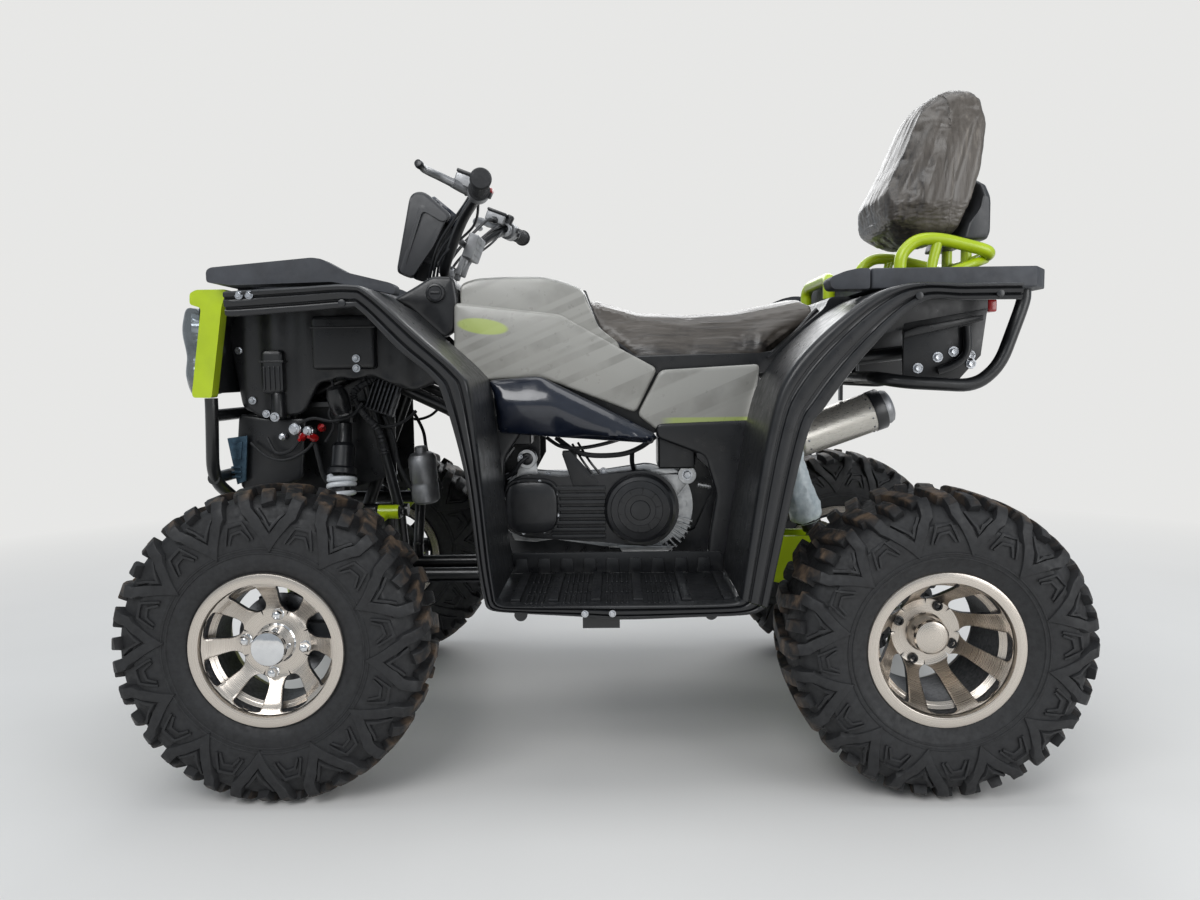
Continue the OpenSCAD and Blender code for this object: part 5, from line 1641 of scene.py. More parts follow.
class QUAD_OT_rails(bpy.types.Operator):
    """Bends the lime armrests and the hoop, and the black tail loop with its brackets and lights"""

    bl_idname = "quad.rails"
    bl_label = "Rails and tail"

    def execute(self, context):
        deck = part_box("rear_rack")[1].z
        rails = Build()
        y, r = 0.170, 0.0128
        half = [(-0.620, y, deck + 0.0005), (-0.620, y, 1.012), (-0.652, y, 1.043), (-0.700, y, 1.044),
                (-0.797, y, 1.019), (-0.8090, y - 0.012, 1.012), (-0.8090, 0.04, 1.004),
                (-0.8090, 0.0, 1.004)]
        run = rounded(half, 0.028, 7)
        rails.tube(run + [Vector((p.x, -p.y, p.z)) for p in run[-2::-1]], r, 22)
        for s in (1, -1):
            rails.tube(rounded([(-0.686, s * y, deck + 0.0005), (-0.684, s * y, 0.985),
                                (-0.697, s * y, 1.040)], 0.02), 0.0105, 18)
            rails.tube(rounded([(-0.806, s * (y - 0.03), 1.004), (-0.770, s * y, 0.992),
                                (-0.700, s * y, deck + 0.001)], 0.03), 0.0100, 18)
            rails.tube([(-0.796, s * 0.060, deck + 0.0005), (-0.796, s * 0.060, 1.0445)], 0.0115, 20)
        hoop = rounded([(-0.485, 0.120, 0.9275), (-0.485, 0.120, 0.958), (-0.489, 0.100, 0.972),
                        (-0.489, -0.100, 0.972), (-0.485, -0.120, 0.958), (-0.485, -0.120, 0.9275)], 0.02, 6)
        rails.tube(hoop, r, 22)
        # feet of the armrests, welded round the tubes
        for s in (1, -1):
            rails.lathe((-0.620, s * y, deck + 0.0005), (0, 0, 1),
                        [(0.0, 0), (0.022, 0), (0.022, 0.0035), (0.015, 0.006), (0.0128, 0.011),
                         (0.0, 0.011)], 28)
        piece = rails.piece("lime_rails", "lime_paint")
        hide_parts("grab_rails")
        tail = Build()
        half = [(-0.820, 0.300, 0.9265), (-0.820, 0.300, 0.905), (-0.777, 0.300, 0.782),
                (-0.730, 0.300, 0.742), (-0.594, 0.300, 0.751), (-0.545, 0.280, 0.760),
                (-0.545, 0.1245, 0.760)]
        for s in (1, -1):
            tail.tube(rounded([(x, s * yy, z) for x, yy, z in half], 0.035, 6), 0.0130, 20)
        piece = tail.piece("tail_loop", "frame_paint")
        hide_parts("rear_bumper")
        body = Build()
        outline = [(-340, 801), (-460, 905), (-468, 926), (-791, 926), (-791, 886), (-600, 854), (-480, 826)]
        body.slab(rounded_outline(outline, 0.010, 3), -PANEL_Y + 0.001, PANEL_Y - 0.001, 0.005, 3)
        # plate beside the tail, with the ribs of a moulded guard
        plate = mm([(-620, 870), (-791, 899), (-779, 802), (-735, 753), (-620, 753)])
        rib = mm([(-612, 838), (-640, 846), (-772, 872), (-772, 884), (-640, 862), (-612, 852)])
        for s, inner, outer in zip((1, -1), flanks(PANEL_Y - 0.012, PANEL_Y),
                                   flanks(PANEL_Y + 0.012, PANEL_Y + 0.030)):
            body.slab(plate, *inner, 0.003)
            body.slab(rib, *outer, 0.003)
            web = rounded([(-0.745, s * (PANEL_Y + 0.010), 0.862), (-0.748, s * (PANEL_Y + 0.012), 0.806),
                           (-0.720, s * (PANEL_Y + 0.012), 0.782),
                           (-0.688, s * (PANEL_Y + 0.008), 0.772)], 0.03)
            body.tube(web, 0.0085, 12)
        piece = body.piece("rear_body_moulding", "black_plastic", sharp=40)
        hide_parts("rear_body")
        low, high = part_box("tail_lights")
        lamps = Build()
        for s in (1, -1):
            inner, outer = sorted((s * 0.1405, s * 0.1955))
            lamps.box((low.x + 0.0005, inner, low.z + 0.001), (high.x, outer, high.z - 0.001), 0.005,
                      segments=4)
            for k in range(5):
                yy = s * (0.149 + 0.0095 * k)
                lamps.box((low.x, yy - 0.0012, low.z + 0.005),
                          (low.x + 0.004, yy + 0.0012, high.z - 0.005), 0.0005, segments=1)
        piece = lamps.piece("tail_lenses", "tail_lens")
        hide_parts("tail_lights")
        nuts = Build()
        for x, z in ((-722, 811), (-756, 803), (-690, 800), (-650, 778), (-758, 786)):
            nuts.bolt((x * MM, PANEL_Y + 0.0005, z * MM), (0, 1, 0), 0.013, 0.007)
        nuts.piece("tail_bolts", "axle_steel", material=zinc_plate(), mirror=True)
        return {"FINISHED"}


# ---------------------------------------------------------------- suspension


COIL_FACETS = 22                     # facets in each turn of a spring
END_PITCH = 0.7                      # how much closer a spring's end turns are drawn


def coil(build, foot, head, radius, wire, windings):
    """Compression spring from foot to head, its end turns drawn close together."""
    foot, head = Vector(foot), Vector(head)
    along = (head - foot).normalized()
    u = along.orthogonal().normalized()
    v = along.cross(u)
    length = (head - foot).length - 2 * wire
    path = []
    steps = int(windings * COIL_FACETS)
    for k in range(steps + 1):
        t = k / steps
        h = wire + length * (t - END_PITCH * math.sin(2 * math.pi * t) / (2 * math.pi))
        a = 2 * math.pi * windings * t
        path.append(foot + h * along + radius * (math.cos(a) * u + math.sin(a) * v))
    build.tube(path, wire, 12)


def damper(build, foot, head, eye_axis, eye_r, body_r, low, high, rod_r):
    """Shock absorber without its spring: eyes, body, rod and the spring's two seats."""
    foot, head = Vector(foot), Vector(head)
    line = head - foot
    length = line.length
    along = line.normalized()

    def part(profile):
        build.lathe(foot, along, [(r, h * length) for r, h in profile], 36)

    part([(0.0, 0.04), (body_r * 0.7, 0.04), (body_r, 0.055), (body_r, low - 0.030),
          (body_r * 1.1, low - 0.026), (body_r * 1.1, low - 0.012), (body_r * 1.55, low - 0.008),
          (body_r * 1.6, low), (body_r, low), (body_r, low + 0.24), (body_r * 0.82, low + 0.25),
          (rod_r, low + 0.25), (rod_r, high + 0.01), (body_r * 1.5, high + 0.012),
          (body_r * 1.6, high + 0.004), (body_r * 1.6, high), (body_r * 1.62, high + 0.025),
          (body_r * 0.9, high + 0.05), (body_r * 0.75, 0.96), (0.0, 0.965)])
    # threads of the spring's preload ring
    for k in range(9):
        h = low - 0.022 + 0.0035 * k
        part([(body_r, h), (body_r * 1.05, h + 0.0010), (body_r * 1.05, h + 0.0022), (body_r, h + 0.0032)])
    for at in (foot, head):
        axis = Vector(eye_axis)
        build.lathe(at, axis, [(0.006, -0.012), (eye_r - 0.001, -0.012), (eye_r, -0.011), (eye_r, 0.011),
                               (eye_r - 0.001, 0.012), (0.006, 0.012)], 36, True)


FRONT_SHOCK = ((0.562, 0.239, 0.290), (0.550, 0.152, 0.690))
REAR_SHOCK = ((-0.480, 0.0, 0.392), (-0.375, 0.0, 0.745))


def between(ends, t):
    """Point at a share t of the way between two ends."""
    return Vector(ends[0]).lerp(Vector(ends[1]), t)


class QUAD_OT_shocks(bpy.types.Operator):
    """Winds the springs and turns the shock absorbers, front and rear"""

    bl_idname = "quad.shocks"
    bl_label = "Shock absorbers"

    def execute(self, context):
        front = Build()
        damper(front, *FRONT_SHOCK, (1, 0, 0), 0.016, 0.019, 0.40, 0.70, 0.007)
        # sleeve over the upper end
        top = between(FRONT_SHOCK, 0.70)
        along = (Vector(FRONT_SHOCK[1]) - Vector(FRONT_SHOCK[0])).normalized()
        front.lathe(top, along, [(0.0, 0.0), (0.031, 0.0), (0.031, 0.006), (0.024, 0.012), (0.024, 0.058),
                                 (0.018, 0.066), (0.0, 0.066)], 32)
        dampers = front.piece("front_dampers", "frame_paint", material=satin_case_paint(), mirror=True)
        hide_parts("front_shocks")
        spring = Build()
        coil(spring, between(FRONT_SHOCK, 0.405), between(FRONT_SHOCK, 0.695), 0.0262, 0.0056, 7)
        spring.piece("front_springs", "spring_white", mirror=True)
        rear = Build()
        damper(rear, *REAR_SHOCK, (0, 1, 0), 0.016, 0.018, 0.12, 0.80, 0.007)
        piece = rear.piece("rear_damper", "shock_grey", material=satin_case_paint())
        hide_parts("rear_shock")
        spring = Build()
        coil(spring, between(REAR_SHOCK, 0.125), between(REAR_SHOCK, 0.795), 0.0245, 0.0052, 9)
        spring.piece("rear_spring", "shock_grey")
        return {"FINISHED"}


# ---------------------------------------------------------------- fittings under the nose


def cable(build, points, radius_mm):
    """Cable or hose through points in millimetres."""
    build.tube(smooth_path(mm(points), 7), radius_mm * MM, 8)


# Radius and route of each wire and hose under the nose, in millimetres.
WIRES = (
    (4.0, [(700, 206, 650), (680, 214, 620), (652, 214, 622), (630, 206, 648), (618, 200, 668)]),
    (3.2, [(735, 205, 640), (700, 214, 612), (660, 216, 604), (620, 210, 622), (596, 204, 650)]),
    (3.5, [(640, 206, 676), (600, 214, 690), (560, 214, 684), (520, 206, 696), (500, 200, 720)]),
    (3.0, [(560, 206, 768), (552, 214, 730), (566, 214, 700), (560, 206, 672), (580, 200, 640)]),
    (5.0, [(602, 203, 640), (596, 196, 600), (590, 180, 560), (560, 160, 520), (520, 140, 490)]),
    (4.2, [(470, 140, 690), (448, 150, 640), (440, 150, 590), (420, 140, 540), (400, 120, 500)]),
    (3.4, [(505, 140, 690), (470, 156, 668), (430, 150, 676), (400, 140, 700)]),
)
SLEEVE = [(482, 176, 770), (520, 190, 740), (500, 196, 700), (470, 186, 660), (462, 170, 610)]
ARCH_LINER = [(768, 938), (470, 940), (440, 925), (402, 890), (330, 818), (340, 760), (400, 742),
              (470, 772), (588, 764), (622, 700), (700, 688), (752, 712), (776, 860)]
FRONT_LINER = [(700, 690), (622, 690), (636, 560), (700, 536), (768, 540), (772, 640), (766, 700)]


class QUAD_OT_under_nose(bpy.types.Operator):
    """Fills the space under the front rack: liners, boxes, relay, regulator and wiring"""

    bl_idname = "quad.under_nose"
    bl_label = "Under the nose"

    def execute(self, context):
        liner = Build()
        y = 0.199

        def flutes(x, z):
            return 0.003 * math.sin(x * 95)

        moulded_panel(liner, ARCH_LINER, y, 0.006, crown=0.004, edge=0.006, relief=flutes)
        moulded_panel(liner, FRONT_LINER, y - 0.012, 0.006, crown=0.004, edge=0.005)
        liner.piece("fender_liners", "black_plastic", mirror=True, sharp=40)
        box = Build()
        # air box and fuse box, each with a lid, a seam and ribs
        for low, high, ribs in (((0.462, 0.202, 0.790), (0.592, 0.232, 0.900), 0),
                                ((0.655, 0.200, 0.742), (0.702, 0.224, 0.832), 4)):
            box.box(low, high, 0.010, segments=4)
            box.box((low[0] - 0.002, low[1], high[2] - 0.026),
                    (high[0] + 0.002, high[1] + 0.002, high[2] - 0.022), 0.0012)
            for k in range(ribs):
                x = low[0] + (k + 0.8) * (high[0] - low[0]) / (ribs + 0.6)
                box.box((x - 0.002, high[1] - 0.001, low[2] + 0.008),
                        (x + 0.002, high[1] + 0.003, high[2] - 0.034), 0.001)
        box.lathe((0.672, 0.208, 0.690), (0, 0, 1), [(0.0, 0.0), (0.012, 0.0), (0.015, 0.004), (0.015, 0.05),
                                                     (0.013, 0.054), (0.0, 0.054)], 28)
        box.lathe((0.535, 0.222, 0.700), (0.2, 0.3, 1),
                  [(0.0, 0.0), (0.018, 0.002), (0.021, 0.012), (0.022, 0.040), (0.016, 0.056),
                   (0.0, 0.058)], 32)
        box.piece("boxes_under_rack", "black_plastic", mirror=True)
        metal = Build()
        # regulator with cooling fins, tilted along the frame tube
        turn = Matrix.Translation((0.462, 0.150, 0.742)) @ Matrix.Rotation(math.radians(-20), 4, "Y")
        metal.box((-0.030, -0.014, -0.048), (0.030, 0.002, 0.048), 0.002, turn)
        for k in range(7):
            x = -0.026 + k * 0.0087
            metal.box((x - 0.0016, 0.0, -0.044), (x + 0.0016, 0.020, 0.044), 0.0008, turn)
        metal.piece("regulator", "case_black", material=cast_alloy_dark())
        alloy = Build()
        for at, axis, r, h in (((0.640, 0.196, 0.668), (0, 1, 0), 0.0130, 0.022),
                               ((0.608, 0.198, 0.664), (0.2, 1, 0), 0.0110, 0.026),
                               ((0.668, 0.194, 0.652), (0, 1, 0), 0.0075, 0.020)):
            alloy.lathe(at, axis, [(0.0, 0), (r, 0), (r, h * 0.6), (r * 0.86, h * 0.66), (r * 0.86, h * 0.8),
                                   (r * 0.5, h * 0.84), (r * 0.5, h), (0.0, h)], 24)
        for x, z in ((0.752, 0.832), (0.5, 0.812), (0.728, 0.728), (0.700, 0.700), (0.5, 0.792)):
            alloy.bolt((x, 0.2335 if x == 0.5 else 0.2045, z), (0, 1, 0), 0.010, 0.005)
        alloy.bolt((0.676, 0.222, 0.694), (0, 1, 0), 0.012, 0.006)
        alloy.piece("relay_and_bolts", "axle_steel", material=zinc_plate(), mirror=True)
        boots = Build()
        for at, axis in (((0.622, 0.206, 0.654), (0.1, 1, -0.3)), ((0.598, 0.206, 0.648), (0.3, 1, 0.2)),
                         ((0.586, 0.204, 0.668), (-0.4, 1, 0.3))):
            boots.lathe(at, axis, [(0.0, 0), (0.0075, 0.0), (0.0085, 0.004), (0.0085, 0.012), (0.005, 0.018),
                                   (0.0035, 0.026), (0.0, 0.026)], 20)
        boots.piece("terminal_boots", "tail_lens", material=red_acrylic())
        plate = Build()
        plate.slab(mm([(785, 650), (742, 655), (749, 560), (768, 552)]), 0.200, 0.206, 0.002)
        plate.slab(mm([(778, 640), (752, 642), (756, 606), (774, 604)]), 0.204, 0.209, 0.0015)
        for k in range(3):
            plate.box((0.757, 0.203, 0.566 + 0.010 * k), (0.778, 0.209, 0.571 + 0.010 * k), 0.001)
        plate.piece("guard_plate", "gloss_black", material=blue_steel(), mirror=True)
        wires = Build()
        for s in (1, -1):
            for r, points in WIRES:
                cable(wires, [(x, s * yy, z) for x, yy, z in points], r)
        # corrugated sleeve
        line = smooth_path(mm(SLEEVE), 14)
        wires.tube(line, lambda t: 0.0072 + 0.0012 * math.sin(t * 2 * math.pi * 24), 14)
        wires.piece("wiring", "grip_rubber", material=moulded_grip())
        tank = Build()
        tank.lathe((0.388, 0.120, 0.500), (0.05, 0.12, 1),
                   [(0.0, 0.0), (0.024, 0.0), (0.030, 0.006), (0.030, 0.040), (0.0285, 0.043),
                    (0.0285, 0.049), (0.030, 0.052), (0.030, 0.098), (0.024, 0.108), (0.012, 0.112),
                    (0.012, 0.124), (0.0, 0.124)], 36)
        tank.piece("coolant_canister", "cast_alloy", material=cast_alloy())
        return {"FINISHED"}


# ---------------------------------------------------------------- engine, belt case and exhaust

CVT_FRONT = (0.1535, 0.4925)         # centres of the two covers in the side view
CVT_REAR = (-0.0780, 0.4860)
SPROCKET = Vector((-0.090, 0.495))   # centre of the engine's sprocket in the side view
SPROCKET_TEETH = 13


# Radius and route of each hose over the belt case, in millimetres.
HOSES = (
    (5.5, [(100, 150, 640), (60, 160, 612), (20, 165, 602), (-40, 165, 604), (-80, 160, 618),
           (-112, 150, 640)]),
    (5.0, [(-62, 160, 606), (-62, 150, 585), (-66, 130, 566)]),
    (2.6, [(66, 140, 625), (44, 150, 590), (24, 150, 562)]),
    (2.6, [(54, 140, 628), (30, 150, 590), (8, 150, 562)]),
    (4.5, [(190, 150, 620), (214, 160, 585), (228, 150, 540), (220, 130, 480)]),
    (4.0, [(120, 150, 640), (90, 160, 622), (50, 165, 618), (0, 168, 626), (-50, 165, 640)]),
)
HANGER_HOSE = [(215, 150, 552), (190, 160, 568), (176, 164, 588), (160, 160, 600)]


def disc_points(centre, radius, start, end, count):
    """Points of an arc in the side view, angles in degrees from straight ahead."""
    return [(centre[0] + radius * math.cos(math.radians(a)), centre[1] + radius * math.sin(math.radians(a)))
            for a in (start + (end - start) * k / max(count - 1, 1) for k in range(count))]


class QUAD_OT_belt_case(bpy.types.Operator):
    """Casts the belt-drive case with its covers, ribs and hangers"""

    bl_idname = "quad.belt_case"
    bl_label = "Belt case"

    def execute(self, context):
        case = Build()
        body = (disc_points(CVT_FRONT, 0.070, -80, 95, 16) + [(0.090, 0.5560), (0.010, 0.5600)]
                + disc_points(CVT_REAR, 0.0835, 95, 262, 18) + [(0.010, 0.414), (0.090, 0.420)])
        case.slab(body, 0.1080, 0.1560, 0.004, 3)
        # ribbed middle between the covers
        for k in range(8):
            z = 0.4230 + 0.0148 * k
            case.slab([(0.112, z), (-0.004, z), (-0.004, z + 0.0092), (0.112, z + 0.0092)], 0.150, 0.1640,
                      0.0022)
        # front cover: a rounded square with a crowned face
        x0, z0 = CVT_FRONT
        steps = [(1.09, 0.150), (1.09, 0.1600), (1.055, 0.1622), (1.0, 0.1624), (0.985, 0.1710),
                 (0.95, 0.1750), (0.86, 0.1772), (0.55, 0.1790), (0.0, 0.1795)]
        half, power = 0.0565, 3.4        # of the rounded square
        square = []
        for a in turns(64):
            c, s = math.cos(a), math.sin(a)
            r = half / (abs(c) ** power + abs(s) ** power) ** (1 / power)
            square.append((r * c, r * s))
        case.skin([case.ring((x0 + scale * x, y, z0 + scale * z) for x, z in square)
                   for scale, y in steps[:-1]] + [case.ring([(x0, steps[-1][1], z0)])])
        # rear cover: a stepped dome
        case.lathe((CVT_REAR[0], 0, CVT_REAR[1]), (0, 1, 0),
                   [(0.0750, 0.150), (0.0770, 0.152), (0.0770, 0.160), (0.0745, 0.1625), (0.0735, 0.1720),
                    (0.0700, 0.1765), (0.0630, 0.1782), (0.0615, 0.1800), (0.0480, 0.1815), (0.0470, 0.1832),
                    (0.0330, 0.1838), (0.0322, 0.1822), (0.0215, 0.1820), (0.0200, 0.1842), (0.0120, 0.1846),
                    (0.0, 0.1846)], 72)
        for k in range(10):
            a = 2 * math.pi * (k + 0.3) / 10
            turn = Matrix.Translation((CVT_REAR[0], 0, CVT_REAR[1])) @ Matrix.Rotation(a, 4, "Y")
            case.box((0.0345, 0.178, -0.0010), (0.0465, 0.1838, 0.0010), 0.0005, turn, 1)
        piece = case.piece("belt_case_black", "case_black", sharp=30)
        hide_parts("cvt_case")
        screws = Build()
        for a in range(18, 360, 45):
            r = 0.0585 if a % 90 else 0.066
            (x, z), = disc_points(CVT_FRONT, r, a, a, 1)
            screws.bolt((x, 0.1622, z), (0, 1, 0), 0.0075, 0.004, False)
        screws.piece("belt_case_screws", "axle_steel", material=zinc_plate())
        cast = Build()
        # the gearcase's bright edge round the covers
        back = (disc_points(CVT_FRONT, 0.0745, 40, 95, 8) + [(0.090, 0.5615), (0.010, 0.5645)]
                + disc_points((-0.086, 0.486), 0.0930, 92, 268, 26) + [(-0.010, 0.3950), (0.012, 0.4030)]
                + disc_points(CVT_FRONT, 0.0800, -115, -30, 10))
        cast.slab(back, 0.0940, 0.1200, 0.003, 2)
        arc = (disc_points((-0.075, 0.486), 0.1190, 130, 222, 18)
               + disc_points((-0.075, 0.486), 0.0900, 222, 130, 18))
        cast.slab(arc, 0.0900, 0.1120, 0.003, 2)
        for k in range(9):
            a = math.radians(196 + 6.2 * k)
            turn = (Matrix.Translation((-0.075, 0.0, 0.486)) @ Matrix.Rotation(-a, 4, "Y"))
            cast.box((0.090, 0.104, -0.0018), (0.1215, 0.1240, 0.0018), 0.0008, turn, 1)
        cast.slab([(-0.028, 0.402), (-0.040, 0.3850), (-0.136, 0.3850), (-0.156, 0.3990)], 0.094, 0.128,
                  0.003)
        cast.slab([(0.205, 0.436), (0.196, 0.414), (0.150, 0.410), (0.108, 0.416), (0.100, 0.430)], 0.092,
                  0.128, 0.004)
        # hangers: an eye over each end of the case
        for (x, z), foot, r in (((0.164, 0.594), [(0.190, 0.545), (0.140, 0.550)], 0.020),
                                ((-0.180, 0.556), [(-0.150, 0.500), (-0.110, 0.560)], 0.019)):
            cast.lathe((x, 0.118, z), (0, 1, 0),
                       [(0.012, 0.0), (r, 0.0), (r + 0.001, 0.003), (r + 0.001, 0.023), (r, 0.026),
                        (0.012, 0.026)], 32, True)
            (ax, az), (bx, bz) = foot
            cast.slab([(x - r * 0.9, z), (ax, az), (bx, bz), (x + r * 0.9, z)] if x < 0 else
                      [(x + r * 0.9, z), (ax, az), (bx, bz), (x - r * 0.9, z)], 0.122, 0.136, 0.003)
        # pierced web on the rear hanger
        cast.slab([(-0.100, 0.566), (-0.150, 0.572), (-0.165, 0.560), (-0.118, 0.556)], 0.124, 0.134, 0.002)
        cast.tube(mm([(-205, 126, 533), (-232, 126, 528)]), 0.004, 12)
        for k in range(5):
            cast.lathe((-0.204 - 0.0055 * k, 0.126, 0.533 - 0.001 * k), (-1, 0, -0.18),
                       [(0.0, 0.0), (0.0062, 0.0), (0.0062, 0.0028), (0.0, 0.0028)], 12)
        cast.piece("gearcase_edge", "cast_alloy", material=die_cast_bright(), sharp=35)
        fixings = Build()
        fixings.bolt((-0.180, 0.140, 0.556), (0, 1, 0), 0.015, 0.008)
        fixings.bolt((0.176, 0.158, 0.600), (0, 1, 0), 0.006, 0.004)
        for x, z in ((0.206, 0.556), (0.120, 0.556), (0.100, 0.548), (0.0, 0.5650), (0.092, 0.437)):
            fixings.bolt((x, 0.128, z), (0, 1, 0), 0.009, 0.005)
        fixings.piece("gearcase_bolts", "axle_steel", material=zinc_plate())
        dark = Build()
        dark.lathe((0.164, 0.120, 0.594), (0, 1, 0),
                   [(0.0, 0.0), (0.0135, 0.0), (0.0135, 0.024), (0.009, 0.027), (0.0, 0.027)], 24)
        # black stay across the gap, the filter box and the boxes beside it
        dark.slab([(0.088, 0.606), (0.070, 0.612), (0.010, 0.545), (0.014, 0.528), (0.062, 0.528)], 0.150,
                  0.158, 0.002)
        dark.slab([(0.088, 0.610), (0.058, 0.610), (0.056, 0.594), (0.082, 0.588)], 0.120, 0.152, 0.003)
        dark.box((-0.196, 0.070, 0.572), (-0.116, 0.176, 0.650), 0.010, segments=3)
        dark.box((0.150, 0.060, 0.626), (0.214, 0.180, 0.668), 0.008, segments=3)
        dark.slab([(0.216, 0.610), (0.212, 0.520), (0.236, 0.470), (0.236, 0.640)], 0.100, 0.185, 0.006)
        dark.slab([(-0.196, 0.596), (-0.236, 0.560), (-0.250, 0.600), (-0.236, 0.655), (-0.190, 0.655)],
                  0.10, 0.19, 0.008)
        for r, points in HOSES:
            cable(dark, points, r)
        dark.tube(smooth_path(mm(HANGER_HOSE), 6), 0.0045, 10)
        dark.piece("stay_and_hoses", "case_black", material=moulded_polypropylene(), sharp=35)
        # kerb that closes the gap between the footwell and the engine
        kerb = Build()
        kerb.slab([(-0.252, 0.356), (0.202, 0.356), (0.196, 0.394), (0.190, 0.400), (-0.244, 0.400),
                   (-0.250, 0.394)], 0.190, 0.1985, 0.002)
        for k in range(9):
            x = -0.225 + 0.048 * k
            kerb.slab([(x, 0.357), (x + 0.030, 0.357), (x + 0.027, 0.388), (x + 0.003, 0.388)], 0.196,
                      0.2025, 0.002)
        kerb.piece("footwell_kerb", "black_plastic", mirror=True)
        return {"FINISHED"}


class QUAD_OT_engine(bpy.types.Operator):
    """Casts the engine block with its cylinder, fins and covers"""

    bl_idname = "quad.engine"
    bl_label = "Engine"

    def execute(self, context):
        block = Build()
        case = [(190, 411), (190, 520), (168, 545), (-96, 545), (-130, 505), (-130, 440), (-104, 411)]
        block.slab(rounded_outline(case, 0.02), -0.095, 0.090, 0.006, 3)
        block.slab(mm([(-118, 400.5), (213, 400.5), (205, 412), (-110, 412)]), -0.060, 0.060, 0.003)
        for y0, y1 in flanks(0.058, 0.086):
            for x in (-0.110, 0.170):
                block.box((x, y0, 0.4005), (x + 0.030, y1, 0.412), 0.002)
        # ignition cover on the right, ringed with screws
        block.lathe((0.045, -0.094, 0.478), (0, -1, 0),
                    [(0.062, 0.0), (0.062, 0.010), (0.058, 0.016), (0.040, 0.022), (0.036, 0.028),
                     (0.0, 0.030)], 56)
        for k in range(8):
            a = math.radians(45 * k + 10)
            block.bolt((0.045 + 0.068 * math.cos(a), -0.0948, 0.478 + 0.052 * math.sin(a)), (0, -1, 0),
                       0.008, 0.005)
        # cylinder with cooling fins, and its head
        along = Vector((0.111, 0, 0.020)).normalized()
        start = Vector((0.186, 0, 0.500))
        block.lathe(start, along, [(0.0, 0.0), (0.040, 0.0), (0.040, 0.088), (0.051, 0.088), (0.051, 0.094),
                                   (0.046, 0.098), (0.046, 0.110), (0.036, 0.1145), (0.0, 0.1145)], 40)
        for k in range(9):
            h = 0.006 + 0.0088 * k
            block.lathe(start, along, [(0.0, h), (0.0500, h), (0.0515, h + 0.0014), (0.0500, h + 0.0030),
                                       (0.0, h + 0.0030)], 40)
        block.box((0.236, -0.026, 0.4465), (0.288, 0.026, 0.476), 0.005)
        # output shaft for the chain
        block.lathe((-0.052, -0.094, 0.478), (0, -1, 0),
                    [(0.030, 0.0), (0.030, 0.010), (0.020, 0.014), (0.0, 0.014)], 32)
        block.lathe((SPROCKET.x, -0.094, SPROCKET.y), (0, -1, 0),
                    [(0.014, 0.0), (0.014, 0.028), (0.010, 0.030), (0.0, 0.030)], 32)
        teeth = []
        for k in range(SPROCKET_TEETH):
            for share, r in ((0.0, 0.0350), (0.22, 0.0352), (0.40, 0.0400), (0.60, 0.0400), (0.78, 0.0352)):
                a = 2 * math.pi * (k + share) / SPROCKET_TEETH
                teeth.append((SPROCKET.x + r * math.cos(a), SPROCKET.y + r * math.sin(a)))
        block.slab(teeth, -0.1205, -0.1155)
        piece = block.piece("engine_castings", "cast_alloy", sharp=32)
        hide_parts("engine")
        return {"FINISHED"}


MUFFLER = ((-0.480, -0.250, 0.600), (-0.705, -0.250, 0.678))


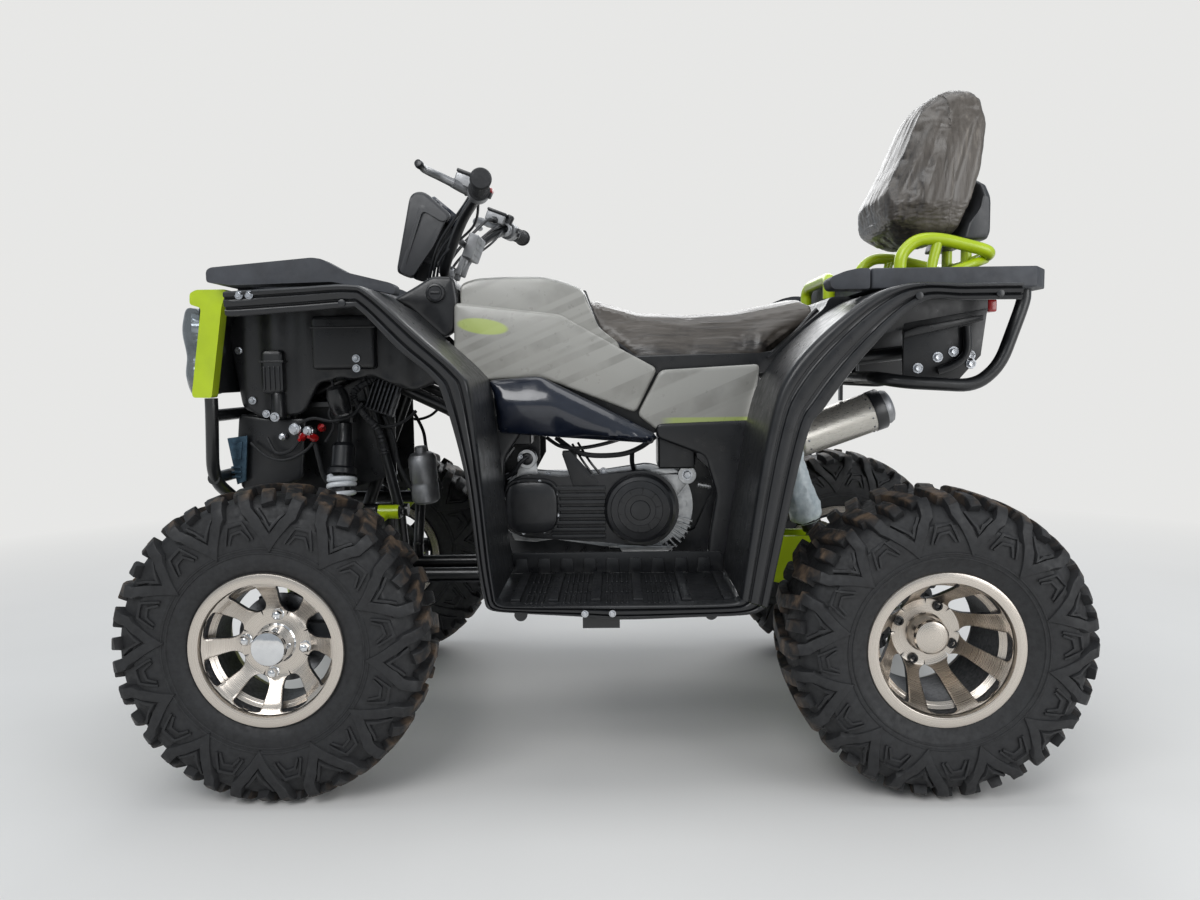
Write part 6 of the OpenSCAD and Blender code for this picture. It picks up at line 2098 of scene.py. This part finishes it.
class QUAD_OT_exhaust(bpy.types.Operator):
    """Rolls the muffler can with its bands, rivets and end cap"""

    bl_idname = "quad.exhaust"
    bl_label = "Exhaust"

    def execute(self, context):
        foot, tip = Vector(MUFFLER[0]), Vector(MUFFLER[1])
        along = (tip - foot).normalized()
        length = (tip - foot).length
        can = Build()
        can.lathe(foot, along, [(0.018, 0.0), (0.040, 0.001), (0.050, 0.006), (0.0515, 0.014),
                                (0.0515, 0.020), (0.0508, 0.022), (0.0508, length - 0.030),
                                (0.0, length - 0.030)], 64)
        can.piece("muffler_can", "muffler_alloy", sharp=40)
        cap = Build()
        cap.lathe(foot, along, [(0.0, length - 0.031), (0.0520, length - 0.031), (0.0520, length - 0.004),
                                (0.0500, length - 0.001), (0.0440, length), (0.0, length)], 64)
        cap.piece("muffler_band", "case_black", material=satin_case_paint(), sharp=40)
        end = Build()
        end.lathe(foot, along,
                  [(0.0440, length - 0.002), (0.0438, length + 0.010), (0.0400, length + 0.018),
                   (0.0330, length + 0.0218), (0.0180, length + 0.0200), (0.0165, length + 0.0160),
                   (0.0140, length + 0.0160), (0.0140, length - 0.002), (0.0, length - 0.002)], 64)
        piece = end.piece("muffler_end", "muffler_alloy", material=cast_alloy(), sharp=40)
        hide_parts("muffler")
        rivets = Build()
        side = along.cross(Vector((0, 1, 0))).normalized()
        for k in range(12):
            a = 2 * math.pi * (k + 0.4) / 12
            out = math.cos(a) * Vector((0, 1, 0)) + math.sin(a) * side
            for h in (0.030, length - 0.040):
                rivets.lathe(foot + h * along + 0.0504 * out, out,
                             [(0.0, 0.0), (0.0030, 0.0), (0.0026, 0.0012), (0.0012, 0.0018),
                              (0.0, 0.0018)], 12)
        rivets.piece("muffler_rivets", "axle_steel", material=turned_steel())
        sleeve = Build()
        # film sleeve round the rear shock, tied at its foot
        a, b = Vector(REAR_SHOCK[0]), Vector(REAR_SHOCK[1])
        up = (b - a).normalized()
        span = (b - a).length
        u = up.orthogonal().normalized()
        v = up.cross(u)
        rings = []
        last = 45
        for i in range(last + 1):
            t = i / last
            h = (0.10 + 0.62 * t) * span
            wide = (0.0335 + 0.003 * math.sin(t * 9) - 0.009 * (1 - eased(t / 0.06))
                    - 0.008 * eased((t - 0.94) / 0.06))
            ring = []
            for ang in turns(40):
                p = Vector((math.cos(ang) * 2.2, math.sin(ang) * 2.2, t * 9))
                r = wide + 0.0035 * noise.noise(p) + 0.002 * noise.noise(p * 2.6)
                ring.append(a + h * up + r * (math.cos(ang) * u + math.sin(ang) * v))
            rings.append(sleeve.ring(ring))
        sleeve.loft(rings)
        sleeve.piece("shock_film", "spring_white", material=milky_film(), sharp=60)
        for name, h in (("shock_tie_low", 0.105), ("shock_tie_high", 0.715)):
            tie = Build()
            tie.lathe(a + h * span * up, up,
                      [(0.026, 0.0), (0.0285, 0.001), (0.0285, 0.006), (0.026, 0.007)], 28)
            tie.piece(name, "case_black", material=moulded_grip())
        return {"FINISHED"}


# ---------------------------------------------------------------- handlebar and controls

CLAMP = COLUMN_FOOT + 0.700 * COLUMN     # middle of the handlebar on the column
BAR_R = 0.0111
GRIP_FROM = Vector((-0.050, 0.235, 0.168))
GRIP_TO = Vector((-0.075, 0.385, 0.178))
SHROUD = [(88, -30), (104, -32), (130, 136), (120, 150), (100, 155), (30, 128), (34, 112), (92, 122)]
CHEEK = [(60, -29), (92, -30), (97, 128), (31, 121), (40, 52)]


def at_clamp():
    """Axes of the handlebar: X ahead, Y to the left, Z up the column."""
    ahead = Vector((COLUMN.z, 0, -COLUMN.x))
    turn = Matrix((ahead, Vector((0, 1, 0)), COLUMN)).transposed()
    return Matrix.Translation(CLAMP) @ turn.to_4x4()


def steered(build, name, slot, material=None, mirror=True, sharp=32):
    """Mirrors what is built in the handlebar's axes, turns it into place and ties it to the steering."""
    mesh = build.mesh(name, mirror)
    mesh.transform(at_clamp())
    return finished(name, mesh, material or FINISH_OF[slot](), "steering", sharp)


class QUAD_OT_handlebar(bpy.types.Operator):
    """Bends the handlebar, with its clamps, cross bar, grips and end plugs"""

    bl_idname = "quad.handlebar"
    bl_label = "Handlebar and grips"

    def execute(self, context):
        along = (GRIP_TO - GRIP_FROM).normalized()
        reach = (GRIP_TO - GRIP_FROM).length
        half = [GRIP_TO, GRIP_FROM, Vector((-0.018, 0.150, 0.118)), Vector((0.0, 0.072, 0.0))]
        run = rounded(half + [Vector((p.x, -p.y, p.z)) for p in half[::-1]], 0.045, 8)
        bar = Build()
        bar.tube(run, BAR_R, 24)
        bar.tube([(-0.0135, -0.122, 0.080), (-0.0135, 0.122, 0.080)], 0.0075, 18)
        piece = steered(bar, "handlebar_tube", "frame_paint", mirror=False)
        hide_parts("handlebar")
        clamps = Build()
        # caps over the bar, each with two screws, and the block between the cross bar and the clamps
        clamps.box((-0.019, 0.027, 0.0005), (0.019, 0.049, 0.0165), 0.004, segments=3)
        clamps.box((-0.046, -0.052, 0.052), (-0.022, 0.052, 0.108), 0.005, segments=3)
        clamps.box((-0.030, 0.024, 0.012), (-0.020, 0.044, 0.058), 0.003)
        for z in (0.064, 0.078, 0.092):
            clamps.box((-0.0475, -0.040, z), (-0.0445, 0.040, z + 0.006), 0.001)
        steered(clamps, "handlebar_clamps", "control_alloy", material=cast_alloy())
        screws = Build()
        for x in (-0.0135, 0.0135):
            for y in (0.033, 0.043):
                screws.lathe((x, y, 0.0160), (0, 0, 1),
                             [(0.0, 0.0), (0.0036, 0.0), (0.0036, 0.0034), (0.0022, 0.0036),
                              (0.0020, 0.0016), (0.0, 0.0014)], 16)
        steered(screws, "clamp_screws", "axle_steel", material=zinc_plate())
        grip = Build()
        start = 0.048
        profile = [(0.0120, start), (0.0205, start), (0.0215, start + 0.0020), (0.0205, start + 0.0045),
                   (0.0172, start + 0.0065)]
        ribs = 15
        for k in range(ribs):
            h = start + 0.009 + k * (reach - start - 0.022) / ribs
            profile += [(0.0163, h), (0.0178, h + 0.0012), (0.0178, h + 0.0036), (0.0163, h + 0.0048)]
        profile += [(0.0178, reach - 0.010), (0.0205, reach - 0.007), (0.0205, reach - 0.002),
                    (0.0180, reach + 0.0035), (0.0120, reach + 0.0048), (0.0, reach + 0.0050)]
        grip.lathe(GRIP_FROM, along, profile, 40)
        piece = steered(grip, "grip_rubbers", "grip_rubber")
        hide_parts("grips")
        return {"FINISHED"}


class QUAD_OT_controls(bpy.types.Operator):
    """Builds the switch housings, brake levers, reservoirs, cables and the shroud with its dial"""

    bl_idname = "quad.controls"
    bl_label = "Controls and shroud"

    def execute(self, context):
        along = (GRIP_TO - GRIP_FROM).normalized()

        def on_grip(d, x=0.0, z=0.0):
            return GRIP_FROM + d * along + Vector((x, 0, z))

        housing = Build()
        housing.lathe(GRIP_FROM, along,
                      [(0.0115, 0.006), (0.0200, 0.006), (0.0218, 0.0085), (0.0220, 0.0240),
                       (0.0212, 0.0248), (0.0212, 0.0258), (0.0220, 0.0266), (0.0220, 0.0415),
                       (0.0200, 0.0440), (0.0115, 0.0440)], 40, True)
        # perch, lever and the fluid reservoir over it
        housing.lathe(GRIP_FROM, along,
                      [(0.0115, -0.020), (0.0165, -0.020), (0.0172, -0.018), (0.0172, -0.004),
                       (0.0165, -0.002), (0.0115, -0.002)], 32, True)
        perch = on_grip(-0.011)
        housing.tube([perch + Vector((0.010, 0, 0)), perch + Vector((0.034, 0.012, 0.001)),
                      perch + Vector((0.050, 0.030, 0.002))], 0.0095, 18)
        low = perch + Vector((0.004, -0.030, 0.004))
        housing.box(low, low + Vector((0.048, 0.052, 0.024)), 0.005, segments=3)
        lever = smooth_path([perch + Vector(p) for p in (
            (0.050, 0.028, 0.002), (0.075, 0.044, 0.003), (0.088, 0.070, 0.001), (0.092, 0.105, -0.002),
            (0.086, 0.140, -0.005), (0.089, 0.156, -0.004))], 7)
        housing.tube(lever, lambda t: 0.0088 - 0.0022 * t, 16)
        piece = steered(housing, "switch_housings", "control_alloy", material=cast_alloy())
        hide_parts("controls")
        dark = Build()
        lid = low + Vector((-0.001, -0.001, 0.0235))
        dark.box(lid, lid + Vector((0.050, 0.054, 0.007)), 0.0028, segments=3)
        dark.lathe(lever[-1], lever[-1] - lever[-3],
                   [(0.0, -0.012), (0.0062, -0.011), (0.0078, -0.004), (0.0085, 0.002), (0.0070, 0.008),
                    (0.0, 0.010)], 20)
        for d, x, z, tall in ((0.015, -0.021, 0.006, 0.012), (0.034, -0.021, -0.002, 0.010)):
            at = on_grip(d, x, z)
            dark.box(at - Vector((0.006, 0.006, 0.005)), at + Vector((0.004, 0.006, 0.005 + tall / 4)), 0.002)
        # stub of the mirror socket, and the boots where the cables leave the perch
        dark.lathe(on_grip(-0.012, -0.002, 0.014), (-0.1, 0, 1),
                   [(0.0, 0.0), (0.010, 0.0), (0.010, 0.020), (0.0075, 0.023), (0.0, 0.023)], 24)
        boot = perch + Vector((0.026, -0.030, 0.010))
        dark.lathe(boot, (0.35, -1, -0.3),
                   [(0.0, -0.002), (0.0085, 0.0), (0.0085, 0.010), (0.0055, 0.016), (0.0055, 0.026),
                    (0.0038, 0.034), (0.0, 0.034)], 20)
        for k, (x, z) in enumerate(((0.022, 0.012), (0.010, 0.002), (0.0, -0.010))):
            foot = perch + Vector((x, -0.028, z))
            route = [foot, foot + Vector((0.014 - 0.004 * k, -0.060, -0.020 - 0.012 * k)),
                     Vector((0.022 - 0.010 * k, 0.096 + 0.008 * k, 0.060 - 0.012 * k)),
                     Vector((0.026 - 0.010 * k, 0.058 + 0.008 * k, -0.020)),
                     Vector((0.012 - 0.008 * k, 0.034, -0.085)), Vector((0.008 - 0.008 * k, 0.022, -0.150))]
            dark.tube(smooth_path(route, 8), 0.0036 - 0.0004 * k, 10)
        steered(dark, "levers_and_cables", "grip_rubber", material=satin_case_paint())
        buttons = Build()
        for d, x, z in ((0.016, -0.0215, 0.010), (0.036, -0.020, 0.008)):
            buttons.lathe(on_grip(d, x, z), (-1, 0.2, 0.3),
                          [(0.0, 0.0), (0.0052, 0.0), (0.0052, 0.0040), (0.0042, 0.0054), (0.0, 0.0056)],
                          20)
        steered(buttons, "switch_buttons", "tail_lens", material=red_acrylic(), mirror=False)
        shroud = Build()
        ring = rounded_outline(SHROUD, 0.012)
        levels = [(-1.0, 0.88), (-0.985, 0.94), (-0.93, 0.985), (-0.80, 1.0), (-0.4, 1.008), (0.0, 1.01),
                  (0.4, 1.008), (0.80, 1.0), (0.93, 0.985), (0.985, 0.94), (1.0, 0.88)]
        middle = Vector((0.095, 0.060))
        rows = []

        def taper(z):
            """The shroud narrows towards its top and its foot."""
            return 0.078 - 0.012 * eased((z - 0.06) / 0.10) - 0.016 * eased((0.02 - z) / 0.06)

        for u, fill in levels:
            rows.append(shroud.ring((middle.x + (x - middle.x) * fill - 0.006 * u * u, u * taper(z),
                                     middle.y + (z - middle.y) * fill) for x, z in ring))
        shroud.loft(rows)
        for low, high in flanks(0.0625, 0.0665):
            shroud.slab(rounded_outline(CHEEK, 0.010, 3), low, high, 0.0015)
        shroud.box((-0.014, -0.026, 0.0120), (0.095, 0.026, 0.0245), 0.003)
        piece = steered(shroud, "bar_shroud", "black_plastic", material=moulded_abs_shell(), mirror=False,
                        sharp=40)
        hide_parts("bar_cover")
        dial = Build()
        face = Vector((0.052, 0.0, 0.137))
        out = Vector((-0.35, 0, 1)).normalized()
        dial.lathe(face, out, [(0.040, -0.016), (0.044, -0.006), (0.044, 0.004), (0.041, 0.008),
                               (0.037, 0.008), (0.036, 0.004), (0.0, 0.004)], 48)
        steered(dial, "dial_bezel", "gloss_black", mirror=False)
        glass = Build()
        glass.lathe(face + 0.005 * out, out,
                    [(0.0, 0.0030), (0.020, 0.0024), (0.0355, 0.0), (0.0355, -0.0006), (0.0, -0.0006)],
                    48)
        steered(glass, "dial_glass", "lamp_lens", mirror=False)
        return {"FINISHED"}


# ---------------------------------------------------------------- chain, sprockets and bolts


CHAIN_Y = -0.118
CHAIN_PITCH = 0.0159
# A link's plate: share of the way from pin to pin, and its half height there.
LINK_PLATE = ((-0.22, 0.0030), (0.0, 0.0062), (0.25, 0.0066), (0.5, 0.0050), (0.75, 0.0066),
              (1.0, 0.0062), (1.22, 0.0030))


class QUAD_OT_chain(bpy.types.Operator):
    """Links the drive chain round its two sprockets"""

    bl_idname = "quad.chain"
    bl_label = "Drive chain"

    def execute(self, context):
        big = REAR_HUB.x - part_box("drive_chain")[0].x - 0.005
        small = 0.043                    # radius of the chain round the engine's sprocket
        a = Vector((REAR_HUB.x, REAR_HUB.z))
        b = SPROCKET
        line = b - a
        tilt = math.atan2(line.y, line.x)
        lean = math.acos((big - small) / line.length)
        loop = []
        for centre, r, start, end in ((a, big, tilt + lean, tilt + 2 * math.pi - lean),
                                      (b, small, tilt - lean, tilt + lean)):
            count = 40                   # facets of each bend
            loop += [Vector((centre.x + r * math.cos(start + (end - start) * k / count),
                             centre.y + r * math.sin(start + (end - start) * k / count)))
                     for k in range(count + 1)]
        loop = resampled(loop, 0.004)
        total = sum((q - p).length for p, q in zip(loop, loop[1:] + loop[:1]))
        links = 2 * round(total / CHAIN_PITCH / 2)
        chain = Build()
        pins, walked, target = [], 0.0, 0.0
        for p, q in zip(loop, loop[1:] + loop[:1]):
            step = (q - p).length
            while len(pins) < links and target < walked + step:
                pins.append(p.lerp(q, (target - walked) / step))
                target += total / links
            walked += step
        for k, p in enumerate(pins):
            q = pins[(k + 1) % len(pins)]
            chain.lathe((p.x, CHAIN_Y - 0.0068, p.y), (0, 1, 0),
                        [(0.0, 0.0), (0.0026, 0.0004), (0.0050, 0.0030), (0.0050, 0.0106),
                         (0.0026, 0.0132), (0.0, 0.0136)], 12)
            side = (q - p).normalized()
            up = Vector((-side.y, side.x))
            for s in (1, -1):
                y = CHAIN_Y + s * (0.0044 if k % 2 else 0.0058)
                plate = [(p.lerp(q, t), w) for t, w in LINK_PLATE]
                outline = [(c.x + w * up.x, c.y + w * up.y) for c, w in plate]
                outline += [(c.x - w * up.x, c.y - w * up.y) for c, w in plate[::-1]]
                chain.slab(outline, y - 0.0007, y + 0.0007)
        piece = chain.piece("chain_links", "chain_steel")
        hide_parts("drive_chain")
        return {"FINISHED"}


class QUAD_OT_bolts(bpy.types.Operator):
    """Sets the bolts that hold the flares, panels and footwells"""

    bl_idname = "quad.bolts"
    bl_label = "Body bolts"

    def execute(self, context):
        steel = Build()
        for x, z in ((0.6330, 0.9210), (0.6150, 0.9210)):
            steel.bolt((x, FENDER_Y - 0.002, z), (0, 1, 0), 0.009, 0.005)
        for x, z in ((0.0307, 0.344), (-0.0190, 0.344)):
            steel.bolt((x, FENDER_Y - 0.004, z), (0, 1, 0), 0.008, 0.004)
        steel.piece("flare_bolts", "axle_steel", material=zinc_plate(), mirror=True)
        black = Build()
        for x, z in ((0.2000, 0.670), (-0.0985, 0.6375)):
            black.lathe((x, PANEL_Y + 0.008, z), (0, 1, 0),
                        [(0.0, 0.0), (0.0085, 0.0), (0.0085, 0.0030), (0.0070, 0.0052), (0.0040, 0.0056),
                         (0.0036, 0.0030), (0.0, 0.0028)], 24)
        for x, z in ((0.452, 0.905), (-0.700, 0.906), (-0.560, 0.904)):
            black.lathe((x, FENDER_Y - 0.004, z), (0, 1, 0),
                        [(0.0, 0.0), (0.0070, 0.0), (0.0065, 0.0022), (0.0030, 0.0030), (0.0, 0.0030)],
                        24)
        black.piece("panel_bolts", "axle_steel", material=satin_case_paint(), mirror=True)
        return {"FINISHED"}


# ---------------------------------------------------------------- CAD nodes and the stage


class QUAD_OT_finishes(bpy.types.Operator):
    """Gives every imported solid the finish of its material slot"""

    bl_idname = "quad.finishes"
    bl_label = "Finishes"

    def execute(self, context):
        for name, solid in NODES.items():
            solid.data.materials.clear()
            solid.data.materials.append(FINISH_OF[SLOT_OF[name]]())
            solid.data.set_sharp_from_angle(angle=math.radians(30))
        return {"FINISHED"}


CAMERA_AT = (-0.0317, 2.1298, 0.7786)
YAW, PITCH, ROLL = 0.0192, 0.0839, -0.0126
SENSOR_MM = 36
FOCAL_MM = 36 * 929.4 / 1200


def add_camera():
    """Sets the camera off the left flank, level with the seat."""
    ahead = Vector((math.sin(YAW) * math.cos(PITCH), -math.cos(YAW) * math.cos(PITCH), -math.sin(PITCH)))
    right = Vector((-math.cos(YAW), -math.sin(YAW), 0.0))
    up = right.cross(ahead)
    right2 = math.cos(ROLL) * right + math.sin(ROLL) * up
    up2 = math.cos(ROLL) * up - math.sin(ROLL) * right
    data = bpy.data.cameras.new("camera")
    data.sensor_width = SENSOR_MM
    data.lens = FOCAL_MM
    data.clip_start = 0.05
    camera = bpy.data.objects.new("camera", data)
    turn = Matrix((right2, up2, -ahead)).transposed().to_4x4()
    camera.matrix_world = Matrix.Translation(CAMERA_AT) @ turn
    bpy.context.scene.collection.objects.link(camera)
    bpy.context.scene.camera = camera


def add_lamp(name, at, aim, size, power):
    """Soft rectangular lamp of a size in metres and a power in watts, aimed at a point."""
    data = bpy.data.lights.new(name, "AREA")
    data.shape = "RECTANGLE"
    data.size, data.size_y = size
    data.energy = power
    lamp = bpy.data.objects.new(name, data)
    lamp.location = at
    lamp.rotation_euler = (Vector(aim) - Vector(at)).to_track_quat("-Z", "Y").to_euler()
    bpy.context.scene.collection.objects.link(lamp)


BACKDROP = (0.80, 0.80, 0.79, 1)
PAPER_FROM_MM, PAPER_TO_MM = 1500, 3800     # where the paper starts and stops to fade


def fade_out(tree, shader):
    """Lets the far floor turn into the backdrop's colour, so that no horizon shows."""
    away = add(tree, "ShaderNodeVectorMath", {"operation": "LENGTH"}, {0: place(tree)}).outputs["Value"]
    share = spread(tree, away, 0, 1, PAPER_FROM_MM, PAPER_TO_MM)
    far = add(tree, "ShaderNodeEmission", None, {"Color": BACKDROP, "Strength": 1.0})
    mix = add(tree, "ShaderNodeMixShader", None, {0: share, 1: shader.outputs["BSDF"], 2: far.outputs[0]})
    out = next(n for n in tree.nodes if n.type == "OUTPUT_MATERIAL")
    tree.links.new(mix.outputs[0], out.inputs["Surface"])


class QUAD_OT_stage(bpy.types.Operator):
    """Lays the pale floor and sets up the soft lamps and the camera"""

    bl_idname = "quad.stage"
    bl_label = "Stage"

    def execute(self, context):
        scene = context.scene
        scene.view_settings.view_transform = "Standard"
        bpy.ops.mesh.primitive_grid_add(x_subdivisions=8, y_subdivisions=8, size=24)
        floor = context.object
        floor.name = "floor"
        # matt studio paper, pale grey with a faint mottle
        mat, tree, shader = surface("matt_studio_paper", {"Roughness": 0.9})
        if tree:
            join(tree, shader, colour=ramp(tree, speckle(tree, 900), (0.3, "DCDBD9"), (0.7, "E1E0DE")))
            fade_out(tree, shader)
        floor.data.materials.append(mat)
        world = bpy.data.worlds.new("studio")
        scene.world = world
        world.use_nodes = True
        tree = world.node_tree
        tree.nodes.clear()
        soft = add(tree, "ShaderNodeBackground", None, {"Color": (0.86, 0.93, 1.0, 1), "Strength": 0.45})
        plain = add(tree, "ShaderNodeBackground", None, {"Color": BACKDROP, "Strength": 1.0})
        path = add(tree, "ShaderNodeLightPath")
        mix = add(tree, "ShaderNodeMixShader", None,
                  {0: path.outputs["Is Camera Ray"], 1: soft.outputs[0], 2: plain.outputs[0]})
        add(tree, "ShaderNodeOutputWorld", None, {"Surface": mix.outputs[0]})
        add_lamp("key", (1.4, 3.4, 3.2), (0, 0, 0.5), (2.6, 2.0), 80)
        add_lamp("fill", (-2.8, 2.6, 1.6), (0, 0, 0.6), (2.2, 2.2), 50)
        add_lamp("overhead", (0.0, 0.0, 3.6), (0, 0, 0), (3.2, 2.2), 36)
        add_lamp("behind", (-0.6, -3.4, 2.6), (0, 0, 0.5), (3.0, 2.0), 55)
        add_camera()
        return {"FINISHED"}


# ---------------------------------------------------------------- sidebar and running


OPERATORS = (
    QUAD_OT_finishes,
    QUAD_OT_tyres,
    QUAD_OT_wheels,
    QUAD_OT_fenders,
    QUAD_OT_side_panels,
    QUAD_OT_cowl,
    QUAD_OT_nose,
    QUAD_OT_racks,
    QUAD_OT_seat,
    QUAD_OT_backrest,
    QUAD_OT_rails,
    QUAD_OT_shocks,
    QUAD_OT_under_nose,
    QUAD_OT_belt_case,
    QUAD_OT_engine,
    QUAD_OT_exhaust,
    QUAD_OT_handlebar,
    QUAD_OT_controls,
    QUAD_OT_chain,
    QUAD_OT_bolts,
    QUAD_OT_stage,
)


class QUAD_PT_panel(bpy.types.Panel):
    """Lists the quad bike's pieces, sizes and colours"""

    bl_idname = "QUAD_PT_panel"
    bl_label = "Quad bike"
    bl_space_type = "VIEW_3D"
    bl_region_type = "UI"
    bl_category = "Quad bike"

    def draw(self, context):
        for group in (context.scene.quad_sizes, context.scene.quad_colours):
            column = self.layout.column()
            for key in group.bl_rna.properties.keys():
                if key not in {"rna_type", "name"}:
                    column.prop(group, key)
        for operator in OPERATORS:
            self.layout.operator(operator.bl_idname)


CLASSES = (QuadSizes, QuadColours, *OPERATORS, QUAD_PT_panel)


def register():
    for cls in CLASSES:
        bpy.utils.register_class(cls)
    bpy.types.Scene.quad_sizes = PointerProperty(type=QuadSizes)
    bpy.types.Scene.quad_colours = PointerProperty(type=QuadColours)


def unregister():
    del bpy.types.Scene.quad_colours
    del bpy.types.Scene.quad_sizes
    for cls in reversed(CLASSES):
        bpy.utils.unregister_class(cls)


def main():
    register()
    for operator in OPERATORS:
        group, action = operator.bl_idname.split(".")
        getattr(getattr(bpy.ops, group), action)()


if __name__ == "__main__":
    main()
